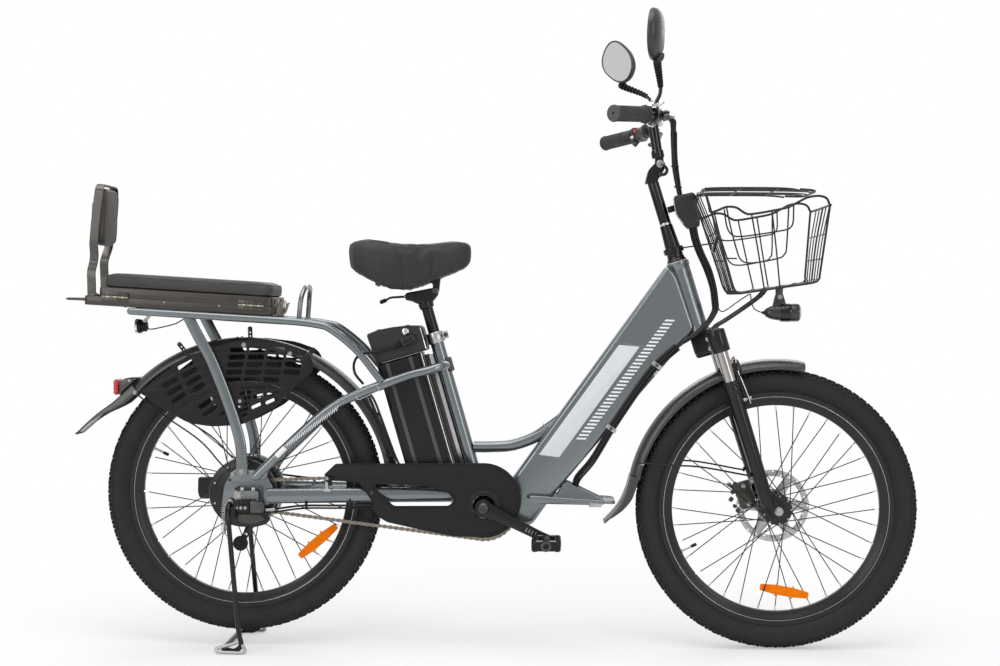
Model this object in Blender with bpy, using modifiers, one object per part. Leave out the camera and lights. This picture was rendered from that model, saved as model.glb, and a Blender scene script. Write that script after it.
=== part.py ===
"""Electric bicycle with a carrier box, a pillion seat and a front basket.

Real size in metres. +X is forward, +Y the rider's left, +Z up. The origin is on the
ground under the middle of the length. It stands on its front wheel and centre stand.
"""
import math

import bmesh
import bpy
from mathutils import Matrix, Vector

# Wheels
WHEEL_R = 0.3075
TYRE_HALF = 0.029
TYRE_WALL = 0.004
RIM_EDGE_R = 0.2565
RIM_SEAT_R = 0.246
RIM_INNER_R = 0.226
RIM_HALF = 0.016
SPOKES = 36
SPOKE_R = 0.0013
SPOKE_SET = 0.0017
WHEEL_STEPS = 30
FRONT_X = 0.629
REAR_X = -0.542
REAR_Z = 0.339
FRONT_FLANGE_R = 0.030
FRONT_FLANGE_Y = 0.030
MOTOR_R = 0.075
MOTOR_FLANGE_Y = 0.027
AXLE_R = 0.005
REAR_AXLE_R = 0.006
ROTOR_R = 0.080
ROTOR_THICK = 0.002
ROTOR_FRONT_Y = 0.0415
ROTOR_REAR_Y = 0.0520

# Steering
STEER_TILT = math.radians(17)
HEAD_TOP_X = 0.413
HEAD_TOP_Z = 0.848
HEAD_LENGTH = 0.161
HEAD_R = 0.0235
FORK_OFFSET = 0.030
FORK_HALF = 0.060
STANCHION_R = 0.0135
LOWER_R = 0.0165
FORK_TRAVEL = 0.010
STEERER_R = 0.0127
STANCHION_INSIDE = 0.085
ARCH_R = 0.0065
STEM_R = 0.0125
TILT_X = 0.374
TILT_Z = 1.060
BAR_X = 0.358
BAR_Z = 1.158
BAR_R = 0.011
BAR_HALF = 0.302
BAR_SWEEP = 0.093
BAR_DROP = 0.020
GRIP_R = 0.0155
GRIP_BORE = 0.0117
TILT_TONGUE = 0.016
MIRROR_WIDTH = 0.124
MIRROR_HEIGHT = 0.106
MIRROR_DEPTH = 0.022
MIRROR_BALL_R = 0.0080
GRIP_LENGTH = 0.115

# Drive
BB_X = -0.009
BB_Z = 0.314
BB_R = 0.021
BB_HALF = 0.034
AXLE_SHAFT_R = 0.0085
PITCH = 0.0127
RING_TEETH = 36
COG_TEETH = 14
CHAIN_Y = -0.045
CHAIN_HALF = 0.0036
TOOTH_HALF = 0.0011
TOOTH_ROOT = 0.0046
TOOTH_TIP = -0.0001
CRANK_LENGTH = 0.152
CRANK_ANGLE = math.radians(-26)
CRANK_Y = -0.0745
PEDAL_LENGTH = 0.088
PEDAL_WIDTH = 0.062
JOCKEY_TEETH = 8
CRANK_THICK = 0.0115
CRANK_LEFT_Y = 0.0600
PEDAL_RIGHT_Y = -0.1360
PEDAL_LEFT_Y = 0.1215
GUARD_Y = -0.0610
GUARD_WALL = 0.0016

# Frame
STAY_R = 0.0100
DROPOUT_Y = 0.0690
DROPOUT_THICK = 0.005
DOWN_HALF = 0.030
FENDER_R = 0.343
FENDER_HALF = 0.036
FENDER_WALL = 0.0022
FRONT_FENDER_R = 0.328
FENDER_WIRE_R = 0.0022

# Carrier, boxes and seats
RACK_R = 0.0080
CROSS_R = 0.0070
RACK_Y = 0.085
BASKET_WIRE = 0.0018
BOX_HALF = 0.082
LATCH_Y = 0.036
BOX_WALL = 0.003
BATTERY_HALF = 0.0385
SEAT_TILT = math.radians(16)

GAP = 0.0003

STEER_UP = Vector((-math.sin(STEER_TILT), 0, math.cos(STEER_TILT)))
STEER_FRONT = Vector((math.cos(STEER_TILT), 0, math.sin(STEER_TILT)))
HEAD_TOP = Vector((HEAD_TOP_X, 0, HEAD_TOP_Z))
HEAD_BOTTOM = HEAD_TOP - STEER_UP * HEAD_LENGTH
FRONT_AXLE = Vector((FRONT_X, 0, WHEEL_R))
REAR_AXLE = Vector((REAR_X, 0, REAR_Z))
BB = Vector((BB_X, 0, BB_Z))
SEAT_UP = Vector((-math.sin(SEAT_TILT), 0, math.cos(SEAT_TILT)))
SEAT_FRONT = Vector((math.cos(SEAT_TILT), 0, math.sin(SEAT_TILT)))
RING_R = PITCH / (2 * math.sin(math.pi / RING_TEETH))
COG_R = PITCH / (2 * math.sin(math.pi / COG_TEETH))
JOCKEY_R = PITCH / (2 * math.sin(math.pi / JOCKEY_TEETH))
JOCKEY = Vector((-0.490, 0, 0.3186))
CAGE_PIVOT = Vector((-0.515, 0, 0.284))
CAGE_FOOT = Vector((-0.543, 0, 0.2312))


# Scene, collections and materials

def clear_scene():
    for obj in list(bpy.data.objects):
        bpy.data.objects.remove(obj, do_unlink=True)


def new_collection(name):
    collection = bpy.data.collections.new(name)
    bpy.context.scene.collection.children.link(collection)
    return collection


clear_scene()
PARTS = new_collection("electric_bicycle")
CUTTERS = new_collection("cutters")
CUTTERS.hide_render = True


def material(name, color, roughness, metallic=0.0):
    made = bpy.data.materials.new(name)
    made.use_nodes = True
    shader = made.node_tree.nodes["Principled BSDF"]
    shader.inputs["Base Color"].default_value = (*color, 1.0)
    shader.inputs["Roughness"].default_value = roughness
    shader.inputs["Metallic"].default_value = metallic
    return made


FRAME_PAINT = material("frame_paint", (0.24, 0.28, 0.31), 0.32, 0.6)
BLACK_PLASTIC = material("black_plastic", (0.022, 0.022, 0.023), 0.45)
BLACK_PAINT = material("black_paint", (0.018, 0.018, 0.020), 0.30, 0.3)
BLACK_WIRE = material("black_wire", (0.015, 0.015, 0.017), 0.35)
RUBBER = material("rubber", (0.020, 0.019, 0.019), 0.80)
CHROME = material("chrome", (0.80, 0.80, 0.82), 0.12, 1.0)
STEEL = material("steel", (0.42, 0.40, 0.37), 0.35, 1.0)
BRASS = material("brass", (0.55, 0.42, 0.20), 0.30, 1.0)
VINYL = material("vinyl", (0.045, 0.045, 0.048), 0.60)
RED_LENS = material("red_lens", (0.60, 0.01, 0.02), 0.15)
BATTERY_SHELL = material("battery_shell", (0.040, 0.039, 0.038), 0.50)


# Shapes

def link(obj, collection):
    for old in list(obj.users_collection):
        old.objects.unlink(obj)
    collection.objects.link(obj)
    return obj


def from_bmesh(shape, name="shape"):
    bmesh.ops.recalc_face_normals(shape, faces=shape.faces)
    mesh = bpy.data.meshes.new(name)
    shape.to_mesh(mesh)
    shape.free()
    return link(bpy.data.objects.new(name, mesh), CUTTERS)


def place(obj, matrix):
    obj.data.transform(matrix)
    obj.data.update()
    return obj


def baked(obj):
    """The object as a plain mesh with its modifiers applied and its seams welded."""
    bpy.context.view_layer.update()
    graph = bpy.context.evaluated_depsgraph_get()
    mesh = bpy.data.meshes.new_from_object(obj.evaluated_get(graph))
    mesh.transform(obj.matrix_world)
    shape = bmesh.new()
    shape.from_mesh(mesh)
    bmesh.ops.remove_doubles(shape, verts=shape.verts, dist=1e-6)
    bmesh.ops.recalc_face_normals(shape, faces=shape.faces)
    shape.to_mesh(mesh)
    shape.free()
    old = obj.data
    bpy.data.objects.remove(obj, do_unlink=True)
    if isinstance(old, bpy.types.Curve):
        bpy.data.curves.remove(old)
    return link(bpy.data.objects.new("shape", mesh), CUTTERS)


def side_view(y=0.0):
    """Takes a flat shape's x and y to the bicycle's X and Z, at this Y."""
    return Matrix.Translation((0, y, 0)) @ Matrix.Rotation(math.radians(90), 4, "X")


def facing(point, direction, roll=0.0):
    """A frame at the point whose Z axis looks along the direction."""
    turn = Vector(direction).to_track_quat("Z", "Y").to_matrix().to_4x4()
    return Matrix.Translation(point) @ turn @ Matrix.Rotation(roll, 4, "Z")


def tube(points, radius, sides=8, cyclic=False):
    """A round tube or wire along the points."""
    curve = bpy.data.curves.new("tube", "CURVE")
    curve.dimensions = "3D"
    curve.twist_mode = "Z_UP"
    curve.bevel_depth = radius
    curve.bevel_resolution = sides // 2 - 2
    curve.use_fill_caps = True
    spline = curve.splines.new("POLY")
    spline.points.add(len(points) - 1)
    for target, point in zip(spline.points, points):
        target.co = (*point, 1)
    spline.use_cyclic_u = cyclic
    return baked(link(bpy.data.objects.new("tube", curve), CUTTERS))


def flat(outline, thickness, holes=(), bevel=0.0):
    """A flat plate in its own X and Y, centred on its own Z = 0."""
    curve = bpy.data.curves.new("flat", "CURVE")
    curve.dimensions = "2D"
    curve.fill_mode = "BOTH"
    curve.extrude = thickness / 2
    for loop in (outline, *holes):
        spline = curve.splines.new("POLY")
        spline.points.add(len(loop) - 1)
        for target, point in zip(spline.points, loop):
            target.co = (point[0], point[1], 0, 1)
        spline.use_cyclic_u = True
    obj = link(bpy.data.objects.new("flat", curve), CUTTERS)
    obj = baked(obj)
    if bevel:
        soften(obj, bevel)
    return obj


def soften(obj, width, segments=1, angle=40):
    bevel = obj.modifiers.new("bevel", "BEVEL")
    bevel.width = width
    bevel.segments = segments
    bevel.limit_method = "ANGLE"
    bevel.angle_limit = math.radians(angle)
    return obj


def plate(outline, thickness, y, holes=(), bevel=0.0):
    """A plate seen in side view: its outline is in X and Z, centred on this Y."""
    made = place(flat(outline, thickness, holes), side_view(y))
    return soften(made, bevel) if bevel else made


def turned(profile, steps, matrix, closed=True):
    """A profile of (radius, height) turned about its own Z axis."""
    shape = bmesh.new()
    ring = [shape.verts.new((r, 0, h)) for r, h in profile]
    ends = zip(ring, ring[1:] + ring[:1]) if closed else zip(ring, ring[1:])
    for a, b in ends:
        shape.edges.new((a, b))
    mesh = bpy.data.meshes.new("turned")
    shape.to_mesh(mesh)
    shape.free()
    obj = link(bpy.data.objects.new("turned", mesh), CUTTERS)
    screw = obj.modifiers.new("screw", "SCREW")
    screw.steps = steps
    screw.render_steps = steps
    screw.use_merge_vertices = True
    screw.merge_threshold = 0.00001
    return place(baked(obj), matrix)


def solid_profile(pairs):
    """Closes an outer profile down to the axis, for a turned solid without a bore."""
    return [(0.0, pairs[0][1]), *pairs, (0.0, pairs[-1][1])]


def pin(start, end, radius, sides=12):
    """A round pin between two points."""
    start, end = Vector(start), Vector(end)
    shape = bmesh.new()
    bmesh.ops.create_cone(
        shape, cap_ends=True, segments=sides, radius1=radius, radius2=radius,
        depth=(end - start).length,
    )
    return place(from_bmesh(shape), facing((start + end) / 2, end - start))


def block(size, centre=(0, 0, 0), bevel=0.0, turn=None):
    shape = bmesh.new()
    bmesh.ops.create_cube(shape, size=1)
    bmesh.ops.scale(shape, vec=size, verts=shape.verts)
    obj = from_bmesh(shape)
    matrix = Matrix.Translation(centre)
    place(obj, matrix @ turn if turn else matrix)
    return soften(obj, bevel) if bevel else obj


def combine(base, others, operation):
    """Adds the other closed shapes to the base, or takes them from it, one after another."""
    solid = baked(base)
    operands = [baked(other) for other in others]
    for operand in operands:
        boolean = solid.modifiers.new(operation.lower(), "BOOLEAN")
        boolean.operation = operation
        boolean.solver = "MANIFOLD"
        boolean.object = operand
        operand.hide_render = True
    solid = baked(solid)
    for operand in operands:
        bpy.data.objects.remove(operand, do_unlink=True)
    return solid


def fuse(base, *others):
    return combine(base, others, "UNION")


def cut(base, *others):
    return combine(base, others, "DIFFERENCE")


def curve_through(points, steps):
    """A smooth curve through the points, with this many steps between each pair."""
    points = [Vector(p) for p in points]
    padded = [2 * points[0] - points[1], *points, 2 * points[-1] - points[-2]]
    smooth = []
    for a, b, c, d in zip(padded, padded[1:], padded[2:], padded[3:]):
        for k in range(steps):
            t = k / steps
            smooth.append(
                0.5 * (2 * b + (c - a) * t + (2 * a - 5 * b + 4 * c - d) * t**2
                       + (3 * b - a - 3 * c + d) * t**3)
            )
    return smooth + [points[-1]]


def arc(centre, radius, start, end, steps):
    """Points (x, z) on an arc, with its angles in degrees from +X towards +Z."""
    for k in range(steps + 1):
        angle = math.radians(start + (end - start) * k / steps)
        yield (centre[0] + radius * math.cos(angle), centre[1] + radius * math.sin(angle))


def bore_radius(radius, sides):
    """The corner radius of a bore whose flats still clear a turning pin of this radius."""
    return (radius + GAP) / math.cos(math.pi / sides)


def circle(centre, radius, steps, phase=0.0):
    return [
        (centre[0] + radius * math.cos(phase + 2 * math.pi * k / steps),
         centre[1] + radius * math.sin(phase + 2 * math.pi * k / steps))
        for k in range(steps)
    ]


# Nodes and the empties that carry them

def axis_empty(name, point):
    empty = bpy.data.objects.new(name, None)
    empty.location = point
    empty.empty_display_size = 0.03
    PARTS.objects.link(empty)
    return empty


def node(name, obj, finish, carrier=None):
    """Names a finished solid, gives it its material and hangs it on its carrier."""
    solid = baked(obj)
    solid.name = name
    solid.data.name = name
    solid.data.materials.clear()
    solid.data.materials.append(finish)
    solid.data.shade_smooth()
    solid.data.set_sharp_from_angle(angle=math.radians(35))
    link(solid, PARTS)
    if carrier:
        origin = Vector(carrier["axis_point"])
        solid.data.transform(Matrix.Translation(-origin))
        solid.parent = carrier
    return solid


def carrier(name, point):
    empty = axis_empty(name, point)
    empty["axis_point"] = tuple(point)
    return empty


# Wheels

def wheel_frame(centre):
    """A turned wheel's own Z axis runs along the bicycle's Y."""
    return Matrix.Translation(centre) @ Matrix.Rotation(math.radians(-90), 4, "X")


def tyre(centre):
    bead = RIM_SEAT_R + GAP
    lip = RIM_HALF - 0.0020
    outer = [
        (bead, lip), (RIM_EDGE_R + 0.001, lip), (0.270, 0.0262), (0.283, TYRE_HALF),
        (0.298, 0.0240), (WHEEL_R, 0.0090),
    ]
    inner = [(0.283, TYRE_HALF - TYRE_WALL), (bead, lip - TYRE_WALL)]
    profile = (
        outer + [(r, -y) for r, y in reversed(outer)]
        + [(r, -y) for r, y in reversed(inner)] + [(0.3030, 0.0)] + inner
    )
    return turned(profile, WHEEL_STEPS, wheel_frame(centre))


def rim(centre):
    half = [
        (RIM_INNER_R, 0.0060), (0.244, RIM_HALF), (RIM_EDGE_R, RIM_HALF),
        (RIM_EDGE_R, RIM_HALF - 0.0016), (RIM_SEAT_R, RIM_HALF - 0.0017),
    ]
    profile = half + [(r, -y) for r, y in reversed(half)]
    return turned(profile, WHEEL_STEPS, wheel_frame(centre))


def spokes(centre, flange_r, flange_y, crossings=3):
    """Laced spokes: each side leans forwards and backwards in turn."""
    made = []
    rim_r = RIM_INNER_R * math.cos(math.pi / WHEEL_STEPS) - GAP
    step = 2 * math.pi / SPOKES
    for k in range(SPOKES):
        side = 1 if k % 2 else -1
        lean = 1 if (k // 2) % 2 else -1
        at_rim = k * step
        at_hub = at_rim + lean * crossings * 2 * step
        beside = side * (flange_y + lean * SPOKE_SET)
        start = centre + Vector((
            flange_r * math.cos(at_hub), beside, flange_r * math.sin(at_hub)))
        set_over = side * (0.0020 + lean * SPOKE_SET)
        end = centre + Vector((rim_r * math.cos(at_rim), set_over, rim_r * math.sin(at_rim)))
        made.append(pin(start, end, SPOKE_R, 3))
    return made


def rotor(centre, y):
    """A brake disc with drilled band and open arms, centred on this Y."""
    band = ROTOR_R - 0.015
    outer = circle((centre.x, centre.z), ROTOR_R, 22)
    holes = [
        circle((centre.x + (ROTOR_R - 0.007) * math.cos(a),
                centre.z + (ROTOR_R - 0.007) * math.sin(a)), 0.0030, 4)
        for a in (2 * math.pi * k / 6 for k in range(6))
    ]
    for k in range(6):
        start = 60 * k
        outside = list(arc((centre.x, centre.z), band, start + 9, start + 51, 3))
        inside = list(arc((centre.x, centre.z), 0.034, start + 42, start + 18, 1))
        holes.append(outside + inside)
    return plate(outer, ROTOR_THICK, y, holes)


def front_hub():
    body = turned(solid_profile([
        (0.0160, -0.0440), (0.0320, -0.0420), (0.0320, -0.0390), (0.0190, -0.0370),
        (0.0190, -0.0330), (FRONT_FLANGE_R + 0.003, -0.0315),
        (FRONT_FLANGE_R + 0.003, -0.0285), (0.0165, -0.0240), (0.0165, 0.0240),
        (FRONT_FLANGE_R + 0.003, 0.0285), (FRONT_FLANGE_R + 0.003, 0.0315),
        (0.0190, 0.0340), (0.0190, 0.0440),
    ][::-1]), 12, wheel_frame(FRONT_AXLE))
    axle = pin(FRONT_AXLE - Vector((0, 0.0720, 0)), FRONT_AXLE + Vector((0, 0.0720, 0)), AXLE_R, 10)
    disc = rotor(FRONT_AXLE, ROTOR_FRONT_Y)
    nuts = [
        pin(FRONT_AXLE + Vector((0, side * 0.0625, 0)), FRONT_AXLE + Vector((0, side * 0.0700, 0)),
            0.0090, 6)
        for side in (-1, 1)
    ]
    return fuse(body, axle, disc, *nuts, *spokes(FRONT_AXLE, FRONT_FLANGE_R, FRONT_FLANGE_Y))


def rear_hub():
    shell = [
        (0.0200, -0.0380), (0.0560, -0.0375), (0.0600, -0.0350), (MOTOR_R - 0.004, -0.0330),
        (MOTOR_R, -0.0300), (MOTOR_R, -0.0240), (MOTOR_R - 0.007, -0.0220),
        (MOTOR_R - 0.007, 0.0220), (MOTOR_R, 0.0240), (MOTOR_R, 0.0300),
        (MOTOR_R - 0.004, 0.0330), (0.0600, 0.0350), (0.0560, 0.0400), (0.0240, 0.0420),
        (0.0240, 0.0516),
    ]
    body = turned(solid_profile(shell[::-1]), 18, wheel_frame(REAR_AXLE))
    disc = rotor(REAR_AXLE, ROTOR_REAR_Y)
    outside = DROPOUT_Y + DROPOUT_THICK / 2 + GAP
    reach = Vector((0, outside + 0.012, 0))
    axle = pin(REAR_AXLE - reach, REAR_AXLE + reach, REAR_AXLE_R, 10)
    nuts = [
        pin(REAR_AXLE + Vector((0, side * outside, 0)),
            REAR_AXLE + Vector((0, side * (outside + 0.008), 0)), 0.0100, 6)
        for side in (-1, 1)
    ]
    return fuse(body, disc, axle, *nuts,
                *spokes(REAR_AXLE, MOTOR_R - 0.004, MOTOR_FLANGE_Y, 1))


# Sprockets and chain

def sprocket_outline(centre, teeth, pitch_r, phase):
    """Teeth that stand in the gaps between the rollers, in side view."""
    points = []
    step = 2 * math.pi / teeth
    for k in range(teeth):
        middle = phase + (k + 0.5) * step
        for share, r in ((-0.26, -TOOTH_ROOT), (-0.10, TOOTH_TIP), (0.10, TOOTH_TIP),
                         (0.26, -TOOTH_ROOT)):
            angle = middle + share * step
            points.append((centre.x + (pitch_r + r) * math.cos(angle),
                           centre.z + (pitch_r + r) * math.sin(angle)))
    return points


def chain_wraps():
    """Where the chain lies on each toothed wheel: centre, radius, tooth step, middle, angle."""
    wheels = [(BB, RING_R, RING_TEETH), (JOCKEY, JOCKEY_R, JOCKEY_TEETH),
              (REAR_AXLE, COG_R, COG_TEETH)]
    leaving = []
    for (a, radius_a, _), (b, radius_b, _) in zip(wheels, wheels[1:] + wheels[:1]):
        span = Vector((b.x - a.x, b.z - a.z))
        along = span.normalized()
        share = (radius_a - radius_b) / span.length
        outwards = along * share + Vector((-along.y, along.x)) * math.sqrt(1 - share**2)
        leaving.append(math.atan2(outwards.y, outwards.x))
    wraps = []
    for k, (centre, radius, teeth) in enumerate(wheels):
        angle = (leaving[k - 1] - leaving[k]) % (2 * math.pi)
        wraps.append((centre, radius, 2 * math.pi / teeth, leaving[k - 1] - angle / 2, angle))
    return wraps


def chain_route():
    """The pitch line, one roller per point: round the ring, back, round the jockey and cog.

    The rollers on each toothed wheel lie between its teeth, and each straight run is
    shared out in whole links.
    """
    turns = []
    for centre, radius, step, middle, angle in chain_wraps():
        half = math.ceil(angle / 2 / step - 0.35)
        turns.append([
            Vector((centre.x + radius * math.cos(middle - k * step),
                    centre.z + radius * math.sin(middle - k * step)))
            for k in range(-half, half + 1)
        ])
    line = []
    for turn, following in zip(turns, turns[1:] + turns[:1]):
        line.extend(turn)
        links = round((following[0] - turn[-1]).length / PITCH)
        line.extend(turn[-1].lerp(following[0], k / links) for k in range(1, links))
    return line


def chain():
    route = chain_route()
    count = len(route)
    outer, inner = [], []
    for k, roller in enumerate(route):
        before, after = route[k - 1], route[(k + 1) % count]
        along = (after - before).normalized()
        outwards = Vector((-along.y, along.x))
        step = (after - roller).normalized()
        across = Vector((-step.y, step.x))
        middle = (roller + after) / 2
        outer.append(roller + outwards * 0.0045)
        inner.append(roller - outwards * 0.0040)
        inner.append(middle + across * 0.0034)
    return plate(outer, 2 * CHAIN_HALF, CHAIN_Y, [inner])


def sprocket(wrap, teeth, holes=(), thickness=None):
    centre, radius, _, middle, _ = wrap
    outline = sprocket_outline(centre, teeth, radius, middle)
    return plate(outline, thickness or 2 * TOOTH_HALF, CHAIN_Y, holes)


def along_y(centre, start, end, radius, sides=12):
    """A round pin across the bicycle at this centre."""
    return pin((centre.x, start, centre.z), (centre.x, end, centre.z), radius, sides)


def arm_end(side):
    """The pedal's axle: the right arm points down ahead and the left one up behind."""
    turn = CRANK_ANGLE if side < 0 else CRANK_ANGLE + math.pi
    return BB + CRANK_LENGTH * Vector((math.cos(turn), 0, math.sin(turn)))


def crank_arm(side, y):
    end = arm_end(side)
    along = (end - BB).normalized()
    turn = math.degrees(math.atan2(along.z, along.x))
    outline = list(arc((BB.x, BB.z), 0.0175, turn + 75, turn + 285, 6))
    outline += list(arc((end.x, end.z), 0.0125, turn - 85, turn + 85, 6))
    return plate(outline, CRANK_THICK, y)


def crankset():
    ring_holes = [
        circle((BB.x + 0.047 * math.cos(a), BB.z + 0.047 * math.sin(a)), 0.0125, 6, a)
        for a in (2 * math.pi * (k + 0.5) / 5 for k in range(5))
    ]
    ring = sprocket(chain_wraps()[0], RING_TEETH, ring_holes)
    boss = along_y(BB, CHAIN_Y, CRANK_Y, 0.0165, 16)
    axle = along_y(BB, CHAIN_Y, CRANK_LEFT_Y, AXLE_SHAFT_R)
    spindles = [
        along_y(arm_end(-1), CRANK_Y, PEDAL_RIGHT_Y - PEDAL_LENGTH / 2 + 0.006, 0.0050, 8),
        along_y(arm_end(1), CRANK_LEFT_Y, PEDAL_LEFT_Y + PEDAL_LENGTH / 2 - 0.006, 0.0050, 8),
    ]
    return fuse(crank_arm(-1, CRANK_Y), crank_arm(1, CRANK_LEFT_Y), ring, boss, axle, *spindles)


def pedal(side):
    end = arm_end(side)
    y = PEDAL_RIGHT_Y if side < 0 else PEDAL_LEFT_Y
    body = block((PEDAL_WIDTH, PEDAL_LENGTH, 0.026), (end.x, y, end.z), 0.004)
    inner = y - side * PEDAL_LENGTH / 2
    closed = y + side * (PEDAL_LENGTH / 2 - 0.004)
    bore = along_y(end, inner - side * 0.01, closed, bore_radius(0.0050, 8), 8)
    slots = [
        block((0.011, PEDAL_LENGTH - 0.026, 0.040), (end.x + side_x * 0.0175, y, end.z))
        for side_x in (-1, 1)
    ]
    return cut(body, bore, *slots)


def freewheel():
    cog = sprocket(chain_wraps()[2], COG_TEETH)
    body = along_y(REAR_AXLE, -0.0385, -0.0600, 0.0200, 20)
    return cut(fuse(body, cog), along_y(REAR_AXLE, -0.02, -0.08, bore_radius(REAR_AXLE_R, 12)))


def jockey_wheel():
    wheel = sprocket(chain_wraps()[1], JOCKEY_TEETH)
    body = along_y(JOCKEY, CHAIN_Y - 0.0040, CHAIN_Y + 0.0040, 0.0085)
    return cut(fuse(wheel, body), along_y(JOCKEY, -0.08, -0.02, bore_radius(0.0030, 10), 10))


def derailleur():
    block_body = block((0.066, 0.022, 0.028), (-0.518, -0.089, 0.316), 0.003)
    fan = plate([(-0.552, 0.306), (-0.486, 0.306), (-0.469, 0.291), (-0.478, 0.279),
                 (-0.505, 0.272), (-0.538, 0.276), (-0.551, 0.292)], 0.014, -0.089, bevel=0.002)
    mount = along_y(Vector((-0.500, 0, 0.3265)), -0.0718, -0.0800, 0.0035, 8)
    pivot = along_y(CAGE_PIVOT, -0.0830, -0.0515, 0.0040, 10)
    hoop = tube(curve_through([
        (-0.492, -0.095, 0.325), (-0.491, -0.103, 0.350), (-0.500, -0.1045, 0.356),
        (-0.534, -0.1045, 0.356), (-0.543, -0.098, 0.356), (-0.544, -0.080, 0.356),
    ], 2), 0.0035, 6)
    return fuse(block_body, fan, mount, pivot, hoop)


def derailleur_cage():
    """An arm from the small wheel above the pivot down to a round foot."""
    jockey, foot = Vector((JOCKEY.x, JOCKEY.z)), Vector((CAGE_FOOT.x, CAGE_FOOT.z))
    along = (jockey - foot).normalized()
    across = Vector((-along.y, along.x))
    turn = math.degrees(math.atan2(along.y, along.x))
    pivot = Vector((CAGE_PIVOT.x, CAGE_PIVOT.z))
    neck = foot + along * 0.024
    outline = list(arc(jockey, 0.0085, turn - 90, turn + 90, 6))
    outline += [pivot + across * 0.0105, neck + across * 0.0070]
    outline += list(arc(foot, 0.0165, turn + 25, turn + 335, 14))
    outline += [neck - across * 0.0070, pivot - across * 0.0105]
    arm = plate(outline, 0.0020, -0.0540, [circle((neck.x, neck.y), 0.0028, 8)])
    axle = along_y(JOCKEY, -0.0540, -0.0412, 0.0030, 10)
    boss = along_y(CAGE_FOOT, -0.0540, -0.0490, 0.0080, 12)
    return cut(fuse(arm, axle, boss),
               along_y(CAGE_PIVOT, -0.0700, -0.0500, bore_radius(0.0040, 10), 10))


def chain_guard():
    round_centre = (BB.x, BB.z + 0.015)
    outline = [
        (-0.3563, 0.3827), (-0.3312, 0.4065), *arc(round_centre, 0.080, 90, -100, 16),
        (-0.0753, 0.2545), (-0.147, 0.2705), (-0.2187, 0.287), (-0.2361, 0.2967),
        (-0.2516, 0.3134), (-0.2479, 0.3201), (-0.2644, 0.3455), (-0.2818, 0.3694),
        (-0.3395, 0.3713),
    ]
    slot = [(-0.2476, 0.3652), (-0.2413, 0.350), (-0.2045, 0.3154), (-0.0850, 0.3160),
            (-0.0752, 0.3250), (-0.0752, 0.3370), (-0.0900, 0.3500), (-0.1317, 0.3592),
            (-0.200, 0.3640)]
    cover = plate(outline, GUARD_WALL, GUARD_Y, [slot, circle((BB.x, BB.z), 0.036, 18)])
    edge = [(-0.3312, 0.4065), *arc(round_centre, 0.080, 90, 35, 5)]
    lip = plate(edge + [(x, z - 0.0020) for x, z in reversed(edge)], 0.0090, GUARD_Y + 0.0045)
    tab = along_y(Vector((-0.253, 0, 0.3445)), GUARD_Y, GUARD_Y + 0.0048, 0.0050, 8)
    return fuse(cover, lip, tab)


# Steering and fork: places are given along the steering axis, ahead of it and sideways

def at_steering(up, ahead, side=0.0):
    return HEAD_TOP + STEER_UP * up + STEER_FRONT * ahead + Vector((0, side, 0))


def steering_frame(up=0.0, ahead=0.0, side=0.0):
    return facing_up(at_steering(up, ahead, side), STEER_TILT)


def facing_up(point, tilt):
    """A frame whose Z axis leans back by the tilt and whose X axis points ahead."""
    return Matrix.Translation(point) @ Matrix.Rotation(-tilt, 4, "Y")


AXLE_UP = (FRONT_AXLE - HEAD_TOP).dot(STEER_UP)
AXLE_AHEAD = (FRONT_AXLE - HEAD_TOP).dot(STEER_FRONT)
CROWN_TOP = -HEAD_LENGTH - 0.004
CROWN_BOTTOM = CROWN_TOP - 0.048
LOWERS_TOP = -0.2822
LOWERS_BOTTOM = AXLE_UP + 0.016


def head_tube():
    profile = [
        (HEAD_R + 0.0015, 0.0), (HEAD_R + 0.0015, -0.012), (HEAD_R, -0.013),
        (HEAD_R, -HEAD_LENGTH + 0.013), (HEAD_R + 0.0015, -HEAD_LENGTH + 0.012),
        (HEAD_R + 0.0015, -HEAD_LENGTH), (STEERER_R + GAP, -HEAD_LENGTH), (STEERER_R + GAP, 0.0),
    ]
    return turned(profile, 20, steering_frame())


def fork_crown():
    steerer = pin(at_steering(CROWN_TOP - 0.002, 0), at_steering(0.0, 0), STEERER_R, 12)
    race = pin(at_steering(CROWN_TOP - 0.002, 0), at_steering(-HEAD_LENGTH - GAP, 0),
               HEAD_R - 0.002, 16)
    plan = [
        (-0.0215, -0.008), (-0.012, -0.022), (0.008, -0.050), (0.010, -0.078),
        (0.022, -0.082), (0.044, -0.080),
        (0.050, -0.070), (0.050, -0.050), (0.030, -0.030), (0.027, 0.0), (0.030, 0.030),
        (0.050, 0.050), (0.050, 0.070), (0.044, 0.080), (0.022, 0.082), (0.010, 0.078),
        (0.008, 0.050), (-0.012, 0.022), (-0.0215, 0.008),
    ]
    crown = flat(plan, CROWN_TOP - CROWN_BOTTOM)
    crown = place(crown, steering_frame((CROWN_TOP + CROWN_BOTTOM) / 2))
    legs = [
        pin(at_steering(CROWN_BOTTOM + 0.020, FORK_OFFSET, side * FORK_HALF),
            at_steering(LOWERS_TOP - STANCHION_INSIDE, FORK_OFFSET, side * FORK_HALF),
            STANCHION_R, 12)
        for side in (-1, 1)
    ]
    return fuse(crown, steerer, race, *legs)


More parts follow.
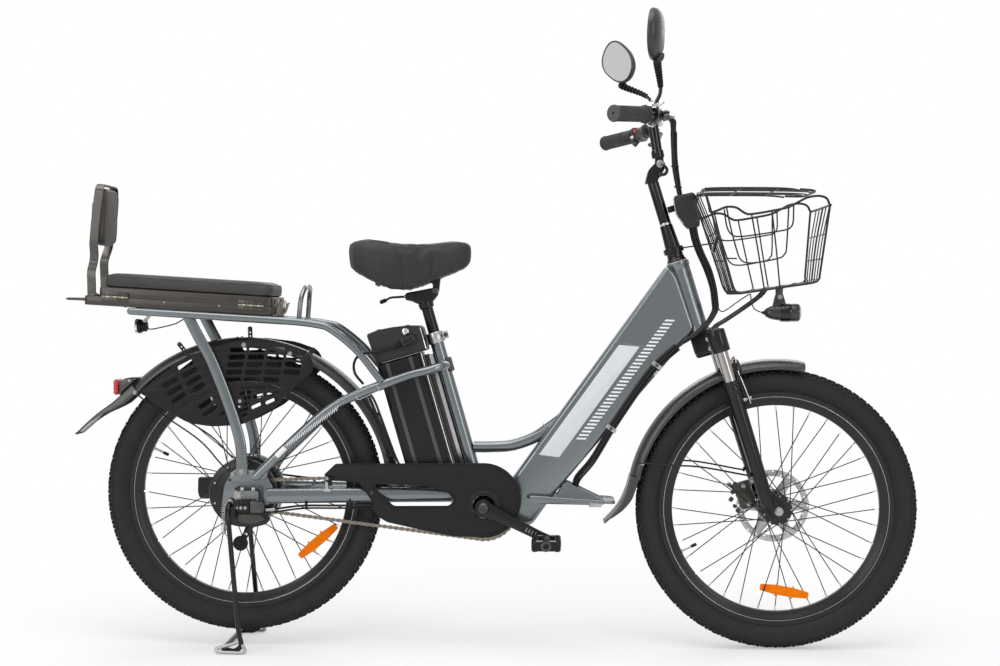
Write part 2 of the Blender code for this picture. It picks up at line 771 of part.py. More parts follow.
def fork_lowers():
    pieces = []
    bores = []
    for side in (-1, 1):
        y = side * FORK_HALF
        pieces.append(turned(solid_profile([
            (LOWER_R + 0.0015, 0.0), (LOWER_R + 0.0015, -0.018), (LOWER_R, -0.020),
            (LOWER_R - 0.002, LOWERS_BOTTOM - LOWERS_TOP + 0.02),
            (0.0100, LOWERS_BOTTOM - LOWERS_TOP),
        ]), 14, steering_frame(LOWERS_TOP, FORK_OFFSET, y)))
        bores.append(pin(
            at_steering(LOWERS_TOP + 0.01, FORK_OFFSET, y),
            at_steering(LOWERS_TOP - STANCHION_INSIDE - FORK_TRAVEL - 0.006, FORK_OFFSET, y),
            STANCHION_R + GAP, 12))
        plug = side * (FORK_HALF - 0.0030)
        ends = [
            at_steering(LOWERS_BOTTOM + 0.040, FORK_OFFSET - 0.008),
            at_steering(LOWERS_BOTTOM + 0.040, FORK_OFFSET + 0.010),
            at_steering(AXLE_UP + 0.016, AXLE_AHEAD + 0.016),
            at_steering(AXLE_UP - 0.004, AXLE_AHEAD + 0.016),
            at_steering(AXLE_UP - 0.016, AXLE_AHEAD + 0.002),
            at_steering(AXLE_UP - 0.012, AXLE_AHEAD - 0.014),
        ]
        hole = circle((FRONT_X, WHEEL_R), bore_radius(AXLE_R, 10), 10)
        pieces.append(plate([(p.x, p.z) for p in ends], 0.0060, plug, [hole]))
    arch_up = AXLE_UP + FRONT_FENDER_R + ARCH_R + GAP
    arch = [
        at_steering(LOWERS_TOP - 0.012, FORK_OFFSET + 0.010, -FORK_HALF),
        at_steering(LOWERS_TOP + 0.014, FORK_OFFSET + 0.024, -FORK_HALF + 0.006),
        at_steering(arch_up - 0.003, AXLE_AHEAD + 0.008, -0.034),
        at_steering(arch_up, AXLE_AHEAD + 0.008, -0.012),
    ]
    arch += [Vector((p.x, -p.y, p.z)) for p in reversed(arch)]
    body = fuse(pieces[0], *pieces[1:], tube(arch, ARCH_R, 8))
    return cut(body, *bores)


def front_caliper():
    slot = ROTOR_THICK / 2 + 0.0012
    body = block((0.0340, 0.0215, 0.062), (0.5690, ROTOR_FRONT_Y + 0.00125, 0.332), 0.004,
                 Matrix.Rotation(-STEER_TILT, 4, "Y"))
    arm = pin((0.5690, ROTOR_FRONT_Y + 0.008, 0.350), (0.5540, ROTOR_FRONT_Y + 0.008, 0.372),
              0.006, 8)
    lug = block((0.010, 0.006, 0.040),
                Vector((0.5690, ROTOR_FRONT_Y + 0.0090, 0.332)) + STEER_FRONT * 0.0131, 0.0,
                Matrix.Rotation(-STEER_TILT, 4, "Y"))
    body = fuse(body, arm, lug)
    return cut(body, block((0.060, 2 * slot, 0.090), (0.5800, ROTOR_FRONT_Y, 0.322)))


def front_fender():
    shell = fender_shell(FRONT_AXLE, FRONT_FENDER_R, 79, 169)
    wall = FENDER_WALL
    flap = fender_flap(
        FRONT_AXLE, FRONT_FENDER_R, FENDER_HALF - 0.0010,
        [(-0.0005, 166), (0.003, 172.6), (0.018, 179.5), (0.050, 184.5), (-0.019, 181),
         (-0.024, 173), (-0.020, 166)],
        [(-wall, 160), (0.003 - wall, 172.6), (0.018 - wall, 180), (0.052, 188),
         (-0.045, 190), (-0.045, 160)])
    stays = []
    reach = at_steering(AXLE_UP + 0.093, FORK_OFFSET - LOWER_R + 0.0022 - FENDER_WIRE_R)
    hold = polar(FRONT_AXLE, FRONT_FENDER_R - 0.0185, 161)
    for side in (-1, 1):
        stays.append(tube([
            Vector((hold.x, side * (FENDER_HALF - 0.001), hold.y)),
            Vector((0.3600, side * 0.0480, 0.4060)),
            Vector((0.4400, side * FORK_HALF, 0.4020)),
            Vector((reach.x, side * FORK_HALF, reach.z)),
        ], FENDER_WIRE_R, 6))
    return fuse(shell, flap, *stays)


def fender_shell(centre, radius, start, end):
    """A mudguard swept round the axle, with angles in degrees from ahead towards the top."""
    outer = [
        (radius, 0.0), (radius - 0.0030, 0.0190), (radius - 0.0120, FENDER_HALF - 0.0030),
        (radius - 0.0220, FENDER_HALF),
    ]
    inner = [
        (radius - 0.0220, FENDER_HALF - FENDER_WALL),
        (radius - 0.0130, FENDER_HALF - 0.0030 - FENDER_WALL),
        (radius - FENDER_WALL - 0.0030, 0.0180), (radius - FENDER_WALL, 0.0),
    ]
    profile = (
        [(r, -y) for r, y in reversed(outer[1:])] + outer
        + inner + [(r, -y) for r, y in reversed(inner[:-1])]
    )
    shape = bmesh.new()
    ring = [shape.verts.new((r, 0, h)) for r, h in profile]
    for a, b in zip(ring, ring[1:] + ring[:1]):
        shape.edges.new((a, b))
    bmesh.ops.contextual_create(shape, geom=shape.edges[:])
    steps = max(6, round((end - start) / 8))
    swept = bmesh.ops.spin(
        shape, geom=shape.faces[:] + shape.edges[:] + shape.verts[:], cent=(0, 0, 0),
        axis=(0, 0, 1), angle=math.radians(end - start), steps=steps,
    )
    assert swept["geom_last"]
    turn = Matrix.Rotation(math.radians(-end), 4, "Z")
    return place(from_bmesh(shape), wheel_frame(centre) @ turn)


def polar(centre, radius, degrees):
    angle = math.radians(degrees)
    return Vector((centre.x + radius * math.cos(angle), centre.z + radius * math.sin(angle)))


def fender_flap(centre, radius, half, outline, inside):
    """The flared end of a mudguard: side walls and a back, open towards the tyre.

    Each point is how far out from the mudguard's radius and at what angle it lies.
    """
    solid = plate([polar(centre, radius + out, angle) for out, angle in outline],
                  2 * half, 0.0)
    hollow = [polar(centre, radius + out, angle) for out, angle in inside]
    return cut(solid, plate(hollow, 2 * (half - FENDER_WALL), 0.0))


# Cockpit

TILT = Vector((TILT_X, 0, TILT_Z))
STEM_TOP = 0.197


def stem():
    profile = solid_profile([
        (STEM_R, STEM_TOP), (STEM_R, 0.088), (0.0140, 0.080), (0.0185, 0.010),
        (0.0215, 0.006), (0.0215, GAP),
    ])
    body = turned(profile, 14, steering_frame())
    collar = turned([(0.0185, 0.034), (0.0185, 0.018), (0.014, 0.018), (0.014, 0.034)],
                    16, steering_frame())
    head = at_steering(STEM_TOP, 0)
    cheek = [
        (head.x - 0.0135, head.z - 0.018), (head.x + 0.0120, head.z - 0.014),
        (TILT_X + 0.0100, TILT_Z - 0.012), (TILT_X + 0.0120, TILT_Z + 0.004),
        (TILT_X - 0.0020, TILT_Z + 0.012), (head.x - 0.0060, head.z + 0.012),
    ]
    bracket = plate(cheek, 0.040, 0.0)
    slot = block((0.060, TILT_TONGUE + 2 * GAP, 0.050), (TILT_X, 0, TILT_Z + 0.025))
    turn = along_y(TILT, -TILT_TONGUE / 2 - GAP, TILT_TONGUE / 2 + GAP, 0.0125)
    lever = pin((TILT_X, -0.0285, TILT_Z), (TILT_X, -0.0190, TILT_Z), 0.0085, 12)
    bracket = cut(bracket, slot, turn)
    return fuse(body, collar, bracket, lever)


def bar_point(side, share):
    """A point on the handlebar's centre line: share 0 is the middle and 1 the grip's end."""
    route = [(0.0, 0.0, 0.0), (0.30, 0.004, -0.002), (0.52, -0.002, -0.006),
             (0.68, -0.021, -0.011), (1.0, -BAR_SWEEP, -BAR_DROP)]
    for (a, xa, za), (b, xb, zb) in zip(route, route[1:]):
        if share <= b:
            t = (share - a) / (b - a)
            return Vector((BAR_X + xa + (xb - xa) * t, side * BAR_HALF * share,
                           BAR_Z + za + (zb - za) * t))
    return Vector((BAR_X - BAR_SWEEP, side * BAR_HALF, BAR_Z - BAR_DROP))


def grip_direction(side):
    return (bar_point(side, 1.0) - bar_point(side, 0.9)).normalized()


def grip_start(side):
    return bar_point(side, 1.0) - grip_direction(side) * (GRIP_LENGTH - 0.003)


def grip(side, bore=True):
    ribs = [(GRIP_R + 0.0035, 0.0), (GRIP_R + 0.0035, 0.004)]
    ribs += [(GRIP_R - 0.0008, 0.008), (GRIP_R + 0.0006, 0.040), (GRIP_R - 0.0004, 0.075)]
    ribs += [(GRIP_R, GRIP_LENGTH - 0.003), (GRIP_R - 0.003, GRIP_LENGTH)]
    if bore:
        tip = GRIP_LENGTH - 0.0025
        profile = ribs + [(0.0, GRIP_LENGTH), (0.0, tip), (GRIP_BORE, tip), (GRIP_BORE, 0.0)]
    else:
        profile = solid_profile(ribs)
    frame = facing(grip_start(side), grip_direction(side))
    return turned(profile[::-1], 12, frame)


def lever_pivot(side):
    return bar_point(side, 0.56) + Vector((0.026, 0, -0.002))


def perch(side):
    """The clamp with the brake lever's pivot ears, and the mirror's arm."""
    on_bar = bar_point(side, 0.56)
    along = (bar_point(side, 0.60) - bar_point(side, 0.52)).normalized()
    clamp = pin(on_bar - along * 0.011, on_bar + along * 0.011, BAR_R + 0.0055, 10)
    hinge = lever_pivot(side)
    ear = block((0.022, 0.016, 0.0045), hinge + Vector((-0.004, 0, 0.0063)))
    low_ear = block((0.022, 0.016, 0.0045), hinge + Vector((-0.004, 0, -0.0063)))
    return [clamp, ear, low_ear]


def mirror_centre(side):
    return Vector((0.340, -0.300, 1.297)) if side < 0 else Vector((0.292, 0.300, 1.330))


def mirror_ball(side):
    return mirror_centre(side) + Vector((0.0100, side * 0.002, -MIRROR_HEIGHT / 2 - 0.002))


def mirror_arm(side):
    start = bar_point(side, 0.47)
    ball = mirror_ball(side)
    knee = Vector((start.x + 0.006, start.y + side * 0.060, ball.z - 0.045))
    rise = start + Vector((0, 0, 0.024))
    clamp = pin(start - Vector((0, 0.009, 0)), start + Vector((0, 0.009, 0)), BAR_R + 0.004, 8)
    end = ball - (ball - knee).normalized() * (MIRROR_BALL_R + GAP)
    return [clamp, tube(curve_through([start, rise, knee, end], 2), 0.0045, 6)]


def handlebar():
    points = []
    for side in (-1, 1):
        half = [bar_point(side, share) for share in (1.0, 0.80, 0.68, 0.60, 0.52, 0.30)]
        points += half if side < 0 else half[::-1]
    points[0] = bar_point(-1, 1.0) - grip_direction(-1) * 0.004
    bar = tube(points, BAR_R, 8)
    clamp = pin((BAR_X, -0.020, BAR_Z), (BAR_X, 0.020, BAR_Z), BAR_R + 0.0065, 12)
    post = pin(TILT.lerp(Vector((BAR_X, 0, BAR_Z)), 0.16), (BAR_X, 0, BAR_Z), 0.0110, 12)
    tongue = block((0.020, TILT_TONGUE, 0.034), TILT + Vector((-0.001, 0, 0.014)), 0.002)
    pieces = [clamp, post, tongue, grip(1, bore=False)]
    for side in (-1, 1):
        pieces += perch(side) + mirror_arm(side)
    switch = grip_start(1) - grip_direction(1) * 0.012
    pieces.append(block((0.034, 0.030, 0.030), switch, 0.004, grip_turn(1)))
    return fuse(bar, *pieces)


def grip_turn(side):
    return grip_direction(side).to_track_quat("Y", "Z").to_matrix().to_4x4()


def brake_lever(side):
    hinge = lever_pivot(side)
    points = [
        hinge, hinge + Vector((0.0100, side * 0.022, -0.001)),
        hinge + Vector((0.0080, side * 0.056, -0.012)), hinge + Vector((0.0020, side * 0.092, -0.022)),
        hinge + Vector((-0.0060, side * 0.118, -0.026)),
    ]
    blade = place_flat(tube(curve_through(points, 2), 0.0058, 8), hinge.z, 0.62)
    tip = Vector((points[-1].x, points[-1].y, hinge.z + 0.62 * (points[-1].z - hinge.z)))
    knob = pin(tip + Vector((0, 0, -0.0055)), tip + Vector((0, 0, 0.0055)), 0.0075, 10)
    boss = pin(hinge + Vector((0, 0, -0.0037)), hinge + Vector((0, 0, 0.0037)), 0.0075, 10)
    return fuse(blade, knob, boss)


def place_flat(obj, height, share):
    """Flattens a lever's blade towards this height."""
    shift = Matrix.Translation((0, 0, height))
    return place(obj, shift @ Matrix.Scale(share, 4, (0, 0, 1)) @ shift.inverted())


def mirror(side):
    """A domed shell with a flat glass face towards the rider."""
    centre = mirror_centre(side)
    look = Vector((-1.0, -side * (0.20 if side < 0 else 0.75), 0.05)).normalized()
    profile = [(0.0, 0.0), (0.94, 0.0), (1.0, -0.10), (0.93, -0.55), (0.60, -0.88), (0.0, -1.0)]
    shell = turned([(r, h) for r, h in profile], 20, Matrix.Identity(4))
    size = Matrix.Diagonal((MIRROR_WIDTH / 2, MIRROR_HEIGHT / 2, MIRROR_DEPTH, 1))
    turn = look.to_track_quat("Z", "Y").to_matrix().to_4x4()
    place(shell, Matrix.Translation(centre) @ turn @ size)
    ball = mirror_ball(side)
    shape = bmesh.new()
    bmesh.ops.create_uvsphere(shape, u_segments=8, v_segments=6, radius=MIRROR_BALL_R)
    knuckle = place(from_bmesh(shape), Matrix.Translation(ball))
    return fuse(shell, knuckle)


# Frame tubes

def band(path, half):
    """The outline, in side view, of a strip this far to each side of the path."""
    path = [Vector(p) for p in path]
    left, right = [], []
    for k, point in enumerate(path):
        along = path[min(k + 1, len(path) - 1)] - path[max(k - 1, 0)]
        across = Vector((-along.y, along.x)).normalized() * half
        left.append(point + across)
        right.append(point - across)
    return left + right[::-1]


DOWN_OUTLINE = [
    (0.400, 0.838), (0.448, 0.697), (0.141, 0.335), (0.095, 0.270), (0.045, 0.262),
    (0.005, 0.290), (0.000, 0.330), (0.052, 0.372),
]
SEAT_BASE = Vector((-0.013, 0, 0.314))
SEAT_TUBE_R = 0.0150
SEAT_TUBE_TOP = 0.391
POST_R = 0.0127
BATTERY_BACK = -0.139
BATTERY_FACE = -0.036


def at_seat(up, ahead, side=0.0):
    """A place along the seat tube's axis, ahead of it and sideways."""
    return SEAT_BASE + SEAT_UP * up + SEAT_FRONT * ahead + Vector((0, side, 0))


def seat_plate(outline, thickness, bevel=0.0):
    """A plate whose outline is given as (ahead, up) along the seat tube."""
    points = [at_seat(up, ahead) for ahead, up in outline]
    return plate([(p.x, p.z) for p in points], thickness, 0.0, bevel=bevel)


def shell_cutter():
    """Room for the bottom bracket shell."""
    return along_y(BB, -0.1, 0.1, BB_R + GAP, 24)


def down_tube():
    body = plate(DOWN_OUTLINE, 2 * DOWN_HALF, 0.0, bevel=0.010)
    step = tube(curve_through([
        (-0.045, 0, 0.440), (0.0, 0, 0.440), (0.050, 0, 0.443), (0.100, 0, 0.462),
        (0.130, 0, 0.480), (0.165, 0, 0.506),
    ], 1), 0.0125, 10)
    head = pin(HEAD_BOTTOM - STEER_UP * 0.03, HEAD_TOP + STEER_UP * 0.03,
               HEAD_R + 0.0015 + GAP, 24)
    seat = pin(at_seat(0, 0), at_seat(0.3, 0), SEAT_TUBE_R + GAP, 20)
    rear = block((0.04, 0.06, 0.06), (-0.066, 0, 0.44), turn=Matrix.Rotation(-SEAT_TILT, 4, "Y"))
    return cut(fuse(body, step), head, seat, rear, shell_cutter())


def seat_stay_path(side):
    return [
        Vector((-0.501, side * 0.0818, 0.383)), Vector((-0.438, side * 0.0818, 0.444)),
        Vector((-0.349, side * 0.0812, 0.524)), Vector((-0.236, side * 0.0800, 0.577)),
        Vector((-0.175, side * 0.0700, 0.600)), Vector((-0.132, side * 0.0600, 0.611)),
        Vector((-0.105, side * 0.0500, 0.619)), Vector((-0.094, side * 0.0250, 0.621)),
        Vector((-0.1005, side * 0.004, 0.621)),
    ]


def seat_tube():
    tube_body = pin(at_seat(0.0, 0), at_seat(SEAT_TUBE_TOP, 0), SEAT_TUBE_R, 20)
    rail = seat_plate([(-0.0355, 0.095), (-0.0140, 0.095), (-0.0140, 0.350), (-0.0355, 0.350)],
                      0.022)
    stays = [tube(seat_stay_path(side), STAY_R, 8) for side in (-1, 1)]
    bore = pin(at_seat(0.215, 0), at_seat(0.5, 0), POST_R + GAP, 20)
    return cut(fuse(tube_body, rail, *stays), bore, shell_cutter())


def chain_stays():
    pieces = []
    for side in (-1, 1):
        stay = tube(curve_through([
            (-0.018, side * 0.0270, 0.338), (-0.130, side * 0.0365, 0.338),
            (-0.250, side * 0.0470, 0.338), (-0.360, side * 0.0610, 0.338),
            (-0.478, side * 0.0750, 0.338),
        ], 1), 0.0085, 8)
        lift = Matrix.Translation((0, 0, 0.338))
        pieces.append(place(stay, lift @ Matrix.Scale(2.0, 4, (0, 0, 1)) @ lift.inverted()))
        pieces.append(plate(
            [(-0.580, 0.312), (-0.574, 0.360), (-0.552, 0.395), (-0.490, 0.392),
             (-0.470, 0.355), (-0.472, 0.322)], DROPOUT_THICK, side * DROPOUT_Y))
    shell = along_y(BB, -BB_HALF, BB_HALF, BB_R, 24)
    bridge = along_y(Vector((-0.150, 0, 0.338)), -0.036, 0.036, 0.008, 10)
    bores = [
        along_y(BB, -0.05, 0.05, bore_radius(AXLE_SHAFT_R, 12)),
        along_y(REAR_AXLE, -0.09, 0.09, bore_radius(REAR_AXLE_R, 10), 10),
        along_y(STAND_PIVOT, -0.09, 0.09, bore_radius(STAND_PIN_R, 8), 8),
    ]
    return cut(fuse(shell, bridge, *pieces), *bores)


STAND_PIVOT = Vector((-0.560, 0, 0.325))
STAND_PIN_R = 0.0040
STAND_R = 0.0055


def center_stand():
    half = [
        (-0.560, 0.0770, 0.325), (-0.5605, 0.0920, 0.318), (-0.559, 0.1050, 0.295),
        (-0.556, 0.1080, 0.265), (-0.537, 0.1080, 0.052), (-0.531, 0.1100, 0.020),
        (-0.545, 0.1080, STAND_R - 0.0010), (-0.572, 0.0950, STAND_R - 0.0010),
        (-0.574, 0.0, STAND_R - 0.0010),
    ]
    left = [Vector(p) for p in half]
    right = [Vector((p.x, -p.y, p.z)) for p in left[-2::-1]]
    legs = tube(left + right, STAND_R, 8)
    pins = [
        along_y(STAND_PIVOT, side * 0.0668, side * 0.0800, STAND_PIN_R, 8) for side in (-1, 1)
    ]
    ground = block((0.2, 0.4, 0.02), (-0.55, 0, -0.01))
    return cut(fuse(legs, *pins), ground)


def stand_spring():
    turns = 7
    steps = 5
    low, high = 0.256, 0.318
    points = [
        Vector((-0.5702 + 0.0048 * math.cos(2 * math.pi * k / steps),
                -0.1005 + 0.0048 * math.sin(2 * math.pi * k / steps),
                low + (high - low) * k / (turns * steps)))
        for k in range(turns * steps + 1)
    ]
    return tube(points, 0.0012, 4)


# Carrier and rear mudguard

RACK_RISE = math.radians(3.55)
RACK_FRONT_Z = 0.717


def rack_z(x):
    """The height of the carrier's rails, which fall towards the saddle."""
    return RACK_FRONT_Z + (-0.407 - x) * math.tan(RACK_RISE)


def rear_rack():
    pieces = []
    for side in (-1, 1):
        pieces.append(tube(curve_through([
            (-0.770, side * RACK_Y, rack_z(-0.770)), (-0.420, side * RACK_Y, rack_z(-0.420)),
            (-0.372, side * 0.084, 0.7130), (-0.340, side * 0.083, 0.702),
            (-0.284, side * 0.081, 0.656), (-0.228, side * 0.080, 0.586),
        ], 1), RACK_R, 8))
        leg = [(-0.652, 0.732), (-0.600, 0.632), (-0.561, 0.532), (-0.537, 0.458), (-0.535, 0.386)]
        pieces.append(plate(band(leg, 0.012), 0.0100, side * 0.0768))
    for x, radius in ((-0.762, CROSS_R), (-0.600, RACK_R), (-0.412, CROSS_R)):
        pieces.append(along_y(Vector((x, 0, rack_z(x))), -RACK_Y, RACK_Y, radius, 8))
    pieces.append(tube(curve_through([
        (-0.412, -0.060, 0.716), (-0.4080, -0.056, 0.765), (-0.4020, -0.030, 0.791),
        (-0.4015, 0.0, 0.795), (-0.4020, 0.030, 0.791), (-0.4080, 0.056, 0.765),
        (-0.412, 0.060, 0.716),
    ], 1), 0.0055, 6))
    whole = fuse(pieces[0], *pieces[1:])
    stays = [tube(seat_stay_path(side)[:5], STAY_R + GAP, 8) for side in (-1, 1)]
    ends = [block((0.05, 0.05, 0.03), (-0.222, side * 0.080, 0.564)) for side in (-1, 1)]
    return cut(whole, *stays, *ends)


def footboard():
    width, depth = 0.050, 0.193
    corner = 0.016
    outline = []
    for x, y, start in ((depth / 2, width, 0), (-depth / 2, width, 90),
                        (-depth / 2, -width, 180), (depth / 2, -width, 270)):
        centre = (x - math.copysign(corner, x), y - math.copysign(corner, y))
        outline += list(arc(centre, corner, start, start + 90, 4))
    tilt = Matrix.Rotation(math.radians(3.7), 4, "Y")
    board = place(flat(outline, 0.0060), Matrix.Translation((0.1805, 0, 0.3290)) @ tilt)
    skirt = plate([(0.090, 0.336), (0.262, 0.325), (0.245, 0.317), (0.100, 0.320)], 0.090, 0.0)
    hollow = plate([(0.060, 0.3290), (0.300, 0.3150), (0.300, 0.300), (0.060, 0.300)], 0.084, 0.0)
    gussets = [
        plate([(0.146, 0.331), (0.165, 0.3635), (0.172, 0.366), (0.254, 0.326)], 0.0040,
              side * 0.0230)
        for side in (-1, 1)
    ]
    web = plate([(0.160, 0.357), (0.168, 0.3635), (0.172, 0.366), (0.180, 0.362), (0.176, 0.357)],
                0.046, 0.0)
    tab = block((0.028, 0.030, 0.020), (0.234, 0, 0.3190))
    low, high = DOWN_HALF + GAP, 0.0004
    passage = plate(grown(DOWN_OUTLINE, high), 2 * low, 0.0)
    whole = fuse(board, cut(skirt, hollow), web, tab, *gussets)
    return cut(whole, passage)


def grown(outline, gap):
    """The outline moved outwards by the gap. Its points run clockwise in side view."""
    points = [Vector(p) for p in outline]
    moved = []
    for k, point in enumerate(points):
        before = (point - points[k - 1]).normalized()
        after = (points[(k + 1) % len(points)] - point).normalized()
        first = Vector((-before.y, before.x))
        second = Vector((-after.y, after.x))
        middle = (first + second).normalized()
        moved.append(point + middle * gap / max(0.3, middle.dot(first)))
    return moved


def rear_fender():
    shell = fender_shell(REAR_AXLE, FENDER_R, 10, 139)
    wall = FENDER_WALL
    flap = fender_flap(
        REAR_AXLE, FENDER_R, FENDER_HALF - 0.0010,
        [(-0.0005, 136), (0.006, 143), (0.024, 152), (0.054, 161.2), (0.010, 161),
         (-0.035, 153.3), (-0.024, 143), (-0.020, 136)],
        [(-wall, 130), (0.006 - wall, 143), (0.024 - wall, 152.4), (0.060, 165),
         (-0.070, 170), (-0.060, 130)])
    hold = polar(REAR_AXLE, FENDER_R - 0.0185, 137)
    stays = [
        tube([
            Vector((hold.x, side * (FENDER_HALF - 0.001), hold.y)),
            Vector((-0.716, side * 0.0440, 0.512)), Vector((-0.632, side * 0.0560, 0.457)),
            Vector((-0.560, side * 0.0639, 0.385)),
        ], FENDER_WIRE_R, 6)
        for side in (-1, 1)
    ]
    strap = plate([(-0.2062, 0.4010), (-0.2010, 0.3990), (-0.190, 0.3560), (-0.158, 0.3440),
                   (-0.157, 0.3300), (-0.195, 0.3480)], 0.020, 0.0)
    strap = cut(strap, along_y(Vector((-0.150, 0, 0.338)), -0.05, 0.05, 0.008 + GAP, 10))
    return fuse(shell, flap, strap, *stays)


def tail_lamp():
    outline = [polar(REAR_AXLE, r, a)
               for r, a in ((0.3448, 132.5), (0.3434, 136), (0.3477, 141), (0.3491, 142.6))]
    top = outline[0].y
    return plate([*outline, (-0.820, top)], 0.050, 0.0, bevel=0.002)


def tail_lamp_lens():
    return block((0.0150, 0.044, 0.035), (-0.8205 - 0.0075, 0, 0.5712), 0.003)


COAT_OUTLINE = [
    (-0.759, 0.563), (-0.664, 0.636), (-0.563, 0.671), (-0.517, 0.678), (-0.441, 0.669),
    (-0.388, 0.650), (-0.377, 0.612), (-0.413, 0.584), (-0.465, 0.531), (-0.535, 0.494),
    (-0.603, 0.490), (-0.654, 0.498), (-0.711, 0.531), (-0.746, 0.555),
]


def inside(outline, point):
    found = False
    for (x1, z1), (x2, z2) in zip(outline, outline[1:] + outline[:1]):
        if (z1 > point[1]) != (z2 > point[1]):
            if point[0] < x1 + (point[1] - z1) * (x2 - x1) / (z2 - z1):
                found = not found
    return found


def coat_guard(side):
    """An open net of six-sided holes between a solid edge, on studs from the mudguard."""
    holes = []
    step_x, step_z, margin = 0.050, 0.034, 0.006
    for row in range(7):
        z = 0.500 + row * step_z
        for col in range(10):
            x = -0.760 + col * step_x + (row % 2) * step_x / 2
            half_x, half_z = step_x / 2 - 0.0030, step_z * 0.62
            hole = [
                (x - half_x, z - half_z * 0.42), (x - half_x, z + half_z * 0.42),
                (x, z + half_z), (x + half_x, z + half_z * 0.42),
                (x + half_x, z - half_z * 0.42), (x, z - half_z),
            ]
            room = [(hx + math.copysign(margin, hx - x), hz + math.copysign(margin, hz - z))
                    for hx, hz in hole]
            if all(inside(COAT_OUTLINE, corner) for corner in room):
                holes.append(hole)
    y = side * 0.0700
    net = plate(COAT_OUTLINE, 0.0020, y, holes)
    studs = []
    for angle in (70, 88):
        at = polar(REAR_AXLE, 0.328, angle)
        studs.append(along_y(Vector((at.x, 0, at.y)), y, side * (FENDER_HALF + GAP), 0.0040, 8))
    return fuse(net, *studs)


# Box, cushion and backrest

BOX_LENGTH = 0.414
LEDGE_LENGTH = 0.031
TRAY_HEIGHT = 0.020
LID_LOW = 0.0203
LID_HIGH = 0.0410
CUSHION_LOW = 0.0413
CUSHION_HIGH = 0.069


def box_frame():
    x = -0.673
    z = rack_z(x) + RACK_R / math.cos(RACK_RISE) + GAP
    return Matrix.Translation((x, 0, z)) @ Matrix.Rotation(RACK_RISE, 4, "Y")


def rounded(length, width, corner, steps=3):
    outline = []
    for x, y, start in ((length / 2, width / 2, 0), (-length / 2, width / 2, 90),
                        (-length / 2, -width / 2, 180), (length / 2, -width / 2, 270)):
        centre = (x - math.copysign(corner, x), y - math.copysign(corner, y))
        outline += list(arc(centre, corner, start, start + 90, steps))
    return outline


def slab(length, width, corner, low, high, ahead=0.0):
    """A plate with rounded corners in the box's own frame, moved ahead by this much."""
    outline = rounded(length, width, corner) if corner else [
        (x * length / 2, y * width / 2) for x, y in ((1, 1), (-1, 1), (-1, -1), (1, -1))]
    shape = flat(outline, high - low)
    return place(shape, box_frame() @ Matrix.Translation((ahead, 0, (low + high) / 2)))


def seat_box():
    tray = slab(BOX_LENGTH, 2 * BOX_HALF, 0.012, 0.0, TRAY_HEIGHT)
    inner = slab(BOX_LENGTH - 2 * BOX_WALL, 2 * (BOX_HALF - BOX_WALL), 0.009, BOX_WALL, 0.05)
    tray = cut(tray, inner)
    ledge = slab(LEDGE_LENGTH, 2 * BOX_HALF - 0.004, 0.0, TRAY_HEIGHT - BOX_WALL, TRAY_HEIGHT,
                 (LEDGE_LENGTH - BOX_LENGTH) / 2 + 0.002)
    handle = tube(curve_through([
        (-0.8750, 0.072, 0.7655), (-0.905, 0.070, 0.7665), (-0.928, 0.062, 0.767),
        (-0.9330, 0.044, 0.767), (-0.9330, -0.044, 0.767), (-0.928, -0.062, 0.767),
        (-0.905, -0.070, 0.7665), (-0.8750, -0.072, 0.7655),
    ], 2), 0.0055, 8)
    keep = cut(handle, slab(BOX_LENGTH - 0.004, 0.158, 0.009, -0.02, 0.05))
    return fuse(tray, ledge, keep)


def seat_box_lid():
    length = BOX_LENGTH - 0.006 - LEDGE_LENGTH + 0.003
    ahead = (LEDGE_LENGTH - 0.003) / 2
    lid = slab(length, 2 * BOX_HALF - 0.004, 0.012, LID_LOW, LID_HIGH, ahead)
    inner = slab(length - 0.008, 2 * BOX_HALF - 0.012, 0.009, 0.0, LID_HIGH - 0.004, ahead)
    return cut(lid, inner)


def seat_cushion():
    front, back = 0.2075, -0.1750
    length = front - back
    shape = bmesh.new()
    levels = [(0.000, 0.030), (0.004, 0.018), (0.30, 0.0), (0.62, 0.006), (0.86, 0.020),
              (1.0, 0.046)]
    rings = []
    for share, inset in levels:
        outline = rounded(length - 2 * inset, 0.158 - 2 * inset, 0.045 - inset * 0.5, 4)
        z = CUSHION_LOW + (CUSHION_HIGH - CUSHION_LOW) * share
        rings.append([shape.verts.new((x + (front + back) / 2, y, z)) for x, y in outline])
    for low, high in zip(rings, rings[1:]):
        for k in range(len(low)):
            n = (k + 1) % len(low)
            shape.faces.new((low[k], low[n], high[n], high[k]))
    shape.faces.new(rings[0][::-1])
    shape.faces.new(rings[-1])
    return place(from_bmesh(shape), box_frame())


def box_latch(side):
    body = block((0.015, 0.030, 0.031), (0, 0, 0), 0.002)
    local = Matrix.Translation((BOX_LENGTH / 2 + 0.0083, side * LATCH_Y, 0.0205))
    return place(baked(body), box_frame() @ local)


BACK_PATH = [
    (-0.8706, 0.0500, 0.7680), (-0.8708, 0.0500, 0.8000), (-0.8714, 0.0490, 0.8259),
    (-0.8690, 0.0400, 0.8480), (-0.8663, 0.0440, 0.8637), (-0.8640, 0.0545, 0.8790),
    (-0.8630, 0.0585, 0.8900), (-0.8585, 0.0585, 0.9400), (-0.8524, 0.0585, 0.9887),
    (-0.8492, 0.0585, 1.0178),
]
BACK_HALF = 0.056
BACK_THICK = 0.0040


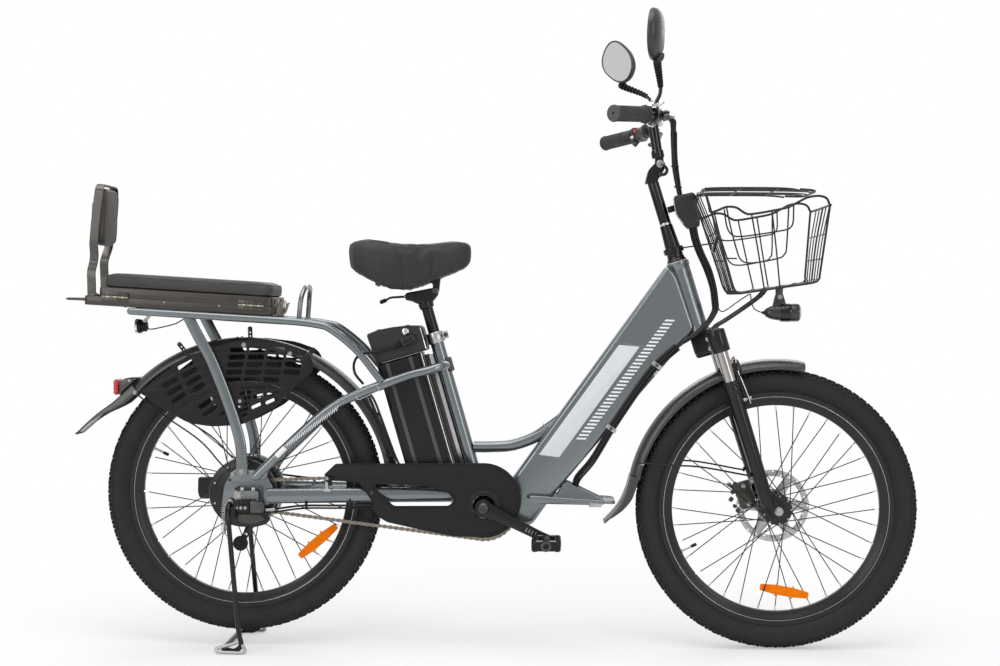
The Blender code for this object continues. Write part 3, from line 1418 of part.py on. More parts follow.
def backrest_leg(side):
    """A flat strip that draws in below the pad and runs straight down to the ledge of the box."""
    shape = bmesh.new()
    rings = []
    for k, (x, y, z) in enumerate(BACK_PATH):
        before = BACK_PATH[max(k - 1, 0)]
        after = BACK_PATH[min(k + 1, len(BACK_PATH) - 1)]
        outwards = Vector((0, after[2] - before[2], before[1] - after[1])).normalized()
        rings.append([
            shape.verts.new((x + 0.0095 * ahead, side * (y + out * outwards.y),
                             z + out * outwards.z))
            for ahead, out in ((1, BACK_THICK / 2), (-1, BACK_THICK / 2), (-1, -BACK_THICK / 2),
                               (1, -BACK_THICK / 2))
        ])
    for low, high in zip(rings, rings[1:]):
        for k in range(4):
            n = (k + 1) % 4
            shape.faces.new((low[k], low[n], high[n], high[k]))
    shape.faces.new(rings[0][::-1])
    shape.faces.new(rings[-1])
    return from_bmesh(shape)


def backrest_frame():
    """A hoop of flat strip round the pad, with a tie behind it and feet on the box's ledge."""
    lean = Matrix.Rotation(math.radians(6.5), 4, "Y")
    top = block((0.0190, 0.1210, 0.0040), (-0.8492, 0, 1.0160), 0.0, lean)
    tie = block((0.0030, 2 * BACK_HALF + 0.002, 0.060), (-0.8668, 0, 0.948), 0.0,
                Matrix.Rotation(math.radians(3.55), 4, "Y"))
    ledge = box_frame() @ Matrix.Translation((-BOX_LENGTH / 2 + 0.0125, 0, TRAY_HEIGHT + GAP))
    feet = [
        place(baked(block((0.0190, 0.018, 0.0040), (0, 0, 0))),
              ledge @ Matrix.Translation((0, side * 0.0430, 0.0020)))
        for side in (-1, 1)
    ]
    whole = fuse(backrest_leg(-1), backrest_leg(1), top, tie, *feet)
    return cut(whole, slab(BOX_LENGTH + 0.05, 0.20, 0.0, -0.05, TRAY_HEIGHT + GAP))


def backrest_pad():
    """The pad leans with the box, so that the opening lid passes in front of it."""
    body = block((0.0270, 2 * BACK_HALF - 0.001, 0.128), (0, 0, 0), 0.009)
    body.modifiers["bevel"].segments = 2
    body.modifiers["bevel"].angle_limit = math.radians(30)
    return place(baked(body), Matrix.Translation((-0.8515, 0, 0.9475))
                 @ Matrix.Rotation(math.radians(3.55), 4, "Y"))


def horn():
    cup = place(turned(solid_profile([
        (0.0160, 0.0), (0.0160, -0.010), (0.0120, -0.014), (0.0120, -0.024),
    ][::-1]), 14, Matrix.Identity(4)),
        facing((-0.793, 0.030, 0.7055), (-1, 0, 0)))
    strap = plate([(-0.781, 0.7100), (-0.775, 0.7100), (-0.759, 0.7317), (-0.766, 0.7318)], 0.014,
                  0.030)
    return fuse(cup, strap)


# Seat and battery

def seat_clamp():
    frame = Matrix.Translation(SEAT_BASE) @ Matrix.Rotation(-SEAT_TILT, 4, "Y")
    inner, outer = SEAT_TUBE_R + GAP, 0.0190
    ring = turned([(outer, 0.394), (outer, 0.370), (inner, 0.370), (inner, 0.394)], 20, frame)
    centre = at_seat(0.382, 0.0225)
    ears = block((0.012, 0.018, 0.016), centre, turn=Matrix.Rotation(-SEAT_TILT, 4, "Y"))
    ears = cut(ears, pin(at_seat(0.3, 0), at_seat(0.45, 0), SEAT_TUBE_R + GAP, 20))
    bolt = along_y(at_seat(0.382, 0.0240), -0.0130, 0.0130, 0.0035, 8)
    return fuse(ring, ears, bolt)


def battery_case():
    return seat_plate([
        (BATTERY_FACE, 0.088), (BATTERY_FACE, 0.3605), (BATTERY_BACK, 0.3605),
        (BATTERY_BACK, 0.100), (BATTERY_BACK + 0.010, 0.088),
    ], 2 * BATTERY_HALF, bevel=0.006)


def battery_cap():
    cap = seat_plate([
        (-0.0225, 0.3608), (-0.1375, 0.3608), (-0.1412, 0.4255), (-0.1380, 0.4315),
        (-0.1150, 0.4330), (-0.0850, 0.4305), (-0.0500, 0.4245), (-0.0240, 0.4165),
        (-0.0200, 0.4100), (-0.0200, 0.3900),
    ], 0.0790, bevel=0.003)
    knob = along_y(at_seat(0.4130, -0.056), -0.0380, -0.0450, 0.0080, 12)
    return fuse(cap, knob)


def battery_lead():
    plug = block((0.052, 0.018, 0.022), (-0.182, -0.0490, 0.6725), 0.003,
                 Matrix.Rotation(math.radians(-28), 4, "Y"))
    cord = tube(curve_through([
        (-0.200, -0.0530, 0.663), (-0.235, -0.0540, 0.652), (-0.277, -0.0560, 0.647),
        (-0.292, -0.0580, 0.628), (-0.290, -0.0600, 0.605), (-0.271, -0.0600, 0.581),
    ], 3), 0.0030, 6)
    return fuse(plug, cord)


def seat_post():
    post = pin(at_seat(0.235, 0), at_seat(0.470, 0), POST_R, 16)
    head = at_seat(0.470, 0)
    carrier_block = plate([
        (head.x - 0.020, head.z - 0.006), (head.x + 0.014, head.z - 0.010),
        (-0.111, 0.7760), (-0.111, 0.7915), (-0.124, 0.7915), (-0.184, 0.7800),
        (-0.184, 0.7640),
    ], 0.030, 0.0, bevel=0.002)
    slot = block((0.035, 0.0180, 0.030), (-0.1095, 0, 0.7870))
    return fuse(cut(carrier_block, slot), post)


SADDLE_PIVOT = Vector((-0.1175, 0, 0.7845))


def saddle():
    sections = [
        (-0.306, 0.050, 0.876, 0.848), (-0.298, 0.092, 0.888, 0.834), (-0.270, 0.116, 0.895, 0.818),
        (-0.225, 0.116, 0.893, 0.802), (-0.185, 0.092, 0.888, 0.7990),
        (-0.140, 0.056, 0.887, 0.8000), (-0.095, 0.036, 0.891, 0.816),
        (-0.060, 0.028, 0.892, 0.833), (-0.043, 0.020, 0.886, 0.848), (-0.037, 0.008, 0.876, 0.860),
    ]
    shape = bmesh.new()
    rings = []
    sides = 14
    for x, half, top, low in sections:
        ring = []
        for k in range(sides):
            angle = 2 * math.pi * k / sides
            c, s = math.cos(angle), math.sin(angle)
            y = half * math.copysign(abs(c) ** 0.62, c)
            middle, depth = (top + low) / 2, (top - low) / 2
            squash = 1.0 if s > 0 else 1.0 - 0.25 * (abs(c) ** 2)
            z = middle + depth * squash * math.copysign(abs(s) ** 0.75, s)
            ring.append(shape.verts.new((x, y, z)))
        rings.append(ring)
    for low, high in zip(rings, rings[1:]):
        for k in range(sides):
            n = (k + 1) % sides
            shape.faces.new((low[k], low[n], high[n], high[k]))
    shape.faces.new(rings[0][::-1])
    shape.faces.new(rings[-1])
    body = from_bmesh(shape)
    tongue = plate([(-0.1245, 0.782), (-0.110, 0.782), (-0.106, 0.830), (-0.150, 0.830),
                    (-0.1245, 0.7990)], 0.0170, 0.0)
    return fuse(body, tongue)


def saddle_lever():
    rod = tube([(-0.1848, 0.010, 0.7715), (-0.205, 0.014, 0.7705), (-0.236, 0.022, 0.768)],
               0.0027, 6)
    paddle = block((0.020, 0.014, 0.019), (-0.234, 0.022, 0.7675), 0.003)
    return fuse(rod, paddle)


# Cables, rear brake and front carrier

def rear_caliper():
    body = block((0.050, 0.0215, 0.050), (-0.6345, 0.0548, 0.340), 0.004)
    slot = along_y(REAR_AXLE, ROTOR_REAR_Y - 0.0022, ROTOR_REAR_Y + 0.0022, ROTOR_R + 0.0015, 36)
    ear = block((0.056, 0.0060, 0.018), (-0.594, 0.0630, 0.351))
    return fuse(cut(body, slot), ear)


def down_tube_cable():
    return tube(curve_through([
        (0.412, -0.0338, 0.662), (0.367, -0.0338, 0.622), (0.330, -0.0338, 0.575),
        (0.271, -0.0338, 0.487), (0.228, -0.0280, 0.415), (0.196, -0.0120, 0.374),
        (0.190, -0.0080, 0.352),
    ], 3), 0.0035, 6)


def cable_bundle():
    upper = tube(curve_through([
        (0.404, -0.020, 1.130), (0.407, -0.022, 1.071),
        (0.417, -0.022, 0.990),
    ], 2), 0.0055, 6)
    box = block((0.050, 0.036, 0.078), (0.4330, -0.020, 0.957), 0.004,
                Matrix.Rotation(math.radians(-12), 4, "Y"))
    lower = tube(curve_through([
        (0.446, -0.022, 0.930), (0.452, -0.023, 0.896), (0.461, -0.024, 0.868),
        (0.486, -0.022, 0.800), (0.495, -0.020, 0.752),
    ], 2), 0.0045, 6)
    bracket = block((0.020, 0.012, 0.014), at_steering(0.114, STEM_R + GAP + 0.010, -0.004), 0.0,
                    Matrix.Rotation(-STEER_TILT, 4, "Y"))
    return fuse(box, upper, lower, bracket)


LAMP_PIVOT = Vector((0.636, 0, 0.7710))
LAMP_PIN_R = 0.0020
LID_HINGE = Vector((0.4640, 0, 1.0000))


def basket_point(side_x, side_y, share):
    """A corner of the basket: share 0 is the floor and 1 the rim."""
    low_x = 0.530 if side_x < 0 else 0.706
    high_x = 0.464 if side_x < 0 else 0.724
    low_z = 0.777 if side_x < 0 else 0.803
    high_z = 0.987 if side_x < 0 else 0.966
    half = 0.098 + 0.034 * share
    return Vector((low_x + (high_x - low_x) * share, side_y * half,
                   low_z + (high_z - low_z) * share))


def basket_ring(share, corner=0.2):
    """Points round the basket at this height, with its corners cut."""
    corners = [basket_point(x, y, share) for x, y in ((-1, -1), (1, -1), (1, 1), (-1, 1))]
    points = []
    for k, point in enumerate(corners):
        points.append(point.lerp(corners[k - 1], corner * 0.6))
        points.append(point.lerp(corners[(k + 1) % 4], corner * 0.6))
    return points


def basket():
    pieces = [tube(basket_ring(0.0), 0.0026, 4, cyclic=True),
              tube(basket_ring(0.5), BASKET_WIRE, 4, cyclic=True)]
    sides = (((-1, -1), (1, -1)), ((1, -1), (1, 1)), ((1, 1), (-1, 1)), ((-1, 1), (-1, -1)))
    for a, b in sides:
        for k in range(5 if a[0] == b[0] else 4):
            t = 0.12 + 0.19 * k if a[0] == b[0] else 0.14 + 0.24 * k
            low = basket_point(*a, 0.0).lerp(basket_point(*b, 0.0), t)
            high = basket_point(*a, 1.0).lerp(basket_point(*b, 1.0), t)
            pieces.append(pin(low, high, BASKET_WIRE, 3))
    for k in range(3):
        t = 0.25 + 0.25 * k
        low = basket_point(-1, -1, 0.0).lerp(basket_point(-1, 1, 0.0), t)
        high = basket_point(1, -1, 0.0).lerp(basket_point(1, 1, 0.0), t)
        pieces.append(pin(low, high, BASKET_WIRE, 3))
    for y in (-0.030, 0.030):
        pieces.append(tube([(0.4985, y, 0.7064), (0.520, y, 0.7130), (0.586, y, 0.764),
                            (0.606, y, 0.790)], 0.0028, 4))
    pieces.append(plate(band([(0.4235, 0.8785), (0.4960, 0.8890)], 0.0016), 0.024, 0.0))
    pieces.append(turned([(0.0221, 0.032), (0.0221, 0.020), (0.0191, 0.020), (0.0191, 0.032)],
                         16, steering_frame()))
    pieces.append(block((0.020, 0.0240, 0.0030), (LAMP_PIVOT.x, 0, 0.7905)))
    pieces.append(along_y(LAMP_PIVOT, -0.0115, 0.0115, LAMP_PIN_R, 8))
    for side in (-1, 1):
        pieces.append(block((0.014, 0.0030, 0.028),
                            (LAMP_PIVOT.x, side * 0.0099, LAMP_PIVOT.z + 0.0065)))
        eye = block((0.009, 0.006, 0.0190), (LID_HINGE.x, side * 0.060, LID_HINGE.z - 0.0052))
        pieces.append(cut(eye, along_y(LID_HINGE, -0.1, 0.1, 0.0024 + GAP, 8)))
    low = basket_point(-1, -1, 0.0).lerp(basket_point(1, -1, 0.0), 0.43)
    pieces.append(pin(low, (low.x, -low.y, low.z), BASKET_WIRE, 4))
    rim = tube(basket_ring(1.0), 0.0032, 4, cyclic=True)
    return fuse(rim, *pieces)


def basket_lid():
    corners = [(0.4640, -0.118), (0.690, -0.120), (0.702, -0.106), (0.702, 0.106),
               (0.690, 0.120), (0.4640, 0.118)]
    frame = tube([(x, y, LID_HINGE.z) for x, y in corners], 0.0024, 4, cyclic=True)
    wires = [
        pin((0.4640, y, LID_HINGE.z), (0.702, y, LID_HINGE.z), BASKET_WIRE, 3)
        for y in (-0.080, -0.040, 0.0, 0.040, 0.080)
    ]
    wires.append(pin((0.580, -0.120, LID_HINGE.z), (0.580, 0.120, LID_HINGE.z), BASKET_WIRE, 3))
    return fuse(frame, *wires)


def headlamp():
    body = turned(solid_profile([
        (0.0185, 0.079), (0.0195, 0.070), (0.0180, 0.058), (0.0150, 0.020), (0.0080, 0.002),
        (0.0040, 0.0),
    ][::-1]), 18, facing((0.602, 0, 0.7365), (1, 0, 0)))
    strap = plate([(0.620, 0.745), (0.652, 0.745), (0.645, 0.7770), (0.627, 0.7770)], 0.016, 0.0,
                  bevel=0.001)
    hole = along_y(LAMP_PIVOT, -0.02, 0.02, LAMP_PIN_R + GAP, 8)
    return cut(fuse(body, strap), hole)


# The assembly

FRAME_PARTS = (
    ("head_tube", head_tube, FRAME_PAINT),
    ("down_tube", down_tube, FRAME_PAINT),
    ("seat_tube", seat_tube, FRAME_PAINT),
    ("chain_stays", chain_stays, FRAME_PAINT),
    ("rear_rack", rear_rack, FRAME_PAINT),
    ("footboard", footboard, BLACK_PAINT),
    ("rear_fender", rear_fender, BLACK_PLASTIC),
    ("tail_lamp", tail_lamp, BLACK_PLASTIC),
    ("tail_lamp_lens", tail_lamp_lens, RED_LENS),
    ("seat_box", seat_box, BLACK_PAINT),
    ("backrest_frame", backrest_frame, BLACK_PAINT),
    ("backrest_pad", backrest_pad, VINYL),
    ("horn", horn, BLACK_PLASTIC),
    ("chain_guard", chain_guard, BLACK_PLASTIC),
    ("rear_caliper", rear_caliper, STEEL),
    ("down_tube_cable", down_tube_cable, RUBBER),
    ("seat_clamp", seat_clamp, STEEL),
    ("derailleur", derailleur, BLACK_PAINT),
)
for part_name, build, finish in FRAME_PARTS:
    node(part_name, build(), finish)
node("chain", chain(), BRASS)
node("coat_guard_right", coat_guard(-1), BLACK_PLASTIC)
node("coat_guard_left", coat_guard(1), BLACK_PLASTIC)

steering = carrier("steering", HEAD_TOP)
node("fork_crown", fork_crown(), BLACK_PAINT, steering)
node("stem", stem(), BLACK_PAINT, steering)
node("cable_bundle", cable_bundle(), RUBBER, steering)
node("basket", basket(), BLACK_WIRE, steering)
lid_hinge = carrier("basket_lid_hinge", LID_HINGE)
node("basket_lid", basket_lid(), BLACK_WIRE, lid_hinge)
lamp_tilt = carrier("headlamp_tilt", LAMP_PIVOT)
node("headlamp", headlamp(), BLACK_PLASTIC, lamp_tilt)
fork_slide = carrier("fork_travel", FRONT_AXLE)
node("fork_lowers", fork_lowers(), BLACK_PAINT, fork_slide)
node("front_caliper", front_caliper(), STEEL, fork_slide)
node("front_fender", front_fender(), BLACK_PLASTIC, fork_slide)
front_wheel = carrier("front_wheel_spin", FRONT_AXLE)
node("front_tyre", tyre(FRONT_AXLE), RUBBER, front_wheel)
node("front_rim", rim(FRONT_AXLE), BLACK_PAINT, front_wheel)
node("front_hub", front_hub(), BLACK_PAINT, front_wheel)

rear_wheel = carrier("rear_wheel_spin", REAR_AXLE)
node("rear_tyre", tyre(REAR_AXLE), RUBBER, rear_wheel)
node("rear_rim", rim(REAR_AXLE), BLACK_PAINT, rear_wheel)
node("rear_hub_motor", rear_hub(), BLACK_PAINT, rear_wheel)
cog_spin = carrier("freewheel_spin", REAR_AXLE)
node("freewheel", freewheel(), STEEL, cog_spin)

crank_spin = carrier("crank_spin", BB)
node("crankset", crankset(), BLACK_PAINT, crank_spin)
for part_name, side in (("pedal_right", -1), ("pedal_left", 1)):
    node(part_name, pedal(side), BLACK_PLASTIC, carrier(part_name + "_spin", arm_end(side)))
cage_swing = carrier("cage_swing", CAGE_PIVOT)
node("derailleur_cage", derailleur_cage(), STEEL, cage_swing)
jockey_spin = carrier("jockey_spin", JOCKEY)
node("jockey_wheel", jockey_wheel(), BLACK_PLASTIC, jockey_spin)

stand_swing = carrier("stand_swing", STAND_PIVOT)
node("center_stand", center_stand(), BLACK_PAINT, stand_swing)
node("stand_spring", stand_spring(), STEEL, stand_swing)

box_hinge = carrier("box_lid_hinge", box_frame() @ Vector((0, -BOX_HALF - 0.0015, LID_LOW)))
node("seat_box_lid", seat_box_lid(), BLACK_PLASTIC, box_hinge)
node("seat_cushion", seat_cushion(), VINYL, box_hinge)
for part_name, side in (("box_latch_right", -1), ("box_latch_left", 1)):
    low = box_frame() @ Vector((BOX_LENGTH / 2 + 0.0083, side * LATCH_Y, 0.0085))
    node(part_name, box_latch(side), BLACK_PLASTIC, carrier(part_name + "_swing", low))

battery_slide = carrier("battery_slide", at_seat(0.088, -0.088))
node("battery_case", battery_case(), BATTERY_SHELL, battery_slide)
node("battery_cap", battery_cap(), BLACK_PLASTIC, battery_slide)
node("battery_lead", battery_lead(), RUBBER, battery_slide)
post_slide = carrier("seat_post_slide", at_seat(SEAT_TUBE_TOP, 0))
node("seat_post", seat_post(), BLACK_PAINT, post_slide)
saddle_flip = carrier("saddle_flip", SADDLE_PIVOT)
node("saddle", saddle(), VINYL, saddle_flip)
lever_turn = carrier("saddle_lever_turn", Vector((-0.184, 0.010, 0.7715)))
node("saddle_lever", saddle_lever(), BLACK_PLASTIC, lever_turn)

bar_tilt = carrier("stem_tilt", TILT)
node("handlebar", handlebar(), BLACK_PAINT, bar_tilt)
twist = carrier("throttle_twist", grip_start(-1))
node("throttle_grip", grip(-1), RUBBER, twist)
for part_name, side in (("right", -1), ("left", 1)):
    node("brake_lever_" + part_name, brake_lever(side), CHROME,
         carrier("brake_" + part_name + "_pull", lever_pivot(side)))
    node("mirror_" + part_name, mirror(side), BLACK_PLASTIC,
         carrier("mirror_" + part_name + "_ball", mirror_ball(side)))
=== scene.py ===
"""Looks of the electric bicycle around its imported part.

Metres. +X is forward, +Y the rider's left, +Z up. Every piece is built in place.
"""
import math
import random

import bmesh
import bpy
from mathutils import Matrix, Vector


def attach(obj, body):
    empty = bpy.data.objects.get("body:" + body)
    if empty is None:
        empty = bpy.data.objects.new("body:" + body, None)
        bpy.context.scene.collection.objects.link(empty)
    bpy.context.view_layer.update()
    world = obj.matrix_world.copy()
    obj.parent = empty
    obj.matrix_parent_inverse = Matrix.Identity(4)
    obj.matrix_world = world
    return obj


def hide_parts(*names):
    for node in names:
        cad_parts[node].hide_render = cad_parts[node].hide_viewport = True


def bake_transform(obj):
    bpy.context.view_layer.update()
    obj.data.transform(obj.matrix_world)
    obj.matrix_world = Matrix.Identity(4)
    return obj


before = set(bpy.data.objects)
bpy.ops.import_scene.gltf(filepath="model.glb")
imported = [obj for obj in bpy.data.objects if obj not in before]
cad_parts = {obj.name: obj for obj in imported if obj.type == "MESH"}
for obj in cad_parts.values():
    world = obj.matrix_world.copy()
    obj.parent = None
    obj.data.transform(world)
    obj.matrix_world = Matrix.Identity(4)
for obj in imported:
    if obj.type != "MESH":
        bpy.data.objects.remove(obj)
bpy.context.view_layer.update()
random.seed(7)

# Places that the part's source gives

WHEEL_R = 0.3075
FRONT_AXLE = Vector((0.629, 0, WHEEL_R))
REAR_AXLE = Vector((-0.542, 0, 0.339))
BB = Vector((-0.009, 0, 0.314))
STEER_TILT = math.radians(17)
SEAT_TILT = math.radians(16)
HEAD_TOP = Vector((0.413, 0, 0.848))
SEAT_BASE = Vector((-0.013, 0, 0.314))
STEER_UP = Vector((-math.sin(STEER_TILT), 0, math.cos(STEER_TILT)))
STEER_FRONT = Vector((math.cos(STEER_TILT), 0, math.sin(STEER_TILT)))
SEAT_UP = Vector((-math.sin(SEAT_TILT), 0, math.cos(SEAT_TILT)))
SEAT_FRONT = Vector((math.cos(SEAT_TILT), 0, math.sin(SEAT_TILT)))


# Shapes: each function gives a bmesh

def frames_along(points, cyclic):
    """A direction and a steady sideways vector at each point."""
    count = len(points)
    tangents = []
    for k in range(count):
        before = points[k - 1] if (k or cyclic) else points[0]
        after = points[(k + 1) % count] if (k < count - 1 or cyclic) else points[-1]
        tangents.append((after - before).normalized())
    side = tangents[0].cross(Vector((0, 0, 1)))
    if side.length < 0.2:
        side = tangents[0].cross(Vector((0, 1, 0)))
    side.normalize()
    sides = []
    for tangent in tangents:
        side = (side - tangent * side.dot(tangent)).normalized()
        sides.append(side)
    return tangents, sides


def sweep(points, radius, steps=16, cyclic=False, section=None, side=None):
    """A tube along the points. The radius may be one number or one for each point.

    A section is a list of (sideways, up) pairs in units of the radius, and side is then
    the sideways vector that it keeps.
    """
    points = [Vector(p) for p in points]
    radii = radius if isinstance(radius, (list, tuple)) else [radius] * len(points)
    tangents, sides = frames_along(points, cyclic)
    section = section or [(math.cos(2 * math.pi * k / steps), math.sin(2 * math.pi * k / steps))
        for k in range(steps)]
    shape = bmesh.new()
    rings = []
    for point, r, tangent, across in zip(points, radii, tangents, sides):
        if side is not None:
            across = (Vector(side) - tangent * Vector(side).dot(tangent)).normalized()
        up = across.cross(tangent)
        rings.append([shape.verts.new(point + (across * u + up * v) * r) for u, v in section])
    pairs = list(zip(rings, rings[1:]))
    if cyclic:
        pairs.append((rings[-1], rings[0]))
    for low, high in pairs:
        for k in range(len(section)):
            n = (k + 1) % len(section)
            shape.faces.new((low[k], low[n], high[n], high[k]))
    if not cyclic:
        shape.faces.new(rings[0][::-1])
        shape.faces.new(rings[-1])
    return shape


def lathe(profile, matrix=None, steps=48, closed=False):
    """A profile of (radius, height) turned about Z, then placed by the matrix."""
    shape = bmesh.new()
    rings = []
    for radius, height in profile:
        if radius < 1e-7:
            rings.append([shape.verts.new((0, 0, height))])
        else:
            rings.append([shape.verts.new((radius * math.cos(2 * math.pi * k / steps),
                radius * math.sin(2 * math.pi * k / steps), height)) for k in range(steps)])
    pairs = list(zip(rings, rings[1:]))
    if closed:
        pairs.append((rings[-1], rings[0]))
    for low, high in pairs:
        for k in range(steps):
            n = (k + 1) % steps
            corners = [low[k % len(low)], low[n % len(low)], high[n % len(high)],
                high[k % len(high)]]
            corners = list(dict.fromkeys(corners))
            if len(corners) > 2:
                shape.faces.new(corners)
    if matrix:
        bmesh.ops.transform(shape, matrix=matrix, verts=shape.verts)
    return shape


def brick(size, matrix, bevel=0.001, steps=2):
    shape = bmesh.new()
    bmesh.ops.create_cube(shape, size=1)
    bmesh.ops.scale(shape, vec=size, verts=shape.verts)
    if bevel:
        bmesh.ops.bevel(shape, geom=shape.edges[:], offset=bevel, segments=steps, profile=0.5,
            affect="EDGES")
    if not isinstance(matrix, Matrix):
        matrix = Matrix.Translation(matrix)
    bmesh.ops.transform(shape, matrix=matrix, verts=shape.verts)
    return shape


def ball(centre, radius, scale=(1, 1, 1), steps=20):
    shape = bmesh.new()
    bmesh.ops.create_uvsphere(shape, u_segments=steps, v_segments=steps // 2, radius=radius)
    bmesh.ops.scale(shape, vec=scale, verts=shape.verts)
    bmesh.ops.translate(shape, vec=centre, verts=shape.verts)
    return shape


def panel(outline, thickness, matrix, holes=(), edge=0.0004, steps=1):
    """A flat plate with rounded edges, in the matrix's X and Y, centred on its Z = 0."""
    curve = bpy.data.curves.new("panel", "CURVE")
    curve.dimensions = "2D"
    curve.fill_mode = "BOTH"
    curve.extrude = max(thickness / 2 - edge, 0)
    curve.bevel_depth = edge
    curve.bevel_resolution = steps
    curve.offset = -edge
    for loop in (outline, *holes):
        spline = curve.splines.new("POLY")
        spline.points.add(len(loop) - 1)
        for target, point in zip(spline.points, loop):
            target.co = (point[0], point[1], 0, 1)
        spline.use_cyclic_u = True
    obj = bpy.data.objects.new("panel", curve)
    bpy.context.scene.collection.objects.link(obj)
    bpy.context.view_layer.update()
    mesh = bpy.data.meshes.new_from_object(obj.evaluated_get(bpy.context.evaluated_depsgraph_get()))
    shape = bmesh.new()
    shape.from_mesh(mesh)
    bpy.data.objects.remove(obj)
    bpy.data.curves.remove(curve)
    bpy.data.meshes.remove(mesh)
    bmesh.ops.remove_doubles(shape, verts=shape.verts, dist=1e-6)
    bmesh.ops.transform(shape, matrix=matrix, verts=shape.verts)
    return shape


def side_view(y=0.0):
    """Takes a flat shape's x and y to the bicycle's X and Z, at this Y."""
    return Matrix.Translation((0, y, 0)) @ Matrix.Rotation(math.radians(90), 4, "X")


def facing(point, direction, roll=0.0):
    """A frame at the point whose Z axis looks along the direction."""
    turn = Vector(direction).to_track_quat("Z", "Y").to_matrix().to_4x4()
    return Matrix.Translation(point) @ turn @ Matrix.Rotation(roll, 4, "Z")


def leaning(point, tilt):
    """A frame whose Z axis leans back by the tilt and whose X axis points ahead."""
    return Matrix.Translation(point) @ Matrix.Rotation(-tilt, 4, "Y")


def at_steering(up, ahead=0.0, side=0.0):
    return HEAD_TOP + STEER_UP * up + STEER_FRONT * ahead + Vector((0, side, 0))


def at_seat(up, ahead=0.0, side=0.0):
    return SEAT_BASE + SEAT_UP * up + SEAT_FRONT * ahead + Vector((0, side, 0))


def wheel_frame(centre):
    """A turned wheel's own Z axis runs along the bicycle's Y."""
    return Matrix.Translation(centre) @ Matrix.Rotation(math.radians(-90), 4, "X")


def rod(start, end, radius, steps=16, edge=0.0):
    """A round pin between two points, with its end edges taken off."""
    start, end = Vector(start), Vector(end)
    length = (end - start).length
    edge = min(edge, radius * 0.5, length * 0.4)
    profile = [(0, 0), (radius - edge, 0), (radius, edge), (radius, length - edge),
        (radius - edge, length), (0, length)]
    if not edge:
        profile = [(0, 0), (radius, 0), (radius, length), (0, length)]
    return lathe(profile, facing(start, end - start), steps)


def across(centre, start, end, radius, steps=20, edge=0.0005):
    """A round pin along the bicycle's Y at this centre."""
    return rod((centre[0], start, centre[2]), (centre[0], end, centre[2]), radius, steps, edge)


def smooth_path(points, steps=6):
    """A smooth curve through the points, with this many steps between each pair."""
    points = [Vector(p) for p in points]
    padded = [2 * points[0] - points[1], *points, 2 * points[-1] - points[-2]]
    line = []
    for a, b, c, d in zip(padded, padded[1:], padded[2:], padded[3:]):
        for k in range(steps):
            t = k / steps
            line.append(0.5 * (2 * b + (c - a) * t + (2 * a - 5 * b + 4 * c - d) * t**2
                + (3 * b - a - 3 * c + d) * t**3))
    return line + [points[-1]]


def arc(centre, radius, start, end, steps):
    """Points on an arc, with its angles in degrees."""
    turns = [math.radians(start + (end - start) * k / steps) for k in range(steps + 1)]
    return [(centre[0] + radius * math.cos(turn), centre[1] + radius * math.sin(turn))
        for turn in turns]


def circle(centre, radius, steps=24, phase=0.0):
    return [(centre[0] + radius * math.cos(phase + 2 * math.pi * k / steps), centre[1]
        + radius * math.sin(phase + 2 * math.pi * k / steps)) for k in range(steps)]


def rounded(outline, radius, steps=4):
    """The outline with its corners rounded by this radius."""
    points = [Vector(p) for p in outline]
    made = []
    for k, point in enumerate(points):
        before, after = points[k - 1] - point, points[(k + 1) % len(points)] - point
        reach = min(radius, before.length * 0.48, after.length * 0.48)
        start = point + before.normalized() * reach
        end = point + after.normalized() * reach
        for n in range(steps + 1):
            t = n / steps
            made.append(start * (1 - t) ** 2 + point * 2 * t * (1 - t) + end * t**2)
    return made


def rectangle(length, width):
    return [(length / 2, width / 2), (-length / 2, width / 2), (-length / 2, -width / 2),
        (length / 2, -width / 2)]


def strip(path, half):
    """The outline, in side view, of a strip this far to each side of the path."""
    path = [Vector(p) for p in path]
    left, right = [], []
    for k, point in enumerate(path):
        along = path[min(k + 1, len(path) - 1)] - path[max(k - 1, 0)]
        aside = Vector((-along.y, along.x)).normalized() * half
        left.append(point + aside)
        right.append(point - aside)
    return left + right[::-1]


def coil(start, end, radius, turns, wire, steps=14, ring=8):
    """A coil spring between two points."""
    start, end = Vector(start), Vector(end)
    matrix = facing(start, end - start)
    length = (end - start).length
    total = int(turns * steps)
    line = [matrix @ Vector((radius * math.cos(2 * math.pi * k / steps),
        radius * math.sin(2 * math.pi * k / steps), length * k / total)) for k in range(total + 1)]
    return sweep(line, wire, ring)


class Piece:
    """One object of the scene, gathered from shapes of several finishes."""

    def __init__(self):
        self.shape = bmesh.new()
        self.finishes = []

    def add(self, shape, finish, matrix=None):
        if matrix is not None:
            bmesh.ops.transform(shape, matrix=matrix, verts=shape.verts)
        if finish not in self.finishes:
            self.finishes.append(finish)
        index = self.finishes.index(finish)
        for face in shape.faces:
            face.material_index = index
        bmesh.ops.recalc_face_normals(shape, faces=shape.faces)
        mesh = bpy.data.meshes.new("shape")
        shape.to_mesh(mesh)
        shape.free()
        self.shape.from_mesh(mesh)
        bpy.data.meshes.remove(mesh)
        return self

    def done(self, name, body=None, stands_for=(), slot=None, angle=38):
        mesh = bpy.data.meshes.new(name)
        self.shape.to_mesh(mesh)
        self.shape.free()
        for finish in self.finishes:
            mesh.materials.append(finish)
        mesh.shade_smooth()
        mesh.set_sharp_from_angle(angle=math.radians(angle))
        obj = bpy.data.objects.new(name, mesh)
        bpy.context.scene.collection.objects.link(obj)
        if body:
            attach(obj, body)
        if stands_for:
            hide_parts(*stands_for)
        return obj


# Finishes

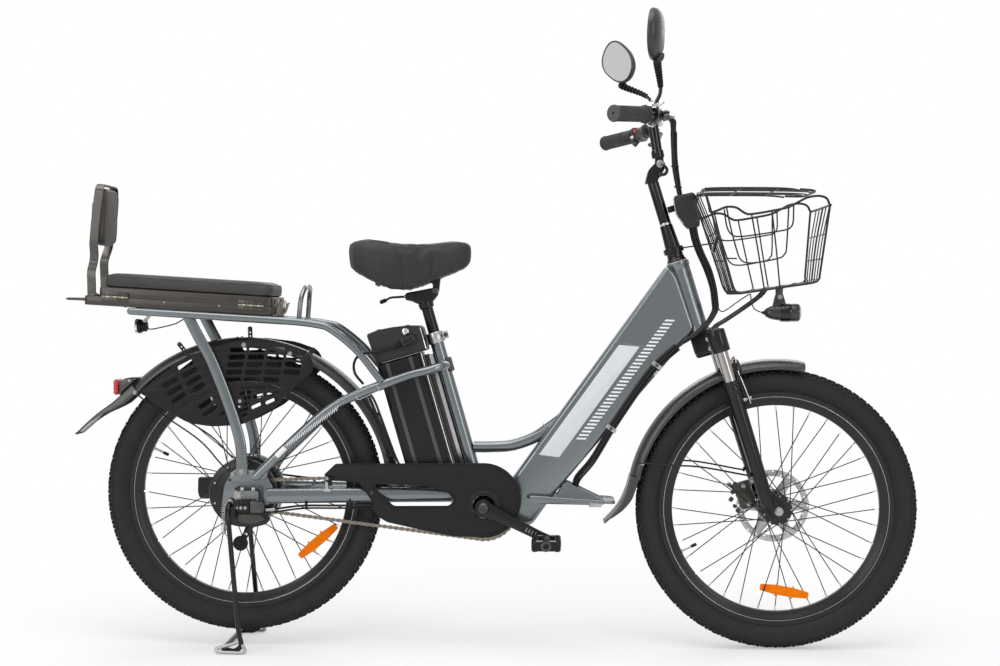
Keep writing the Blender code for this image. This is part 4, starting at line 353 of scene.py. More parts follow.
def finish(name, color, rough, metal=0.0, tint=0.12, tint_scale=18.0, grain=0.0,
           grain_scale=900.0, cells=False, coat=0.0, sheen=0.0, flake=0.0, glow=None,
           clear=0.0, spread=0.25, stretch=None, shine=0.5):
    """A Principled finish whose colour, roughness and surface vary in the object's space."""
    made = bpy.data.materials.new(name)
    made.use_nodes = True
    tree = made.node_tree
    shader = tree.nodes["Principled BSDF"]
    shader.inputs["Metallic"].default_value = metal
    shader.inputs["Specular IOR Level"].default_value = shine
    shader.inputs["Coat Weight"].default_value = coat
    shader.inputs["Coat Roughness"].default_value = 0.06
    shader.inputs["Sheen Weight"].default_value = sheen
    shader.inputs["Transmission Weight"].default_value = clear
    # An emission colour here paints a glow on a surface that is no lamp.
    if glow:
        shader.inputs["Emission Color"].default_value = (*glow[:3], 1)
        shader.inputs["Emission Strength"].default_value = glow[3]
    where = tree.nodes.new("ShaderNodeTexCoord").outputs["Object"]
    if stretch:
        mapping = tree.nodes.new("ShaderNodeMapping")
        mapping.inputs["Scale"].default_value = stretch
        tree.links.new(where, mapping.inputs["Vector"])
        where = mapping.outputs["Vector"]

    def noise(scale, detail=4.0):
        made_noise = tree.nodes.new("ShaderNodeTexNoise")
        made_noise.inputs["Scale"].default_value = scale
        made_noise.inputs["Detail"].default_value = detail
        tree.links.new(where, made_noise.inputs["Vector"])
        return made_noise.outputs["Fac"]

    def blend(factor, low, high):
        mix = tree.nodes.new("ShaderNodeMix")
        mix.data_type = "RGBA"
        tree.links.new(factor, mix.inputs["Factor"])
        for socket, value in ((mix.inputs[6], low), (mix.inputs[7], high)):
            if isinstance(value, tuple):
                socket.default_value = (*value, 1)
            else:
                tree.links.new(value, socket)
        return mix.outputs[2]

    low = tuple(c * (1 - tint) for c in color)
    high = tuple(min(1.0, c * (1 + tint) + 0.002) for c in color)
    shade = blend(noise(tint_scale), low, high)
    if flake:
        grains = tree.nodes.new("ShaderNodeTexVoronoi")
        grains.inputs["Scale"].default_value = 1400.0
        tree.links.new(where, grains.inputs["Vector"])
        bright = tree.nodes.new("ShaderNodeMapRange")
        bright.inputs["From Min"].default_value = 0.55
        bright.inputs["To Max"].default_value = flake
        tree.links.new(grains.outputs["Color"], bright.inputs["Value"])
        shade = blend(bright.outputs["Result"], shade, tuple(min(1, c * 2.2 + 0.1) for c in color))
    tree.links.new(shade, shader.inputs["Base Color"])
    wear = tree.nodes.new("ShaderNodeMapRange")
    wear.inputs["To Min"].default_value = rough * (1 - spread)
    wear.inputs["To Max"].default_value = min(1.0, rough * (1 + spread))
    tree.links.new(noise(tint_scale * 2.7, 6.0), wear.inputs["Value"])
    tree.links.new(wear.outputs["Result"], shader.inputs["Roughness"])
    if grain:
        bump = tree.nodes.new("ShaderNodeBump")
        bump.inputs["Strength"].default_value = grain
        bump.inputs["Distance"].default_value = 0.0006
        if cells:
            texture = tree.nodes.new("ShaderNodeTexVoronoi")
            texture.feature = "DISTANCE_TO_EDGE"
            texture.inputs["Scale"].default_value = grain_scale
            tree.links.new(where, texture.inputs["Vector"])
            edge = tree.nodes.new("ShaderNodeMapRange")
            edge.inputs["From Max"].default_value = 0.22
            tree.links.new(texture.outputs["Distance"], edge.inputs["Value"])
            height = edge.outputs["Result"]
        else:
            height = noise(grain_scale, 3.0)
        tree.links.new(height, bump.inputs["Height"])
        tree.links.new(bump.outputs["Normal"], shader.inputs["Normal"])
    return made


PAINT = finish("graphite_paint", (0.185, 0.207, 0.218), 0.24, 0.85, tint=0.06, coat=0.5, flake=0.08,
    grain=0.02, grain_scale=160)
BLACK = finish("gloss_black_paint", (0.006, 0.006, 0.006), 0.2, 0.0, tint=0.3, coat=0.15,
    grain=0.02, grain_scale=220, shine=0.3)
SATIN = finish("satin_dark_coat", (0.075, 0.07, 0.064), 0.32, 0.75, tint=0.2, grain=0.1,
    grain_scale=1400, shine=0.4)
PLASTIC = finish("moulded_black_plastic", (0.009, 0.009, 0.009), 0.44, tint=0.2, grain=0.18,
    grain_scale=1700, shine=0.25)
FENDER = finish("fender_plastic", (0.04, 0.039, 0.038), 0.26, tint=0.2, coat=0.2, grain=0.03,
    grain_scale=90, shine=0.45)
RUBBER = finish("tyre_rubber", (0.013, 0.012, 0.0118), 0.58, tint=0.22, tint_scale=34, grain=0.25,
    grain_scale=1300, shine=0.3)
TREAD = finish("tread_rubber", (0.022, 0.02, 0.019), 0.8, tint=0.35, tint_scale=60, grain=0.35,
    grain_scale=1600, shine=0.2)
SOFT_RUBBER = finish("soft_rubber", (0.012, 0.012, 0.012), 0.6, tint=0.2, grain=0.3,
    grain_scale=1900, shine=0.25)
HOSE = finish("cable_sheath", (0.009, 0.009, 0.009), 0.34, tint=0.2, grain=0.08, grain_scale=1500,
    shine=0.3)
CHROME = finish("chrome_plate", (0.78, 0.78, 0.8), 0.1, 1.0, tint=0.05, grain=0.02, grain_scale=300)
ALLOY = finish("brushed_alloy", (0.5, 0.5, 0.51), 0.32, 1.0, tint=0.12, grain=0.15, grain_scale=240,
    stretch=(1, 1, 9))
STEEL = finish("zinc_steel", (0.46, 0.45, 0.44), 0.3, 1.0, tint=0.18, tint_scale=70, grain=0.1,
    grain_scale=900)
DARK_STEEL = finish("dark_steel", (0.1, 0.098, 0.095), 0.38, 1.0, tint=0.25, tint_scale=70,
    grain=0.12, grain_scale=900)
BRASS = finish("brown_chain_steel", (0.3, 0.24, 0.16), 0.36, 1.0, tint=0.3, tint_scale=120,
    grain=0.1, grain_scale=900)
LEATHER = finish("grained_vinyl", (0.044, 0.04, 0.038), 0.46, tint=0.14, tint_scale=26, grain=0.4,
    grain_scale=620, cells=True, shine=0.4)
SADDLE_SKIN = finish("saddle_skin", (0.024, 0.022, 0.022), 0.46, tint=0.16, tint_scale=26,
    grain=0.4, grain_scale=760, cells=True, shine=0.38)
SHELL = finish("battery_shell_plastic", (0.008, 0.008, 0.008), 0.34, tint=0.2, grain=0.1,
    grain_scale=1500, shine=0.3)
RED = finish("red_lens", (0.55, 0.01, 0.016), 0.12, tint=0.2, coat=0.6, grain=0.5, grain_scale=420,
    cells=True)
# The amber reflectors carry a painted glow: a faint orange emission, though they are no lamp.
AMBER = finish("amber_reflector_painted_glow", (0.78, 0.17, 0.0), 0.42, tint=0.15, grain=0.5, grain_scale=700,
    cells=True, glow=(0.85, 0.2, 0.0, 0.14), shine=0.08)
WHEEL_BLACK = finish("wheel_black_paint", (0.016, 0.0155, 0.015), 0.3, 0.15, tint=0.2, grain=0.05,
    grain_scale=500, shine=0.35)
SPOKE_METAL = finish("dark_spoke_steel", (0.035, 0.034, 0.033), 0.3, 0.6, tint=0.15, grain=0.04,
    grain_scale=600)
HARD_CHROME = finish("hard_chrome", (0.42, 0.4, 0.39), 0.16, 1.0, tint=0.06, grain=0.02,
    grain_scale=300)
MIRROR = finish("mirror_glass", (0.88, 0.89, 0.9), 0.03, 1.0, tint=0.02, grain=0.005,
    grain_scale=20)
PALE = finish("pale_panel", (0.62, 0.64, 0.66), 0.34, tint=0.05, tint_scale=40, coat=0.3,
    grain=0.03, grain_scale=500)
WHITE = finish("white_print", (0.8, 0.8, 0.8), 0.4, tint=0.05, tint_scale=60, coat=0.2, grain=0.04,
    grain_scale=700)


# Wheels

def polar(centre, radius, angle, y=0.0):
    return Vector((centre.x + radius * math.cos(angle), y, centre.z + radius * math.sin(angle)))


def build_tyre(name, body, centre, replaced):
    """A smooth casing with moulded lines, and rows of knobs that stand on it."""
    half = [(0.25, 0.01), (0.252, 0.0128), (0.2568, 0.0142), (0.26, 0.0172), (0.2648, 0.0214),
        (0.271, 0.025), (0.278, 0.027), (0.285, 0.0276), (0.2886, 0.0275), (0.289, 0.0281),
        (0.29, 0.0281), (0.2904, 0.027), (0.2922, 0.0266), (0.2926, 0.0271), (0.2935, 0.027),
        (0.2938, 0.026), (0.2972, 0.0232), (0.3002, 0.0186), (0.302, 0.0128), (0.303, 0.006),]
    profile = half + [(r, -y) for r, y in reversed(half)]
    tyre = Piece()
    tyre.add(lathe(profile, wheel_frame(centre), 144, closed=True), RUBBER)
    knobs = bmesh.new()
    rows = [(0.0255, 55, 96, 0.0, 0.0036, 0.0026, 0.0024, 0.2955), (0.02, 38, 96, 0.5, 0.0042,
        0.0032, 0.004, 0.2996), (0.0128, 18, 96, 0.0, 0.0046, 0.003, 0.0043, 0.3022), (0.0058, 8,
        96, 0.5, 0.004, 0.0026, 0.0043, 0.303),]
    for y, lean, count, phase, half_round, half_wide, tall, radius in rows:
        for side in (-1, 1):
            for k in range(count):
                turn = 2 * math.pi * (k + phase + (0.25 if side > 0 else 0)) / count
                out = Vector((math.cos(turn), 0, math.sin(turn)))
                along = Vector((-math.sin(turn), 0, math.cos(turn)))
                lift = math.radians(lean)
                normal = out * math.cos(lift) + Vector((0, side * math.sin(lift), 0))
                wide = along.cross(normal)
                foot = centre + out * radius + Vector((0, side * y, 0)) - normal * 0.0012
                slant = 0.25 * side * ((k % 2) * 2 - 1)
                corners = []
                for height, taper in ((0.0, 1.0), (tall, 0.78)):
                    for u, v in ((-1, -1), (1, -1), (1, 1), (-1, 1)):
                        corners.append(knobs.verts.new(foot
                            + along * (u * half_round + slant * v * half_wide) * taper
                            + wide * v * half_wide * taper + normal * height))
                low, high = corners[:4], corners[4:]
                knobs.faces.new(high)
                for n in range(4):
                    knobs.faces.new((low[n], low[(n + 1) % 4], high[(n + 1) % 4], high[n]))
    tyre.add(knobs, TREAD)
    return tyre.done(name, body, [replaced], "rubber", angle=30)


def build_rim(name, body, centre, replaced):
    """A deep black rim with a bright alloy line along each side as a painted highlight, its spoke
    nipples and its valve.
    """
    half = [(0.2262, 0.0045), (0.2268, 0.0062), (0.23, 0.0078), (0.238, 0.0118), (0.242, 0.0148),
        (0.244, 0.0156), (0.256, 0.0158), (0.2566, 0.0154), (0.2566, 0.0143), (0.246, 0.014),
        (0.2455, 0.01), (0.244, 0.009),]
    profile = half + [(r, -y) for r, y in reversed(half)]
    wheel = Piece()
    wheel.add(lathe(profile, wheel_frame(centre), 144, closed=True), WHEEL_BLACK)
    # Painted highlight: a bright alloy ring on each side of the rim stands in for the light along
    # it.
    for side in (-1, 1):
        groove = [(0.245, side * 0.01585), (0.2454, side * 0.016), (0.2458, side * 0.01585)]
        wheel.add(lathe(groove, wheel_frame(centre), 144), ALLOY)
    valve = math.radians(205 if body == "front_wheel" else 155)
    stem_top = polar(centre, 0.2265, valve)
    stem_low = polar(centre, 0.192, valve)
    wheel.add(rod(stem_top, stem_low, 0.0027, 12, 0.0006), ALLOY)
    wheel.add(rod(polar(centre, 0.2265, valve), polar(centre, 0.2235, valve), 0.0052, 6, 0.0004),
        ALLOY)
    wheel.add(rod(polar(centre, 0.203, valve), polar(centre, 0.19, valve), 0.0036, 12, 0.0008),
        PLASTIC)
    return wheel.done(name, body, [replaced], "black_paint", angle=30)


def build_spokes(piece, centre, flange_r, flange_y, crossings):
    """Laced wire spokes with their bent heads and bright nipples."""
    count, set_over = 36, 0.0017
    step = 2 * math.pi / count
    for k in range(count):
        side = 1 if k % 2 else -1
        lean = 1 if (k // 2) % 2 else -1
        at_rim = k * step
        at_hub = at_rim + lean * crossings * 2 * step
        start = polar(centre, flange_r, at_hub, side * (flange_y + lean * set_over))
        end = polar(centre, 0.2275, at_rim, side * (0.002 + lean * set_over))
        piece.add(rod(start, end, 0.00115, 8), SPOKE_METAL)
        inwards = (start - end).normalized()
        piece.add(rod(end, end + inwards * 0.0125, 0.0019, 8, 0.0003), CHROME)
        head = Vector((0, side * lean * 0.0016, 0))
        piece.add(rod(start - head, start + head * 1.5, 0.0018, 8), STEEL)


def build_disc(piece, centre, y):
    """A drilled brake disc with open swept arms and a bolted dark carrier."""
    middle = (centre.x, centre.z)
    holes = []
    for k in range(24):
        turn = 2 * math.pi * k / 24
        r = (0.0765, 0.0725, 0.069)[k % 3]
        holes.append(circle((middle[0] + r * math.cos(turn), middle[1] + r * math.sin(turn)),
            0.0021, 12))
    for k in range(6):
        start = 60 * k
        outside = list(arc(middle, 0.0655, start + 8, start + 51, 10))
        inside = list(arc(middle, 0.037, start + 42, start + 20, 6))
        holes.append(rounded(outside + inside, 0.004, 2))
    piece.add(panel(circle(middle, 0.08, 96), 0.0019, side_view(y), holes, 0.0002), ALLOY)
    piece.add(lathe([(0.019, -0.0016), (0.026, -0.0016), (0.0275, 0.0016), (0.019, 0.0016)],
        wheel_frame(Vector((centre.x, y + 0.0022, centre.z))), 48, closed=True), DARK_STEEL)
    for k in range(6):
        at = polar(centre, 0.0225, 2 * math.pi * (k + 0.5) / 6)
        piece.add(across(at, y + 0.003, y + 0.0062, 0.003, 12), STEEL)


def build_reflector(piece, centre, radius, turn, y):
    """A long amber reflector clipped between two spokes, with ribbed ends, in an amber finish with
    a painted glow.
    """
    place = Matrix.Translation(polar(centre, radius, turn, y))
    along = Matrix.Rotation(-turn - math.radians(74), 4, "Y")
    frame_here = place @ along @ Matrix.Rotation(math.radians(90), 4, "X")
    long, mid, end = 0.0535, 0.0105, 0.0068
    outline = rounded([(long, end), (long * 0.35, mid), (-long * 0.35, mid), (-long, end),
        (-long, -end), (-long * 0.35, -mid), (long * 0.35, -mid), (long, -end)], 0.003, 3)
    piece.add(panel(outline, 0.006, frame_here, (), 0.0012, 2), AMBER)
    for side in (-1, 1):
        for k in range(7):
            u = side * (long * 0.66 + k * 0.0022)
            rib = brick((0.0009, 0.015 - abs(k) * 0.0005, 0.0072), frame_here
                @ Matrix.Translation((u, 0, 0)), 0.0002, 1)
            piece.add(rib, AMBER)
    piece.add(lathe([(0, 0.0036), (0.0042, 0.0036), (0.0048, 0.003), (0.0048, -0.003),
        (0, -0.0036)], frame_here, 20), AMBER)
    for u in (-0.018, 0.018):
        piece.add(brick((0.003, 0.029, 0.0024), frame_here @ Matrix.Translation((u, 0, 0)), 0.0006,
            1), AMBER)


def build_front_hub():
    hub = Piece()
    shell = [(0.0, -0.044), (0.014, -0.044), (0.0165, -0.0425), (0.018, -0.037), (0.019, -0.0345),
        (0.0325, -0.0318), (0.0332, -0.0308), (0.0332, -0.0292), (0.0325, -0.0284), (0.02, -0.026),
        (0.0172, -0.0225), (0.016, -0.01), (0.016, 0.01), (0.0172, 0.0225), (0.02, 0.026),
        (0.0325, 0.0284), (0.0332, 0.0292), (0.0332, 0.0308), (0.0325, 0.0318), (0.024, 0.034),
        (0.024, 0.04), (0.019, 0.043), (0.015, 0.044), (0.0, 0.044),]
    hub.add(lathe(shell, wheel_frame(FRONT_AXLE), 64), WHEEL_BLACK)
    hub.add(across(FRONT_AXLE, -0.072, 0.072, 0.0048, 24), STEEL)
    for side in (-1, 1):
        hub.add(across(FRONT_AXLE, side * 0.044, side * 0.053, 0.0095, 24), DARK_STEEL)
        hub.add(across(FRONT_AXLE, side * 0.061, side * 0.0626, 0.0095, 32), STEEL)
        hub.add(across(FRONT_AXLE, side * 0.0626, side * 0.0695, 0.0088, 6), STEEL)
    build_disc(hub, FRONT_AXLE, 0.0415)
    build_spokes(hub, FRONT_AXLE, 0.03, 0.03, 3)
    build_reflector(hub, FRONT_AXLE, 0.183, math.radians(-84), -0.006)
    hub.done("front_hub_and_spokes", "front_wheel", ["front_hub"], "black_paint")


def build_rear_hub():
    hub = Piece()
    shell = [(0.0, -0.0384), (0.02, -0.0384), (0.021, -0.038), (0.0545, -0.0378), (0.058, -0.0366),
        (0.06, -0.035), (0.07, -0.0336), (0.074, -0.0322), (0.0752, -0.03), (0.0752, -0.0242),
        (0.0742, -0.023), (0.069, -0.0222), (0.0682, -0.021), (0.0682, 0.021), (0.069, 0.0222),
        (0.0742, 0.023), (0.0752, 0.0242), (0.0752, 0.03), (0.074, 0.0322), (0.07, 0.0336),
        (0.06, 0.035), (0.0575, 0.037), (0.056, 0.0395), (0.025, 0.0418), (0.024, 0.043),
        (0.024, 0.0505), (0.0, 0.0505),]
    hub.add(lathe(shell, wheel_frame(REAR_AXLE), 96), WHEEL_BLACK)
    for side in (-1, 1):
        for k in range(9):
            at = polar(REAR_AXLE, 0.065, 2 * math.pi * k / 9)
            hub.add(across(at, side * 0.034, side * 0.0366, 0.0028, 6, 0.0003), STEEL)
    hub.add(across(REAR_AXLE, -0.0838, 0.0838, 0.0059, 24), STEEL)
    for side in (-1, 1):
        hub.add(across(REAR_AXLE, side * 0.0718, side * 0.0732, 0.0125, 32), STEEL)
        hub.add(across(REAR_AXLE, side * 0.0732, side * 0.0798, 0.01, 6), STEEL)
    build_disc(hub, REAR_AXLE, 0.052)
    build_spokes(hub, REAR_AXLE, 0.071, 0.027, 1)
    build_reflector(hub, REAR_AXLE, 0.196, math.radians(-34), -0.006)
    hub.done("rear_hub_and_spokes", "rear_wheel", ["rear_hub_motor"], "black_paint")


build_tyre("front_tyre_with_tread", "front_wheel", FRONT_AXLE, "front_tyre")
build_tyre("rear_tyre_with_tread", "rear_wheel", REAR_AXLE, "rear_tyre")
build_rim("front_rim_smooth", "front_wheel", FRONT_AXLE, "front_rim")
build_rim("rear_rim_smooth", "rear_wheel", REAR_AXLE, "rear_rim")
build_front_hub()
build_rear_hub()

# Frame

def add_bead(piece, points, radius=0.0016, cyclic=False):
    """A weld bead: a thin rippled line of the same paint."""
    line = smooth_path(points, 8) if len(points) < 14 else [Vector(p) for p in points]
    radii = [radius * (1.0 + 0.16 * math.sin(k * 2.3)) for k in range(len(line))]
    piece.add(sweep(line, radii, 8, cyclic), PAINT)


def ring_points(centre, direction, radius, steps=28):
    matrix = facing(centre, direction)
    return [matrix @ Vector((radius * math.cos(2 * math.pi * k / steps),
        radius * math.sin(2 * math.pi * k / steps), 0)) for k in range(steps)]


def add_bolt(piece, point, direction, radius, height, metal, sides=6):
    """A hexagon or round head on a washer, with a shallow socket."""
    point, direction = Vector(point), Vector(direction).normalized()
    piece.add(rod(point, point + direction * height * 0.3, radius * 1.35, 24, 0.0002), metal)
    top = height * 1.0
    profile = [(0, height * 0.25), (radius, height * 0.25), (radius, top - 0.0003),
        (radius - 0.0003, top), (radius * 0.5, top), (radius * 0.45, top - height * 0.3),
        (0, top - height * 0.3)]
    piece.add(lathe(profile, facing(point, direction), sides if sides > 5 else 12), metal)


def build_frame():
    tube = Piece()
    head = [(0.0132, 0.0), (0.024, 0.0), (0.025, -0.001), (0.025, -0.011), (0.0237, -0.0135),
        (0.0235, -0.02), (0.0235, -0.141), (0.0237, -0.1475), (0.025, -0.15), (0.025, -0.16),
        (0.024, -0.161), (0.0132, -0.161)]
    tube.add(lathe(head, leaning(HEAD_TOP, STEER_TILT), 64, closed=True), PAINT)
    tube.done("head_tube_smooth", "frame", ["head_tube"], "frame_paint")

    down = Piece()
    outline = [(0.391, 0.842), (0.412, 0.818), (0.452, 0.7), (0.436, 0.682), (0.141, 0.335),
        (0.095, 0.27), (0.045, 0.262), (0.005, 0.29), (0.0, 0.33), (0.052, 0.372)]
    body = rounded(outline, 0.012, 4)
    down.add(panel(body, 0.06, side_view(), (), 0.0105, 5), PAINT)
    step = smooth_path([(-0.034, 0, 0.44), (0.0, 0, 0.44), (0.05, 0, 0.4435), (0.1, 0, 0.461),
        (0.135, 0, 0.484), (0.165, 0, 0.506)], 8)
    down.add(sweep(step, 0.0127, 28), PAINT)
    add_bead(down, ring_points((0.128, 0, 0.4795), (0.8, 0, 0.55), 0.0137), 0.0015, True)
    light = rounded([(0.1105, 0.4255), (0.155, 0.4205), (0.3302, 0.6625), (0.285, 0.6665)], 0.0022,
        3)
    down.add(panel(light, 0.0005, side_view(-0.03005), (), 0.0001), PALE)
    for y in (-0.03005, 0.03005):
        border = rounded([(0.102, 0.43), (0.159, 0.4155), (0.34, 0.6625), (0.279, 0.672)], 0.003, 3)
        if y > 0:
            down.add(panel(light, 0.0005, side_view(y), (), 0.0001), PALE)
        down.add(sweep([(p[0], y, p[1]) for p in border], 0.00035, 6, True), PAINT)
    for side in (-1, 1):
        for k in range(34):
            z = 0.46 + k * 0.00782
            x = 0.1915 + (z - 0.46) * 0.744
            bar = [(x, z), (x + 0.0205, z - 0.001), (x + 0.0236, z + 0.0027),
                (x + 0.0031, z + 0.0037)]
            down.add(panel(bar, 0.0004, side_view(side * 0.03008), (), 0.0001), WHITE)
    for clip in ((0.2673, 0.487), (0.364, 0.606)):
        down.add(brick((0.013, 0.0052, 0.0085), Matrix.Translation((clip[0], -0.0325, clip[1]))
            @ Matrix.Rotation(math.radians(-50), 4, "Y"), 0.0016, 2), ALLOY)
    down.done("down_tube_with_panel", "frame", ["down_tube"], "frame_paint")

    seat = Piece()
    bore = [(0.013, 0.391), (0.015, 0.391), (0.0152, 0.3895), (0.015, 0.38), (0.015, 0.02),
        (0.013, 0.02)]
    seat.add(lathe(bore, leaning(SEAT_BASE, SEAT_TILT), 40, closed=True), PAINT)
    for side in (-1, 1):
        path = smooth_path([(-0.503, side * 0.0818, 0.381), (-0.438, side * 0.0818, 0.444),
            (-0.349, side * 0.0812, 0.524), (-0.29, side * 0.0808, 0.556),
            (-0.236, side * 0.08, 0.577), (-0.175, side * 0.07, 0.6), (-0.132, side * 0.06, 0.611),
            (-0.105, side * 0.048, 0.619), (-0.094, side * 0.026, 0.621),
            (-0.1, side * 0.011, 0.621),], 7)
        seat.add(sweep(path, 0.0101, 24), PAINT)
        add_bead(seat, ring_points(path[-3], path[-3] - path[-8], 0.0108, 20), 0.0013, True)
        flat_end = [(-0.52, 0.392), (-0.487, 0.398), (-0.476, 0.388), (-0.486, 0.374),
            (-0.512, 0.372)]
        seat.add(panel(rounded(flat_end, 0.006), 0.006, side_view(side * 0.0765), (), 0.0008),
            PAINT)
    add_bead(seat, ring_points(at_seat(0.318), SEAT_UP, 0.0158), 0.0014, True)
    seat.add(panel([(p.x, p.z) for p in (at_seat(0.095, -0.015), at_seat(0.095, -0.0235),
        at_seat(0.35, -0.0235), at_seat(0.35, -0.015))], 0.024, side_view(), (), 0.0008), ALLOY)
    seat.add(panel([(p.x, p.z) for p in (at_seat(0.09, -0.024), at_seat(0.09, -0.0345),
        at_seat(0.352, -0.0345), at_seat(0.352, -0.024))], 0.02, side_view(), (), 0.001), SATIN)
    for k in range(56):
        low = at_seat(0.1 + k * 0.0044, -0.029)
        for side in (-1, 1):
            seat.add(brick((0.0096, 0.0014, 0.002), leaning(low + Vector((0, side * 0.0104, 0)),
                SEAT_TILT), 0.0003, 1), DARK_STEEL)
    seat.done("seat_tube_and_stays", "frame", ["seat_tube"], "frame_paint")

    decal = Piece()
    for side in (-1, 1):
        y = side * 0.0818
        ring = []
        for u, v in rounded(rectangle(0.052, 0.0108), 0.0054, 6):
            at = Vector((-0.258 + u * 0.91 - v * 0.4, 0, 0.5635 + u * 0.415 + v * 0.91))
            depth = math.sqrt(max(0.0, 0.0102**2 - v**2))
            ring.append(Vector((at.x, side * (0.0806 + depth), at.z)))
        decal.add(sweep(ring, 0.00045, 6, True), WHITE)
        for k in range(22):
            t = k / 21
            x = -0.432 + 0.108 * t
            z = 0.4515 + 0.079 * t
            slant = [Vector((x + w * 0.003, 0, z + w * 0.0085)) for w in (-0.7, 0.0, 0.7)]
            points = []
            for w, p in zip((-0.7, 0.0, 0.7), slant):
                points.append(Vector((p.x, side * (0.0818 + math.sqrt(0.0102**2 - (0.007 * w)**2)),
                    p.z)))
            decal.add(sweep(smooth_path(points, 4), 0.0009, 6), WHITE)
        block_path = [(-0.456, y + side * 0.009, 0.4265), (-0.437, y + side * 0.009, 0.445)]
        decal.add(sweep(block_path, 0.0062, 10), WHITE)
    decal.done("stay_stripes", "frame", (), "frame_paint")

    stays = Piece()
    oval = [(0.0082 * math.cos(a), 0.0165 * math.sin(a)) for a in (2 * math.pi * k / 28
        for k in range(28))]
    for side in (-1, 1):
        path = smooth_path([(-0.02, side * 0.027, 0.338), (-0.13, side * 0.0365, 0.338),
            (-0.25, side * 0.047, 0.338), (-0.36, side * 0.061, 0.338),
            (-0.48, side * 0.0745, 0.338)], 8)
        stays.add(sweep(path, 1.0, section=oval, side=(0, 1, 0)), PAINT)
        plate_outline = rounded([(-0.581, 0.311), (-0.575, 0.36), (-0.553, 0.396), (-0.49, 0.393),
            (-0.468, 0.356), (-0.47, 0.321), (-0.52, 0.309)], 0.009, 5)
        holes = [circle((-0.542, 0.339), 0.0064, 24), circle((-0.56, 0.325), 0.0045, 16),
            circle((-0.562, 0.372), 0.003, 16)]
        stays.add(panel(plate_outline, 0.0052, side_view(side * 0.069), holes, 0.0008, 2), PAINT)
        add_bead(stays, [(-0.483, side * 0.0722, 0.3545), (-0.476, side * 0.0735, 0.338),
            (-0.483, side * 0.0722, 0.3215)])
        for at in ((-0.556, 0.385),):
            add_bolt(stays, (at[0], side * 0.0716, at[1]), (0, side, 0), 0.0036, 0.0042, STEEL)
    stays.add(lathe([(0.0155, -0.034), (0.0198, -0.034), (0.021, -0.0328), (0.021, 0.0328),
        (0.0198, 0.034), (0.0155, 0.034)], wheel_frame(BB), 48, closed=True), PAINT)
    for side in (-1, 1):
        stays.add(lathe([(0.009, side * 0.034), (0.018, side * 0.034), (0.0185, side * 0.0352),
            (0.015, side * 0.0366), (0.009, side * 0.0366)], wheel_frame(BB), 36, closed=True),
            DARK_STEEL)
    stays.add(across((-0.15, 0, 0.338), -0.036, 0.036, 0.008, 24), PAINT)
    stays.done("chain_stays_smooth", "frame", ["chain_stays"], "frame_paint")

    clamp = Piece()
    here = leaning(SEAT_BASE, SEAT_TILT)
    clamp.add(lathe([(0.0153, 0.394), (0.0183, 0.394), (0.019, 0.393), (0.019, 0.3712),
        (0.0183, 0.37), (0.0153, 0.37)], here, 40, closed=True), ALLOY)
    for side in (-1, 1):
        ear = leaning(at_seat(0.382, 0.0225, side * 0.0055), SEAT_TILT)
        clamp.add(brick((0.012, 0.0068, 0.0165), ear, 0.0018, 3), ALLOY)
    clamp.add(across(at_seat(0.382, 0.024), -0.013, 0.013, 0.003, 20), DARK_STEEL)
    add_bolt(clamp, at_seat(0.382, 0.024, -0.0092), (0, -1, 0), 0.0036, 0.005, DARK_STEEL, 24)
    clamp.done("seat_clamp_with_bolt", "frame", ["seat_clamp"], "steel")


RACK_RISE = math.radians(3.55)


def rack_z(x):
    return 0.717 + (-0.407 - x) * math.tan(RACK_RISE)


